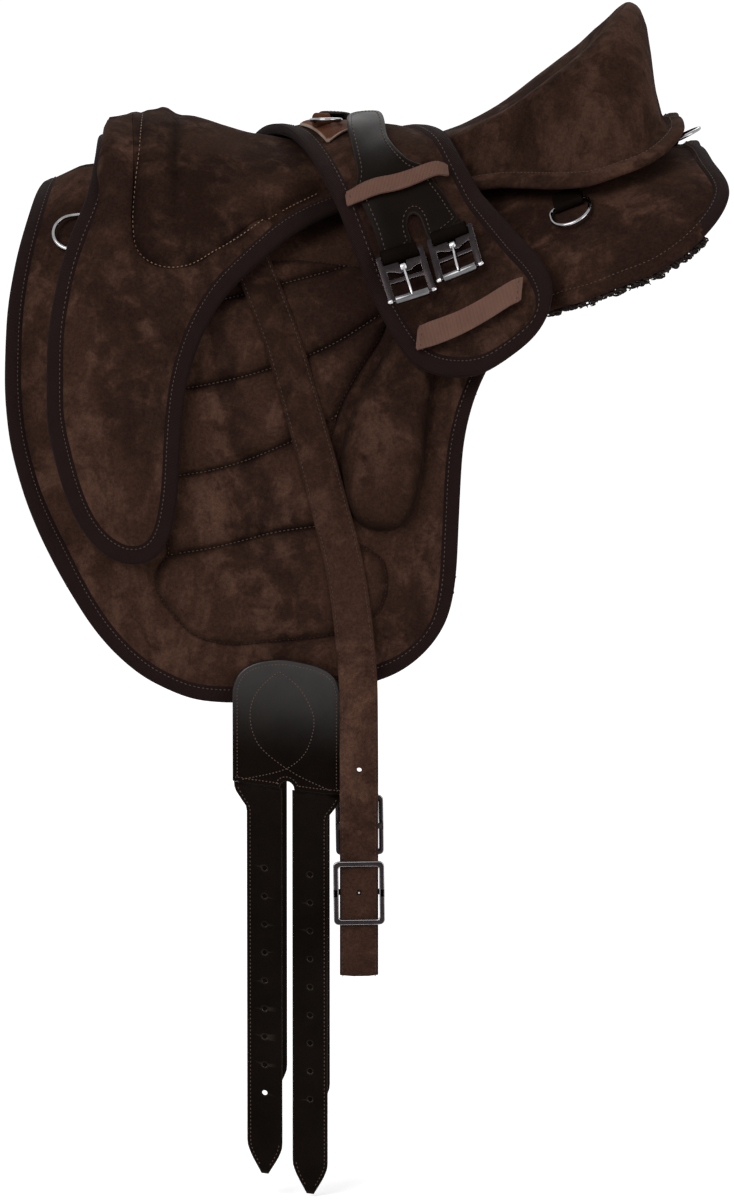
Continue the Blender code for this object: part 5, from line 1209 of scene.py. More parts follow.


# A shade below 1 makes a darker copy of the one suede, which is painted shade over a whole piece. A shade above
# 1 makes a lighter copy, which is painted light.
def suede(name="brushed_suede", shade=1.0):
    material, nodes, shader = new_material(name)
    if shader:
        set_inputs(shader, 0.02, Sheen_Weight=0.03, Sheen_Roughness=0.42, Sheen_Tint=(0.62, 0.42, 0.33, 1))
        look = looks().suede
        flat, brushed, shaded = (
            solid([c * shade for c in colour]) for colour in (look.colour, look.brushed, look.shaded)
        )
        wear(nodes, shader, nap_group(), 0.55, 0.0006, roughness=True, Strokes=1 / look.patch,
             Flat_Colour=flat, Brushed_Colour=brushed, Shaded_Colour=shaded)
    return material


def tape(name, colour, sheen=0.01):
    material, nodes, shader = new_material(name)
    if shader:
        set_inputs(shader, 0.03, Roughness=0.78, Sheen_Weight=sheen, Sheen_Roughness=0.5)
        pitch = looks().binding.rib
        wear(nodes, shader, ribs_group(), 0.8, 0.0004, Colour=solid(colour), Ribs_per_Metre=1 / pitch)
    return material


def binding():
    return tape("binding_tape", looks().binding.colour)


def keeper_tape():
    return tape("keeper_webbing", [c * k for c, k in zip(looks().binding.webbing, (1.02, 1.20, 1.22))], 0.03)


def leather(name="bridle_leather", colour=None, edge=(0.026, 0.019, 0.015), gloss=0.40):
    material, nodes, shader = new_material(name)
    if shader:
        set_inputs(shader, 0.008, Coat_Roughness=0.36, Coat_Tint=(1.0, 0.95, 0.92, 1))
        look = looks().leather
        dye = solid(colour or look.colour)
        hide = wear(nodes, shader, hide_group(), 0.35, 0.0005, roughness=True, Colour=dye,
                    Edge_Colour=solid(edge), Pebbles_per_Metre=1 / look.grain, Gloss_Roughness=gloss)
        # Coat weight from the polish mark. On the billet heads' tops and the chapes' crests it is a painted
        # sheen, standing in for light from above.
        nodes.put(shader, "Coat Weight", hide.outputs["Polish"])
    return material


def thread(name, colour):
    material, nodes, shader = new_material(name)
    if shader:
        set_inputs(shader, 0.2, Roughness=0.7)
        tip = [min(1, c * 1.7) for c in colour]
        wear(nodes, shader, strand_group(), 0.5, 0.0002, Colour=solid(colour), Tip_Colour=solid(tip))
    return material


def dark_thread(name="dark_thread", shade=1.0):
    return thread(name, [c * shade for c in looks().stitches.dark])


def fleece():
    material, nodes, shader = new_material("curly_fleece")
    if shader:
        set_inputs(shader, 0.05, Roughness=0.95, Sheen_Weight=0.05, Sheen_Roughness=0.6)
        look = looks().fleece
        wear(nodes, shader, strand_group(), 0.9, 0.0015, Colour=solid(look.colour), Tip_Colour=solid(look.tip),
             Strands_per_Metre=500.0)
    return material


def metal(name, colour, rough):
    """Plated metal with faint rub marks."""
    material, nodes, shader = new_material(name)
    if shader:
        set_inputs(shader, Metallic=1.0, Base_Color=solid(colour))
        where = nodes.place()
        rub = nodes.add("Mapping", Vector=where, Scale=(3.0, 0.6, 1.2)).outputs[0]
        marks = nodes.noise(rub, 420.0, 4.0, 0.7)
        nodes.put(shader, "Roughness", nodes.between(marks, 0.35, 0.75, rough, rough + 0.14))
        tone = nodes.between(nodes.noise(where, 130.0, 3.0), 0.3, 0.7, 0.82, 1.1)
        nodes.put(shader, "Base Color", nodes.toned(solid(colour), tone))
        bump = nodes.add("Bump", Strength=0.12, Distance=0.0002, Height=marks)
        nodes.put(shader, "Normal", bump.outputs[0])
    return material


def nickel():
    return metal("dark_nickel", looks().metal.nickel, 0.20)


def bright():
    return metal("bright_nickel", looks().metal.bright, 0.13)


# Pieces


def binding_profile(low, high):
    """A tape turned over an edge between two heights, with a soft round back."""
    wide, gap, thick, bow = looks().binding.width, CLEAR / 2, 0.0010, 0.0013
    middle, half = (low + high) / 2, (high - low) / 2 + gap + thick
    line = [(wide, low - gap), (wide * 0.85, low - gap - thick), (wide * 0.5, low - gap - thick)]
    for k in range(9):
        a = -QUARTER + HALF_TURN * k / 8
        line.append((half * (1 - math.cos(a)) * 0.9, middle + half * math.sin(a)))
    line += [(wide * 0.55, high + gap + thick + bow * 0.45), (wide * 0.78, high + gap + thick)]
    line += [(wide * 0.93, high + gap + thick * 0.6), (wide, high + gap)]
    return line + [(thick, high + gap * 0.5), (thick, low - gap * 0.5)]


def bound_edge(piece, sewn, path, low, high, place=draped, closed=False):
    """The ribbed tape round an edge, and the row of stitches that holds it."""
    edge = swept(f"{piece}_tape", path, binding_profile(low, high), closed, place, binding())
    line = shifted(path, looks().binding.width * TAPE_STITCH_AT, closed)
    rows = Stitches()
    rows.row(closed_line(line) if closed else line, place, high + CLEAR / 2 + TAPE_STITCH_UP)
    return edge, rows.made(f"{piece}_{sewn}", dark_thread())


class SADDLE_OT_panels(Operator):
    """The two large suede panels with their bound edges"""

    bl_idname = "saddle.panels"
    bl_label = "Panels"

    def execute(self, context):
        path = near_half(PANEL_PATH[::-1])
        flat = Flat(near_half(shifted(path, TAPE_OVER)), BROAD_FILL, PANEL_INSETS)
        top = crown(path, PANEL_EDGE, PANEL_HIGH, FLANGE_WIDE, PANEL_RISE)
        swell = np.clip((flat.edge - SWELL_FROM) / SWELL_OVER, 0, 1)
        high = top(flat.points) + uneven(flat.points, 3) * swell
        body = layer_body("panel_near_suede", flat, PANEL_LOW, high, draped, suede())
        edge, sewn = bound_edge("panel_near", "stitching", path, PANEL_LOW, PANEL_EDGE)
        recoloured(edge, suede(), lambda c: SKIRT_EDGE[0] < c.x < SKIRT_EDGE[1] and c.z < SKIRT_BELOW)
        both_sides((body, "saddle", "suede", "panel", 0.5), (edge, "saddle", "binding", "panel_binding"),
                   (sewn, "saddle", "suede"))
        return {"FINISHED"}


class SADDLE_OT_fleece(Operator):
    """The curly fleece lining, padded either side of the gullet"""

    bl_idname = "saddle.fleece"
    bl_label = "Fleece lining"

    def execute(self, context):
        edge = near_half(shifted(PANEL_PATH[::-1], FLEECE_IN))
        flat = Flat(edge, PAD_FILL, PANEL_INSETS[:1])
        s = np.abs(flat.points[:, 1])
        bearing = ease((s - GULLET_HALF) / GULLET_ROUND) * (1 - ease((s - BEARING_END) / BEARING_END))
        curl = ripple(flat.points, 0.0062, 11) * 0.0016 + ripple(flat.points, 0.011, 12) * 0.0012
        full = ease(flat.edge / PILE_ROUND)
        low = FLEECE_LOW + PILE_THIN * (1 - full) - BEARING_DEEP * bearing + curl * full
        body = layer_body("fleece_near_pile", flat, low, FLEECE_HIGH, draped, fleece(), sharp=0)
        both_sides((body, "saddle", "fleece", "fleece", 0.4),
                   (edge_curls("fleece_near_curls", edge), "saddle", "fleece"))
        return {"FINISHED"}


def edge_curls(name, edge):
    """Single curls that stand out all along the edge of the lining."""
    random = np.random.default_rng(29)
    count = looks().fleece.curls
    edge = np.array(edge)
    at = random.uniform(0, len(edge) - 1.001, count)
    x, s = edge[:-1].T
    skirt = np.flatnonzero((x > CURL_SKIRT[0]) & (x < CURL_SKIRT[1]) & (s > CURL_SKIRT_DOWN))
    rest = count // 2
    at[rest:] = random.uniform(skirt.min(), skirt.max(), count - rest)
    i = at.astype(int)
    spot = edge[i] + (edge[i + 1] - edge[i]) * (at - i)[:, None]
    out_by = random.uniform(*CURL_OUT, count)
    out_by = np.where(edge[i, 0] > CURL_CORNER, np.abs(out_by), out_by)
    out_by[rest:] = random.uniform(*CURL_SKIRT_OUT, count - rest)
    spot += inward(edge, False)[i] * out_by[:, None]
    spot[:, 1] = np.maximum(spot[:, 1], CURL_NEAR)
    steps, around = 9, 4
    size = random.uniform(*CURL_SIZE, count)
    start, lean = random.uniform(0, FULL_TURN, count), random.uniform(-CURL_LEAN, CURL_LEAN, (count, 2))
    base = draped(*spot.T, random.uniform(*CURL_LIFT, count))
    out = draped(*spot.T, 0.010) - draped(*spot.T, 0)
    out /= np.linalg.norm(out, axis=1)[:, None]
    along = np.cross(out, np.array((0.0, 0.0, 1.0)))
    along /= np.maximum(np.linalg.norm(along, axis=1), 1e-6)[:, None]
    up = np.cross(along, out)
    line = []
    for k in range(steps):
        turn = start + FULL_TURN * CURL_TURNS * k / (steps - 1)
        drop = (k / (steps - 1) - 0.5) * CURL_DROP
        ring = along * (np.cos(turn) * size)[:, None] + out * (np.sin(turn) * size * 0.8)[:, None]
        sway = along * (lean[:, 0] * drop)[:, None] + out * (lean[:, 1] * drop)[:, None]
        line.append(base + ring - up * drop + sway)
    line = np.stack(line, axis=1)
    way = np.gradient(line, axis=1)
    way /= np.linalg.norm(way, axis=2)[:, :, None]
    side = np.cross(way, out[:, None, :])
    side /= np.maximum(np.linalg.norm(side, axis=2), 1e-6)[:, :, None]
    other = np.cross(way, side)
    girth = CURL_THICK * np.sin(np.linspace(0.35, HALF_TURN - 0.35, steps))
    rings = []
    for k in range(around):
        a = FULL_TURN * k / around
        rings.append(line + (side * math.cos(a) + other * math.sin(a)) * girth[None, :, None])
    points = np.stack(rings, axis=2).reshape(-1, 3)
    one = ring_faces(steps, around, False)
    faces = [tuple(i + steps * around * n for i in face) for n in range(count) for face in one]
    return new_piece(name, points, faces, fleece(), sharp=0)


class SADDLE_OT_quilting(Operator):
    """The quilted pads on the panels, and the thigh blocks behind them"""

    bl_idname = "saddle.quilting"
    bl_label = "Quilting and thigh blocks"

    def execute(self, context):
        outline = fair_loop(sized(QUILT_shares), FINE, 4)
        seams = [rounded(sized(seam), FINE) for seam in SEAM_shares]
        flat = Flat(outline, PAD_FILL, QUILT_INSETS, seams=seams)
        near = np.min([distance(flat.points, seam) for seam in seams], axis=0)
        away = np.minimum(flat.edge, near)
        t = np.clip(away / QUILT_RISE, 0, 1)
        high = QUILT_SEAM + (QUILT_HIGH - QUILT_SEAM) * (1 - (1 - t) ** 2.4)
        high = high + uneven(flat.points, 7) * t
        # Painted shade along the quilting's seams and round its edge.
        crease = np.maximum(fading(near, QUILT_CREASE_SHADE[0]), 0.7 * fading(flat.edge, QUILT_CREASE_SHADE[1]))
        quilt = layer_body("quilt_near_suede", flat, QUILT_LOW, high, draped, suede(), crease=crease)
        rows = Stitches()
        rows.row(closed_line(shifted(outline, QUILT_STITCH_IN, True)), draped, QUILT_SEAM + 0.0003)
        for line in map(np.array, seams):
            rows.row(line[inside(line, outline)], draped, QUILT_SEAM + 0.0004)
        sewn = rows.made("quilt_near_stitching", dark_thread())
        outline = fair_loop(sized(BLOCK_shares), FINE, 4)
        flat = Flat(outline, BLOCK_FILL, QUILT_INSETS)
        t = np.clip(flat.edge / BLOCK_RISE, 0, 1)
        high = BLOCK_EDGE + (BLOCK_HIGH - BLOCK_EDGE) * np.sqrt(1 - (1 - t) ** 2.2) + uneven(flat.points, 9) * t
        # Painted shade round the edge of the thigh block, where it meets the panel.
        crease = 0.8 * fading(flat.edge, BLOCK_CREASE_SHADE)
        # A darker copy of the suede: painted shade over the whole thigh block.
        block = layer_body("thigh_block_near_suede", flat, BLOCK_LOW, high, draped, suede("block_suede", 0.86),
                           crease=crease)
        both_sides((quilt, "saddle", "suede", "quilt", 0.6), (block, "saddle", "suede", "thigh_block", 0.9),
                   (sewn, "saddle", "suede"))
        return {"FINISHED"}


class SADDLE_OT_seat(Operator):
    """The padded seat with its pommel, front lobes and cantle"""

    bl_idname = "saddle.seat"
    bl_label = "Seat and lobes"

    def execute(self, context):
        rear = np.array(shifted(JOCKEY_PATH, -COVER_OUT))
        meet = int(np.argmin(np.linalg.norm(np.array(JOCKEY_PATH) - np.array(INSERT_PATH[-1]), axis=1)))
        half = [tuple(p) for p in INSERT_PATH[1:-1]] + [tuple(p) for p in rear[meet:] if p[1] > CLEAR]
        outline = [(INSERT_PATH[0][0], 0.0)] + half + [(rear[-1][0], 0.0)]
        outline += [(x, -s) for x, s in reversed(half)]
        lump = [(LUMP_SEAM, at) for at in np.linspace(-LUMP_REACH, LUMP_REACH, 60)]
        seam = fair(SEAM_LINE, 0.005, 4)
        other = [(x, -s) for x, s in reversed(seam)]
        flat = Flat(outline, BROAD_FILL, COVER_INSETS, seams=[lump, other[:-1] + seam[1:]])
        x, s, _ = from_flange(flat.points)
        here = paired(x, s)
        soft = ease((flat.edge - SOFT_FROM) / SOFT_OVER)
        high = seat_top(flat.points) - SEAM_DEEP * groove(here, seam, SEAM_WIDE)
        high = high + uneven(flat.points, 5) * soft + pommel_more(flat.points)
        # Painted shade in the pommel's lump seam, along the sewn seam, and along the gusset where the seat's
        # centre meets its rim.
        crease = 0.75 * fading(x - LUMP_SEAM, LUMP_CREASE_SHADE) * (1 - ease((s - LUMP_FADE[0]) / LUMP_FADE[1]))
        crease = np.maximum(crease, 0.6 * groove(here, seam, SEAM_CREASE_SHADE))
        gusset = fading(s - seat_tables()[2](x), GUSSET_WIDE) * ease((x - GUSSET_FROM[0]) / GUSSET_FROM[1])
        crease = np.maximum(crease, 0.55 * gusset * (1 - ease((x - GUSSET_TO[0]) / GUSSET_TO[1])))
        # A darker copy of the suede: painted shade over the whole seat.
        seat = layer_body("seat_suede", flat, seat_low(flat.points), high, draped, suede("seat_suede", 0.78),
                          crease=crease)
        attach(seat, "saddle", "suede", "seat")
        self.lobes(meet, np.array(outline))
        return {"FINISHED"}

    def lobes(self, meet, seat_outline):
        """The lobe over each shoulder, from where it meets the seat, and the cover's edge and seam."""
        front = near_half(shifted(JOCKEY_PATH, -COVER_OUT))[: meet - 1]
        behind = near_half(shifted(INSERT_PATH, CLEAR))[-2::-1]
        outline = left_handed(np.concatenate([front, behind]))
        flat = Flat(outline, PAD_FILL, COVER_INSETS)
        lobe_outline = closed_line(outline)

        def pommel_at(points):
            return 1 - ease((np.abs(points[:, 1]) - BULGE_DOWN) / BULGE_FADE)

        def height(points):
            pommel = pommel_at(points)
            away = distance(points, JOCKEY_PATH) - looks().binding.width
            rise = LOBE_RISE + (POMMEL_FACE * BULGE_STEEP - LOBE_RISE) * pommel
            full = LOBE_CROWN + (POMMEL_CROWN + BULGE_UP - LOBE_CROWN) * pommel
            face = np.sqrt(1 - (1 - np.clip(away / rise, 0, 1)) ** 2.2)
            high = lobe_top(points) * (1 - pommel) + (SEAT_FLANGE + full * face) * pommel
            high = high + (seat_top(points) - high) * groove(points, INSERT_PATH, LOBE_MEETS_OVER) * pommel
            sewn = LOBE_SEAM_DEEP * groove(points, INSERT_PATH, LOBE_SEAM_WIDE) * (1 - pommel)
            soft = ease((distance(points, lobe_outline) - LOBE_SOFT[0]) / LOBE_SOFT[1])
            return high - sewn + uneven(points, 15) * soft + pommel_more(points) * face

        def bulged(x, s, lift):
            face = pommel_at(flat.points) * (1 - ease((x - BULGE_FRONT[0]) / BULGE_FRONT[1]))
            out = np.clip((lift - SEAT_FLANGE - BULGE_FROM) / BULGE_OVER, 0, 1)
            return draped(x - BULGE_FORWARD * face * out, s, lift)

        # Painted shade along the seat cover's sewn seam.
        lobe = layer_body("lobe_near_suede", flat, lobe_low(flat.points), height(flat.points), bulged, suede(),
                          crease=0.6 * groove(flat.points, SEAM_LINE, SEAM_CREASE_SHADE))
        path = near_half(JOCKEY_PATH[::-1])
        edge, edging = bound_edge("seat_near", "edge_stitching", path, SEAT_LOW, SEAT_FLANGE)
        # A lighter copy of the suede on the cantle's edge: painted light.
        recoloured(edge, suede("edge_suede", 1.05), lambda c: c.x > CANTLE_EDGE_FROM)

        def seam_level(points):
            """The seat's height at the seam, or the lobe's where the seam runs on it."""
            seat = seat_top(points) - SEAM_DEEP + pommel_more(points)
            soft = ease((distance(points, closed_line(seat_outline)) - SOFT_FROM) / SOFT_OVER)
            seat = seat + uneven(points, 5) * soft
            return np.where(inside(points, seat_outline), seat, height(points)) + 0.0002

        rows = Stitches()
        rows.row(fair(SEAM_LINE, 0.002, 4)[2:], draped, seam_level)
        sewn = rows.made("seat_near_stitching", thread("pale_thread", looks().stitches.pale))
        both_sides((lobe, "saddle", "suede", "lobe", 0.8), (edge, "saddle", "binding", "seat_binding"),
                   (sewn, "saddle", "suede"), (edging, "saddle", "suede"))


def ring_of(x, s, radius, corners=14):
    """The corners of a punched hole."""
    turns = [FULL_TURN * (i + 1 / 2) / corners for i in range(corners)]
    return [(x + radius * math.cos(a), s + radius * math.sin(a)) for a in turns]


def soft_edge(flat, thick, turn=0.0012):
    """How much of a strap's half thickness is left near its edges."""
    t = np.clip(flat.edge / turn, 0, 1)
    return thick / 2 * (0.55 + 0.45 * np.sqrt(1 - (1 - t) ** 2))


class SADDLE_OT_billets(Operator):
    """The billet heads and the four punched billets"""

    bl_idname = "saddle.billets"
    bl_label = "Billets"

    def execute(self, context):
        radius = BILLET_THICK / 2
        axis = HEAD_END + CLEAR + radius
        middle = HEAD_LOW + HEAD_THICK / 2
        corners = sized(HEAD_shares)
        slot = [(SLOT_X + SLOT_HALF * math.cos(a), corners[-1][1] - SLOT_DEEP * math.sin(a))
                for a in np.linspace(0, HALF_TURN, 11)]
        outline = fair_loop(corners + slot, FINE / 2, 0)
        flat = Flat(outline, STRAP_FILL, HEAD_INSETS)
        edge = np.array(shifted(outline, HEAD_STITCH_IN, True))
        sunk = groove(flat.points, closed_line(edge), 0.0012)
        domed = 0.0012 * ease((flat.edge - 0.003) / 0.016) - 0.0005 * sunk
        half = soft_edge(flat, HEAD_THICK)
        # Painted sheen: a coat that is strongest at the top of the head, where light from above falls.
        polish = PAINTED_SHEEN * (1 - ease((flat.points[:, 1] - PAINTED_SHEEN_FROM) / PAINTED_SHEEN_FADE))
        head = layer_body("billet_head_near_leather", flat, middle - half, middle + half + domed, draped,
                          leather(), polish=polish)
        rows = Stitches()
        level = HEAD_LOW + HEAD_THICK + 0.0001
        above = edge[:, 1] < HEAD_END - 0.002
        start = int(np.argmax(~above & np.roll(above, -1))) + 1
        ring = np.roll(edge, -start, axis=0)
        ring = ring[ring[:, 1] < HEAD_END - 0.002]
        rows.row(ring, draped, level - 0.0003, *HEAD_STITCHES)
        for shares in (LOOP_STITCH_shares, CROSS_STITCH_shares):
            line = np.array(fair(sized(shares), 0.002, 6))
            rows.row(line[line[:, 1] < HEAD_END - 0.0015], draped, level + 0.0010, *HEAD_STITCHES)
        sewn = rows.made("billet_head_near_stitching", dark_thread("hide_thread", 1.25))
        both_sides((head, "saddle", "strap_leather", "billet_head"), (sewn, "saddle", "strap_leather"))
        for which, x, length in zip(("front", "rear"), BILLET_X, BILLET_LONG):
            self.billet(which, x, axis, length, middle, radius)
        return {"FINISHED"}

    def billet(self, which, x, axis, length, middle, radius):
        """A flared, pointed strap with a row of holes, rounded at the top to turn on the head."""
        top, tip, half = axis - radius * 0.98, axis + length, BILLET_WIDTH / 2
        flare = -1 if which == "front" else 1
        bevel = tip - BILLET_TIP
        point = [(half, bevel - 0.003), (half - 0.0015, bevel + 0.003), (half / 5, tip - 0.001)]
        outer_edge = [(half + out, top + down) for out, down in BILLET_SHOULDER] + point
        outer_edge = [(x + flare * out, at) for out, at in outer_edge]
        inner_edge = [(x - flare * out, at) for out, at in point[::-1] + [(half, top)]]
        line = rounded(outer_edge, 0.004) + rounded(inner_edge, 0.004)
        first = axis + BILLET_FIRST
        holes = [ring_of(x, first + i * BILLET_PITCH, BILLET_BORE / 2) for i in range(BILLET_HOLES)]
        flat = Flat(line, STRAP_FILL, STRAP_INSETS, holes=holes)
        over = np.clip((axis - flat.points[:, 1]) / radius, 0, 1)
        half_thick = soft_edge(flat, BILLET_THICK) * np.sqrt(np.maximum(1 - over**2, 0.01))
        body = layer_body(f"billet_{which}_near_leather", flat, middle - half_thick, middle + half_thick,
                          draped, leather(), polish=np.full(len(over), BILLET_POLISH))
        rows = Stitches()
        level = middle + BILLET_THICK / 2 - 0.0001
        for part in (outer_edge[1:], inner_edge[:-1]):
            edge = rounded(part, 0.003)
            inset = np.array(shifted(edge, BILLET_STITCH_IN))
            if not inside(inset[len(edge) // 2 :][:1], np.array(line))[0]:
                inset = np.array(shifted(edge, -BILLET_STITCH_IN))
            rows.row(inset[inset[:, 1] < tip - 0.006], draped, level, *BILLET_STITCHES)
        sewn = rows.made(f"billet_{which}_near_stitching", dark_thread())
        ride = f"billet_{which}"
        both_sides((body, ride, "strap_leather", ride), (sewn, ride, "strap_leather"))


STRAP_ROLL, STRAP_MIDDLE = BAR_RADIUS + BAR_GAP + STRAP_THICK / 2, STRAP_LIFT + STRAP_THICK / 2
strap_level = curve_through(
    (BAR_S, BAR_S + STRAP_SETTLES, FORM_REACH), (BAR_LIFT + STRAP_ROLL, STRAP_MIDDLE, STRAP_MIDDLE)
)


def strap_place(x, t, lift):
    """The stirrup leather: rolled round its bar, laid down the flap, and folded up at its lower end."""
    side, t, off = np.sign(t), np.abs(t), lift - STRAP_THICK / 2
    roll, fold = STRAP_ROLL, STRAP_FOLD - STRAP_THICK / 2
    fold_at = STRAP_END - STRAP_FOLD
    over = np.clip((BAR_S - t) / roll, 0, None)
    under = np.clip((t - fold_at) / fold, 0, HALF_TURN)
    back = np.clip(t - fold_at - HALF_TURN * fold, 0, None)
    base = np.clip(t, BAR_S, fold_at)
    level = strap_level(base)
    s = base - (roll + off) * np.sin(over) + (fold + off) * np.sin(under) - back
    n = level - roll * (t < BAR_S) - fold * (t > fold_at)
    n = n + (roll * (t < BAR_S) + off) * np.cos(over) * (t <= fold_at)
    n = n + (fold + off) * np.cos(under) * (t > fold_at)
    return draped(x, side * s, n)


class SADDLE_OT_stirrup_leathers(Operator):
    """The suede stirrup leathers with their bars, buckles and the web that joins the bars"""

    bl_idname = "saddle.stirrup_leathers"
    bl_label = "Stirrup leathers"

    def execute(self, context):
        centre = rounded(sized(STRAP_shares), 0.006)
        fold_long = HALF_TURN * (STRAP_FOLD - STRAP_THICK / 2)
        last = STRAP_END - STRAP_FOLD + fold_long + STRAP_BACK
        centre = [p for p in centre if p[1] < STRAP_FIRST]
        centre = np.array(centre + rounded([(STRAP_X, STRAP_FIRST), (STRAP_X, last)], 0.005))
        ways = inward(centre, False)
        left, right = (centre + ways * side * STRAP_WIDTH / 2 for side in (1, -1))
        outline = left_handed(np.concatenate([right, left[::-1]]))
        spots = [STRAP_FIRST + i * STRAP_PITCH for i in range(STRAP_HOLES)] + [BUCKLE_AT]
        holes = [ring_of(STRAP_X, at, STRAP_BORE / 2) for at in spots]
        flat = Flat(outline, STRAP_FILL, STRAP_INSETS, holes=holes)
        half = soft_edge(flat, STRAP_THICK)
        # Painted shadow: the suede is darker at the strap's upper end, in the lobe's shadow. The lighter copy
        # of the suede below it is painted light.
        shadow = STRAP_SHADOW * (1 - ease((flat.points[:, 1] - STRAP_SHADOW_FROM) / STRAP_SHADOW_OVER))
        strap = layer_body("stirrup_leather_near_suede", flat, STRAP_THICK / 2 - half, STRAP_THICK / 2 + half,
                           strap_place, suede("strap_suede", 1.18), crease=shadow)
        rows = Stitches()
        for side in (1, -1):
            line = centre + ways * side * (STRAP_WIDTH / 2 - STRAP_STITCH_IN)
            rows.row(line, strap_place, STRAP_THICK - 0.0001)
        sewn = rows.made("stirrup_leather_near_stitching", dark_thread("suede_thread", 0.6))
        ride = "stirrup_leather"
        both_sides((strap, ride, "suede", ride), (sewn, ride, "suede"),
                   (stirrup_buckle(), ride, "nickel", "stirrup_buckle"))
        for name, _ in SIDES:
            frame["nodes"][f"stirrup_bar_{name}"].data.materials[0] = nickel()
        attach(bar_webbing(), "saddle", "webbing", "bar_webbing")
        return {"FINISHED"}


def bar_webbing():
    half = BAR_LONG / 2 - 0.0015
    end = BAR_S - WEB_SHORT
    line = rounded([(BAR_X + half, -end), (BAR_X + half, end)], 0.004)
    line += rounded([(BAR_X - half, end), (BAR_X - half, -end)], 0.004)
    flat = Flat(line, TAPE_FILL, (0.0008,))
    return layer_body("bar_webbing_tape", flat, WEB_LOW, WEB_HIGH, draped, keeper_tape())


def rectangle(wide, high, x=0.0, y=0.0, corner=0.0015, per_corner=6):
    points = []
    for k, (sx, sy) in enumerate(((1, 1), (-1, 1), (-1, -1), (1, -1))):
        for i in range(per_corner + 1):
            a = QUARTER * (k + i / per_corner)
            px = x + sx * (wide / 2 - corner) + corner * math.cos(a)
            points.append((px, y + sy * (high / 2 - corner) + corner * math.sin(a)))
    return points


def plate(name, outer, windows, thickness, matrix, material, bevel=0.0005):
    """A flat plate with openings and softened edges, lying in the local XY plane."""
    flat, half = Flat(outer, PLATE_FILL, holes=windows), thickness / 2
    obj = layer_body(name, flat, -half, half, lambda *place: np.stack(place, axis=1), material, sharp=0)
    soften(obj, bevel, matrix, trim=bright())
    return obj


def soften(obj, width, matrix, segments=3, trim=None):
    """Rounds the sharp edges of a hard piece, rubs them bright, and puts it in place."""
    bm = bmesh.new()
    bm.from_mesh(obj.data)
    bmesh.ops.dissolve_limit(bm, angle_limit=math.radians(1), verts=bm.verts, edges=bm.edges)
    sharp = [e for e in bm.edges if e.is_manifold and e.calc_face_angle() > math.radians(28)]
    made = bmesh.ops.bevel(bm, geom=sharp, offset=width, segments=segments, profile=0.5, affect="EDGES",
                           clamp_overlap=True)
    if trim:
        obj.data.materials.append(trim)
        for face in made["faces"]:
            face.material_index = 1 if RUBBED[0] < abs(face.normal.z) < RUBBED[1] else 0
    bm.to_mesh(obj.data)
    bm.free()
    obj.data.transform(matrix)
    obj.data.polygons.foreach_set("use_smooth", [True] * len(obj.data.polygons))
    obj.data.set_sharp_from_angle(angle=math.radians(45))
    return obj


def block(size, middle, matrix, material, name="bar", width=0.0004):
    """A bar with softened edges, as one of the parts that are joined into a fitting."""
    mesh = bpy.data.meshes.new(name)
    bm = bmesh.new()
    bmesh.ops.create_cube(bm, size=1)
    bmesh.ops.transform(bm, verts=bm.verts, matrix=Matrix.Translation(middle) @ Matrix.Diagonal((*size, 1)))
    bm.to_mesh(mesh)
    bm.free()
    mesh.materials.append(material)
    obj = bpy.data.objects.new(name, mesh)
    bpy.context.scene.collection.objects.link(obj)
    return soften(obj, width, matrix)


def wire(name, path, radius, closed, matrix, material, around=14):
    """A round wire along a line of local points; radius is one number or one for each point."""
    path = np.array(path, float)
    radius = np.broadcast_to(radius, len(path))
    way = np.roll(path, -1, axis=0) - np.roll(path, 1, axis=0) if closed else np.gradient(path, axis=0)
    way /= np.linalg.norm(way, axis=1)[:, None]
    lead = np.array((0.0, 0.0, 1.0)) if abs(way[:, 2]).max() < 0.9 else np.array((1.0, 0.0, 0.0))
    side = np.cross(way, lead)
    side /= np.linalg.norm(side, axis=1)[:, None]
    other = np.cross(way, side)
    turns = [FULL_TURN * k / around for k in range(around)]
    rings = [path + (side * math.cos(a) + other * math.sin(a)) * radius[:, None] for a in turns]
    points = np.stack(rings, axis=1).reshape(-1, 3)
    faces = ring_faces(len(path), around, closed)
    obj = new_piece(name, points, outward(points, faces), material, sharp=50)
    obj.data.transform(matrix)
    return obj


def lathe(name, profile, matrix, material, around=28):
    """A turned piece about the local X axis, from (place along, radius) points; a bore closes it."""
    turns = [FULL_TURN * k / around for k in range(around)]
    points = np.array([(x, radius * math.cos(a), radius * math.sin(a)) for x, radius in profile for a in turns])
    faces = ring_faces(len(profile), around, True)
    obj = new_piece(name, points, outward(points, faces), material, sharp=45)
    obj.data.transform(matrix)
    return obj


def tube_profile(length, radius, bore, soft=0.0005):
    """Half the section of a short tube with softened ends."""
    end = [(length / 2 - soft * back, radius - soft * low) for back, low in ((1, 0), (0.3, 0.3), (0, 1))]
    end.append((length / 2, bore))
    return [(-x, y) for x, y in reversed(end)] + end


def joined(name, pieces):
    """Several pieces made one object, which keeps the first one's material slots in order."""
    bpy.ops.object.select_all(action="DESELECT")
    for piece in pieces:
        piece.select_set(True)
    bpy.context.view_layer.objects.active = pieces[0]
    bpy.ops.object.join()
    pieces[0].name = name
    return pieces[0]


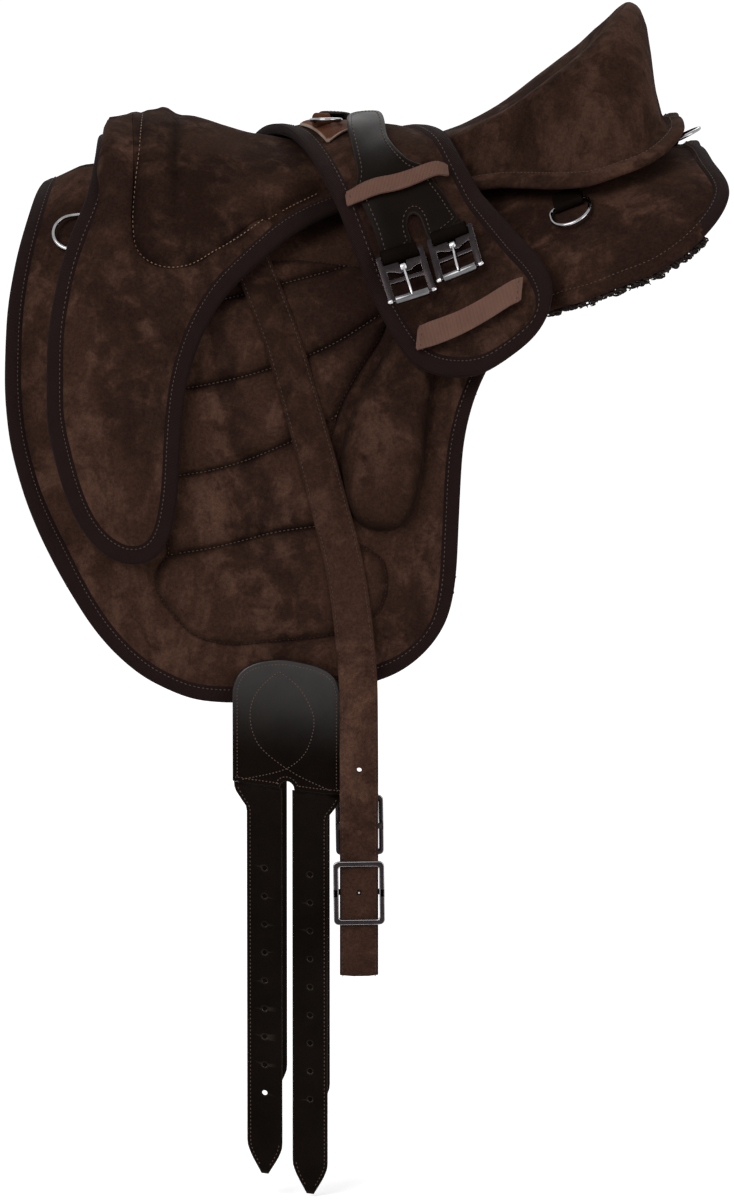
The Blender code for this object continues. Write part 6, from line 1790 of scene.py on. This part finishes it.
def stirrup_buckle():
    """A frame over the leather with its cross-bar and stud behind it."""
    front = STRAP_LIFT + STRAP_THICK + CLEAR * 2 + BUCKLE_THICK / 2
    at = frame_at(STRAP_X, BUCKLE_AT, front)
    inner = rectangle(BUCKLE_WIDE - 2 * BUCKLE_WALL, BUCKLE_HIGH - 2 * BUCKLE_WALL, corner=0.0022)
    outer = rectangle(BUCKLE_WIDE, BUCKLE_HIGH, corner=0.0042)
    frame_piece = plate("stirrup_buckle_frame", outer, [inner], BUCKLE_THICK, at, nickel(), 0.0011)
    bar = STRAP_LIFT - CLEAR * 2 - BUCKLE_THICK / 2 - front
    lug_high = -bar + BUCKLE_THICK / 2
    lug_wide = BUCKLE_WALL - CLEAR * 3
    place = BUCKLE_WIDE / 2 - lug_wide / 2 - CLEAR
    size = (BUCKLE_WIDE - lug_wide, BUCKLE_THICK * 1.4, BUCKLE_THICK * 0.8)
    pieces = [frame_piece, block(size, (0, 0, bar), at, nickel())]
    for x in (-place, place):
        size = (lug_wide, BUCKLE_THICK * 2, lug_high)
        pieces.append(block(size, (x, 0, bar + lug_high / 2), at, nickel()))
    top = STRAP_LIFT + STRAP_THICK - front + 0.0012
    line = [(0, 0, z) for z in np.linspace(bar, top, 8)]
    radius = [STRAP_BORE / 2 - CLEAR] * 5 + [0.0017, 0.0013, 0.0006]
    pieces.append(wire("stud", line, radius, False, at, bright()))
    return joined("stirrup_buckle_near_metal", pieces)


def dee_path(wide, deep, count=40):
    """A straight bar and a round bow below it, as a closed line in the local XY plane."""
    half = wide / 2
    corner = half / 4
    bow = [(half * math.cos(a), -(deep - half) - half * math.sin(a)) for a in np.linspace(0, HALF_TURN, 9)]
    line = [(-half + corner, 0), (0, 0), (half - corner, 0), (half, -corner)] + bow + [(-half, -corner)]
    line = fair(closed_line(line), (wide * 2 + deep * 2) / count / 1.2, 3)[:-1]
    return [(x, y, 0) for x, y in line]


def dee(name, matrix, wide=DEE_WIDE, deep=DEE_DEEP):
    nickel_ring = metal("ring_nickel", looks().metal.ring, 0.10)
    return wire(name, dee_path(wide, deep, 80), DEE_SEEN, True, matrix, nickel_ring, 16)


def leather_tab(name, matrix, wide=LOOP_WIDE):
    """A short leather tab folded round a dee's bar."""
    inner, outer = DEE_WIRE + CLEAR, DEE_WIRE + CLEAR + LOOP_THICK
    turns = [HALF_TURN * i / 16 for i in range(17)]
    line = [(LOOP_LONG, outer)] + [(-outer * math.sin(a), outer * math.cos(a)) for a in turns]
    line += [(LOOP_LONG, -outer), (LOOP_LONG, -inner)]
    line += [(-inner * math.sin(a), inner * math.cos(a)) for a in reversed(turns)] + [(LOOP_LONG, inner)]
    columns = np.linspace(-wide / 2, wide / 2, 9)
    count = len(line)
    points = np.array([(x, y, z) for x in columns for y, z in line])
    faces = ring_faces(len(columns), count, False, caps=False)
    for start in (0, (len(columns) - 1) * count):
        for i in range(count // 2 - 1):
            a, b = start + i, start + count - 1 - i
            face = (a, a + 1, b - 1, b)
            faces.append(face if start else tuple(reversed(face)))
    obj = new_piece(name, points, outward(points, faces), leather(), edge=np.full(len(points), 1.0), sharp=50)
    obj.data.transform(matrix)
    return obj


class SADDLE_OT_dees(Operator):
    """The dees on the panel, with their leather tabs"""

    bl_idname = "saddle.dees"
    bl_label = "Dees"

    def execute(self, context):
        lift = PANEL_HIGH + LOOP_LIFT + LOOP_THICK + CLEAR + DEE_WIRE
        for name, side in SIDES:
            at = frame_at(FRONT_DEE_X, side * FRONT_DEE_S, lift, -side * QUARTER)
            self.one(f"front_dee_{name}", f"front_dee_loop_{name}", on_joint(f"front_dee_lift_{name}", at))
            at = frame_at(REAR_DEE_X, side * REAR_DEE_S, lift, side * REAR_DEE_TURN)
            self.one(f"rear_dee_{name}", f"rear_dee_loop_{name}", on_joint(f"rear_dee_lift_{name}", at))
        at = on_joint("crupper_dee_lift", frame_at(CRUPPER_X, 0, lift, QUARTER))
        tab = leather_tab("crupper_tab", at)
        attach(tab, "saddle", "strap_leather", "crupper_loop")
        ring = dee("crupper_ring", at @ Matrix.Rotation(CRUPPER_LEAN, 4, "X"), deep=CRUPPER_DEEP)
        attach(ring, "crupper_dee", "nickel", "crupper_dee")
        return {"FINISHED"}

    def one(self, ring_node, tab_node, at):
        attach(dee(ring_node + "_ring", at), ring_node, "nickel", ring_node)
        attach(leather_tab(tab_node + "_tab", at), "saddle", "strap_leather", tab_node)


def girth_point(u, v):
    """From across and along the girth to along and down the form."""
    x = v * math.sin(GIRTH_TURN) + u * math.cos(GIRTH_TURN)
    return x, v * math.cos(GIRTH_TURN) - u * math.sin(GIRTH_TURN)


def girth_lie():
    """How high the girth lies over the form at each place along it: just over all that it covers."""
    along = np.linspace(-GIRTH_SCALE, GIRTH_SCALE, 53)
    across = np.linspace(-GIRTH_HALF, GIRTH_HALF, 9)
    under = []
    for v in along:
        x, s = girth_point(across, np.full(len(across), v))
        under.append(top_of_layers(paired(x, s)).max())
    under = np.array(under)
    near = [under[max(0, i - 2) : i + 3].max() for i in range(len(under))]
    even = [np.mean(near[max(0, i - 2) : i + 3]) for i in range(len(near))]
    return curve_through(along, even)


def top_of_layers(points):
    """The highest layer under each point of the form."""
    x, s = points[:, 0], np.abs(points[:, 1])
    flat = paired(x, s)
    in_seat = s < REAR_REACH(x)
    in_lobe = (s < SEAT_REACH(x)) & (x < 0)
    tops = np.full(len(x), BLOCK_HIGH)
    tops = np.where(in_lobe, np.maximum(tops, lobe_top(flat)), tops)
    return np.where(in_seat & ((x > 0) | (s < INSERT_REACH(x))), np.maximum(tops, seat_top(flat)), tops)


GIRTH_LIE = girth_lie()
GIRTH_PATH = []


def girth_outline(shares, flip):
    return [girth_point(flip * a * GIRTH_SCALE, flip * b * GIRTH_SCALE) for a, b in shares]


def girth_path():
    if not GIRTH_PATH:
        line = girth_outline(GIRTH_END_shares, 1)[:-1] + girth_outline(GIRTH_END_shares, -1)[:-1]
        GIRTH_PATH.extend(fair(closed_line(line), FINE, 8)[:-1])
    return GIRTH_PATH


def along_girth(x, s):
    return x * math.sin(GIRTH_TURN) + s * math.cos(GIRTH_TURN)


def girth_low(points):
    return GIRTH_LIE(along_girth(*points.T)) + GIRTH_LOW


def girth_high(points):
    t = np.clip((distance(points, closed_line(girth_path())) - FLANGE_WIDE) / GIRTH_RISE, 0, 1)
    return girth_low(points) + GIRTH_EDGE + (GIRTH_CROWN - GIRTH_EDGE) * (1 - (1 - t) ** 2)


def lowered(points):
    return points - np.array((0, 0, GIRTH_DOWN))


def on_girth(x, s, lift):
    return lowered(draped(x, s, girth_low(paired(x, s)) + lift))


class SADDLE_OT_girth(Operator):
    """The padded girth with its bound edge, keepers and chapes"""

    bl_idname = "saddle.girth"
    bl_label = "Girth"

    def execute(self, context):
        path = left_handed(girth_path())
        flat = Flat(shifted(path, TAPE_OVER, True), PAD_FILL, PANEL_INSETS)
        soft = ease((flat.edge - GIRTH_SOFT) / GIRTH_SOFT)
        high = girth_high(flat.points) + uneven(flat.points, 21) * soft * 0.8
        # A darker copy of the suede: painted shade over the whole girth pad.
        pad = layer_body("girth_suede", flat, girth_low(flat.points), high, lambda *at: lowered(draped(*at)),
                         suede("girth_suede", 0.80))
        attach(pad, "girth", "suede", "girth_pad")
        edge, sewn = bound_edge("girth", "stitching", path, 0, GIRTH_EDGE, on_girth, True)
        attach(edge, "girth", "binding", "girth_binding")
        attach(sewn, "girth", "suede")
        for name, flip in SIDES:
            shift = self.fittings_shift(name, flip)
            self.chape(name, flip, shift)
            for which, ends in zip(("upper", "lower"), KEEPER_shares):
                self.keeper(which, name, flip, ends, shift)
        self.centre()
        return {"FINISHED"}

    def fittings_shift(self, name, flip):
        """How far the chape and its buckles sit from where the plain form puts them."""
        x, s = sized(GIRTH_BUCKLE_shares)[0]
        at = buckle_frame(x, s, flip, "front")
        return np.array(JOINTS[f"girth_buckle_swing_front_{name}"]["pos_m"]) - np.array(at.translation)

    def chape(self, name, flip, shift):
        def place(x, s, lift):
            over = 1 - ease((np.abs(along_girth(x, s)) - CENTRE_STRAP_HALF) / CENTRE_STRAP_HALF)
            raised = CHAPE_LIFT + (CENTRE_STRAP_THICK + CHAPE_LIFT) * over
            return draped(x, s, girth_high(paired(x, s)) + lift + raised) + shift

        outline = fair_loop(girth_outline(CHAPE_shares, flip), FINE / 2, 3)
        flat = Flat(outline, 0.005, (0.0006, 0.0016))
        half = soft_edge(flat, CHAPE_THICK)
        middle = CHAPE_THICK / 2
        # An even polish of 0.05, with painted sheen added on the chape's crest, where light from above falls.
        crest = 1 - ease((np.abs(along_girth(*flat.points.T)) - CREST_FROM) / CREST_FADE)
        body = layer_body(f"girth_chape_{name}_leather", flat, middle - half, middle + half, place, leather(),
                          polish=0.05 + 0.22 * crest)
        rows = Stitches()
        rows.row(closed_line(shifted(outline, CHAPE_STITCH_IN, True)), place, CHAPE_THICK, *CHAPE_STITCHES)
        sewn = rows.made(f"girth_chape_{name}_stitching", dark_thread())
        rolls = []
        for which, (x, s) in zip(("front", "rear"), sized(GIRTH_BUCKLE_shares)):
            at = on_joint(f"girth_buckle_swing_{which}_{name}", buckle_frame(x, s, flip, which))
            rolls.append(lathe("roll", tube_profile(ROLL_LONG, ROLL_RADIUS, ROLL_BORE, 0.0012), at, leather()))
        body = joined(body.name, [body] + rolls)
        attach(body, "girth", "strap_leather", f"girth_chape_{name}")
        attach(sewn, "girth", "strap_leather")

    def keeper(self, which, name, flip, ends, shift):
        line = np.array(sized(ends)) * flip
        long = np.linalg.norm(line[1] - line[0])
        way = (line[1] - line[0]) / long
        side = np.array((-way[1], way[0]))

        def place(u, v, lift):
            spot = line[0] + np.outer(u, way) + np.outer(v, side)
            run = u / long
            arch = ease(run * 8) * ease((1 - run) * 8)
            raised = lift + KEEPER_LOW + (KEEPER_HIGH - KEEPER_LOW) * arch
            return draped(*spot.T, girth_high(spot) + raised) + shift

        wide = KEEPER_WIDE[which]
        outline = rectangle(long, wide, long / 2, 0, 0.0006, 2)
        edge = left_handed(rounded(closed_line(outline), 0.003)[:-1])
        node = f"girth_keeper_{which}_{name}"
        flat = Flat(edge, TAPE_FILL, (0.0007,))
        body = layer_body(node + "_tape", flat, 0, KEEPER_THICK, place, keeper_tape())
        attach(body, "girth", "webbing", node)
        rows = Stitches()
        for u in (0.0035, long - 0.0035):
            across = [(u, v) for v in np.linspace(-wide / 2 + 0.001, wide / 2 - 0.001, 12)]
            rows.row(across, place, KEEPER_THICK)
        attach(rows.made(node + "_stitching", dark_thread()), "girth", "webbing")

    def centre(self):
        half, wide = CENTRE_STRAP_HALF, CENTRE_STRAP_WIDTH
        x, s = girth_point(CENTRE_DEE_AT, CENTRE_DEE_DOWN)
        lift = float(girth_high(np.array([[x, s]]))[0]) + CENTRE_DEE_LIFT
        plain = frame_at(x, s, lift, GIRTH_TURN)
        at = on_joint("girth_centre_dee_lift", plain)
        shift = np.array(at.translation) - np.array(plain.translation)

        def place(u, v, lift):
            spot = np.stack(girth_point(u, v), axis=1)
            return draped(*spot.T, girth_high(spot) + lift) + shift

        outline = rectangle(wide, half * 2, CENTRE_STRAP_AT, 0, 0.002, 4)
        flat = Flat(left_handed(rounded(closed_line(outline), 0.003)[:-1]), 0.004, (0.0006, 0.0014))
        thick = soft_edge(flat, CENTRE_STRAP_THICK, 0.0007)
        middle = CHAPE_LIFT + CENTRE_STRAP_THICK / 2
        russet = leather("aged_russet", looks().leather.russet, looks().leather.raw, 0.5)
        body = layer_body("girth_centre_strap_leather", flat, middle - thick, middle + thick, place, russet)
        roll = lathe("roll", tube_profile(CENTRE_ROLL_LONG, ROLL_RADIUS, DEE_WIRE + CLEAR, 0.001), at, russet)
        body = joined(body.name, [body, roll])
        attach(body, "girth", "russet_leather", "girth_centre_strap")
        hung = at @ Matrix.Rotation(CENTRE_DEE_LEAN, 4, "X")
        ring = dee("girth_centre_ring", hung, CENTRE_DEE_WIDE, CENTRE_DEE_DEEP)
        attach(ring, "girth_centre_dee", "nickel", "girth_centre_dee")


def buckle_frame(x, s, flip, which):
    turn = math.radians(FRAME_TURNS_deg[f"{which}_{'near' if flip > 0 else 'off'}"])
    spread = GIRTH_SPREAD * (flip < 0) * (1 if which == "rear" else -1)
    x, s = flip * (x + spread), flip * s
    lift = float(girth_high(np.array([[x, s]]))[0]) + FRAME_LIFT
    return frame_at(x, s, lift, turn)


class SADDLE_OT_girth_buckles(Operator):
    """The four roller buckles with their tongues"""

    bl_idname = "saddle.girth_buckles"
    bl_label = "Girth buckles"

    def execute(self, context):
        for name, flip in SIDES:
            for which, (x, s) in zip(("front", "rear"), sized(GIRTH_BUCKLE_shares)):
                at = on_joint(f"girth_buckle_swing_{which}_{name}", buckle_frame(x, s, flip, which))
                self.buckle(f"{which}_{name}", at)
        return {"FINISHED"}

    def buckle(self, name, at):
        """A stamped frame with three windows, a roller on its foot and a wire tongue."""
        inside_wide = FRAME_WIDE - 2 * FRAME_SIDE
        levels = [share * FRAME_LONG for share in WINDOW_shares]
        windows = []
        for number, (top, bottom) in enumerate(zip(levels[::2], levels[1::2])):
            wide = inside_wide if number == 0 else inside_wide - 2 * WINDOW_IN
            window = rectangle(wide, top - bottom, y=(top + bottom) / 2, corner=FRAME_BAR / 4, per_corner=3)
            if number == 0:
                slot = bottom
                bottom = top - ROLL_WINDOW
                window = [(wide / 2, top), (-wide / 2, top), (-wide / 2, bottom), (-SLEEVE_SLOT, bottom),
                          (-SLEEVE_SLOT, slot), (SLEEVE_SLOT, slot), (SLEEVE_SLOT, bottom), (wide / 2, bottom)]
            windows.append(scalloped(wide, top, bottom) if number == 1 else window)
        outer = rectangle(FRAME_WIDE, FRAME_LONG, y=(FRAME_BAR - FRAME_LONG) / 2, corner=FRAME_SIDE / 2)
        body = plate(f"girth_buckle_{name}_metal", outer, windows, FRAME_THICK, at, nickel(), 0.0004)
        foot = -FRAME_LONG + FRAME_BAR
        pieces = [body]
        for x in (-1, 1):
            pin = [(x * (FRAME_WIDE / 2 + d), foot, 0) for d in (-0.0030, -0.0010, 0.0002, 0.0010)]
            pieces.append(wire("pin", pin, [0.0017, 0.0017, 0.0014, 0.0007], False, at, bright(), 12))
        attach(joined(body.name, pieces), f"girth_buckle_{name}", "nickel", f"girth_buckle_{name}")
        length = inside_wide - 2 * WINDOW_IN - 2 * CLEAR
        roller_at = at @ Matrix.Translation((0, foot, 0))
        profile = tube_profile(length, ROLLER_RADIUS, ROLLER_BORE)
        finish = metal("roller_nickel", [c * 0.45 for c in looks().metal.ring], 0.12)
        roller = lathe(f"girth_roller_{name}_metal", profile, roller_at, finish)
        attach(roller, f"girth_roller_{name}", "nickel", f"girth_roller_{name}")
        pivot = (levels[1] + levels[2]) / 2
        tongue_at = at @ Matrix.Translation((0, pivot, 0))
        profile = tube_profile(TONGUE_SLEEVE_WIDE, TONGUE_SLEEVE, ROLLER_BORE, 0.0007)
        sleeve = lathe("sleeve", profile, tongue_at, bright())
        start = np.array((0, -TONGUE_SLEEVE * 0.74, TONGUE_SLEEVE * 0.55))
        end = np.array((0, foot - pivot - ROLLER_RADIUS / 2, ROLLER_RADIUS + TONGUE_WIRE + CLEAR * 3))
        t = np.linspace(0, 1, 16)[:, None]
        line = start + (end - start) * t + np.array((0, 0, 0.0012)) * np.sin(t * HALF_TURN)
        radius = np.full(16, TONGUE_WIRE)
        radius[-3:] = TONGUE_WIRE * np.array((0.95, 0.8, 0.45))
        shank = wire("shank", line, radius, False, tongue_at, bright(), 12)
        tongue = joined(f"girth_tongue_{name}_metal", [sleeve, shank])
        attach(tongue, f"girth_tongue_{name}", "nickel", f"girth_tongue_{name}")


def scalloped(wide, top, bottom):
    """A window with a curved brace shape along its upper edge."""
    half = wide / 2
    line = [(half, bottom + 0.0004), (half, top - 0.0004)]
    for t in np.linspace(1, -1, 25):
        dip = 0.0030 * math.exp(-((t / 0.46) ** 4)) - 0.0007 * math.cos(t * HALF_TURN * 2.0)
        line.append((t * half * 0.96, top - 0.0009 - dip))
    line += [(-half, top - 0.0004), (-half, bottom + 0.0004)]
    return line


class SADDLE_OT_stage(Operator):
    """A pale floor, soft light and the camera"""

    bl_idname = "saddle.stage"
    bl_label = "Stage"

    def execute(self, context):
        scene = context.scene
        look = looks().stage
        scene.view_settings.view_transform = "Standard"
        self.world(scene, look)
        self.floor()
        for name, place, share, size in LAMPS:
            self.lamp(name, place, look.key * share, size)
        camera = bpy.data.objects.new("camera", bpy.data.cameras.new("camera"))
        scene.collection.objects.link(camera)
        scene.camera = camera
        camera.data.lens, camera.data.sensor_width = look.lens, 36.0
        back = Vector((0, -math.cos(look.elevation), math.sin(look.elevation)))
        camera.location = Vector(CAMERA_AIM) + back * look.distance
        camera.rotation_mode = "QUATERNION"
        camera.rotation_quaternion = (-back).to_track_quat("-Z", "Y")
        camera.data.clip_start, camera.data.clip_end = 0.05, 200.0
        return {"FINISHED"}

    def world(self, scene, look):
        """Even light from all round, seen as plain white by the camera and in reflections."""
        world = bpy.data.worlds.new("studio")
        scene.world = world
        world.use_nodes = True
        nodes = Nodes(world.node_tree)
        strength = nodes.add("MapRange", Value=nodes.seen())
        nodes.put(strength, "To Min", look.daylight)
        nodes.put(strength, "To Max", 1.0)
        background = world.node_tree.nodes["Background"]
        background.inputs["Color"].default_value = (1, 1, 1, 1)
        nodes.put(background, "Strength", strength.outputs[0])

    def floor(self):
        """A pale floor that shines white to the camera, and still takes the saddle's shadow."""
        bm = bmesh.new()
        bmesh.ops.create_circle(bm, cap_ends=True, radius=FLOOR_RADIUS, segments=64)
        mesh = bpy.data.meshes.new("floor")
        bm.to_mesh(mesh)
        bm.free()
        floor = bpy.data.objects.new("floor", mesh)
        floor.location.z = CAD_BOX[0].z - FLOOR_GAP
        bpy.context.scene.collection.objects.link(floor)
        material, nodes, shader = new_material("pale_floor")
        set_inputs(shader, 0.0, Roughness=0.9, Base_Color=(0.82, 0.82, 0.82, 1))
        glow = nodes.add("Emission", Color=(1, 1, 1, 1))
        away = nodes.add("VectorMath", {"operation": "LENGTH"})
        nodes.put(away, "0", nodes.place())
        level = nodes.between(away.outputs["Value"], *FLOOR_GLOW)
        nodes.put(glow, "Strength", nodes.times(nodes.seen(), level))
        both = nodes.add("AddShader")
        nodes.put(both, "0", shader.outputs[0])
        nodes.put(both, "1", glow.outputs[0])
        nodes.put(material.node_tree.nodes["Material Output"], "Surface", both.outputs[0])
        mesh.materials.append(material)
        floor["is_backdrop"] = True

    def lamp(self, name, place, power, size):
        lamp = bpy.data.lights.new(name, "AREA")
        lamp.energy, lamp.size = power, size
        obj = bpy.data.objects.new(name, lamp)
        obj.location = place
        obj.rotation_mode = "QUATERNION"
        way = Vector(LAMP_AIM) - Vector(place)
        obj.rotation_quaternion = way.to_track_quat("-Z", "Y")
        bpy.context.scene.collection.objects.link(obj)


class SaddleLooks(PropertyGroup):
    suede: PointerProperty(type=SuedeFinish)
    binding: PointerProperty(type=BindingFinish)
    leather: PointerProperty(type=LeatherFinish)
    stitches: PointerProperty(type=StitchFinish)
    fleece: PointerProperty(type=FleeceFinish)
    metal: PointerProperty(type=MetalFinish)
    stage: PointerProperty(type=StageSettings)


STEPS = (
    SADDLE_OT_panels,
    SADDLE_OT_fleece,
    SADDLE_OT_quilting,
    SADDLE_OT_seat,
    SADDLE_OT_billets,
    SADDLE_OT_stirrup_leathers,
    SADDLE_OT_dees,
    SADDLE_OT_girth,
    SADDLE_OT_girth_buckles,
    SADDLE_OT_stage,
)


class SADDLE_PT_sidebar(Panel):
    """Lists the finishes and the steps of the saddle"""

    bl_idname = "SADDLE_PT_sidebar"
    bl_label = "Treeless saddle"
    bl_space_type = "VIEW_3D"
    bl_region_type = "UI"
    bl_category = "Saddle"

    def draw(self, context):
        look = context.scene.treeless_saddle
        for part in SaddleLooks.__annotations__:
            box = self.layout.box()
            group = getattr(look, part)
            for key in group.__annotations__:
                box.prop(group, key)
        for step in STEPS:
            self.layout.operator(step.bl_idname)


CLASSES = (
    SuedeFinish, BindingFinish, LeatherFinish, StitchFinish, FleeceFinish, MetalFinish, StageSettings,
    SaddleLooks, *STEPS, SADDLE_PT_sidebar,
)


def register():
    for cls in CLASSES:
        bpy.utils.register_class(cls)
    bpy.types.Scene.treeless_saddle = PointerProperty(type=SaddleLooks)


def unregister():
    del bpy.types.Scene.treeless_saddle
    for cls in reversed(CLASSES):
        bpy.utils.unregister_class(cls)


def main():
    register()
    for step in STEPS:
        getattr(bpy.ops.saddle, step.bl_idname.split(".")[1])()
    boxes = {"cad": CAD_BOX, "visual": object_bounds()}
    {key: [list(corner) for corner in box] for key, box in boxes.items()}


if __name__ == "__main__":
    main()
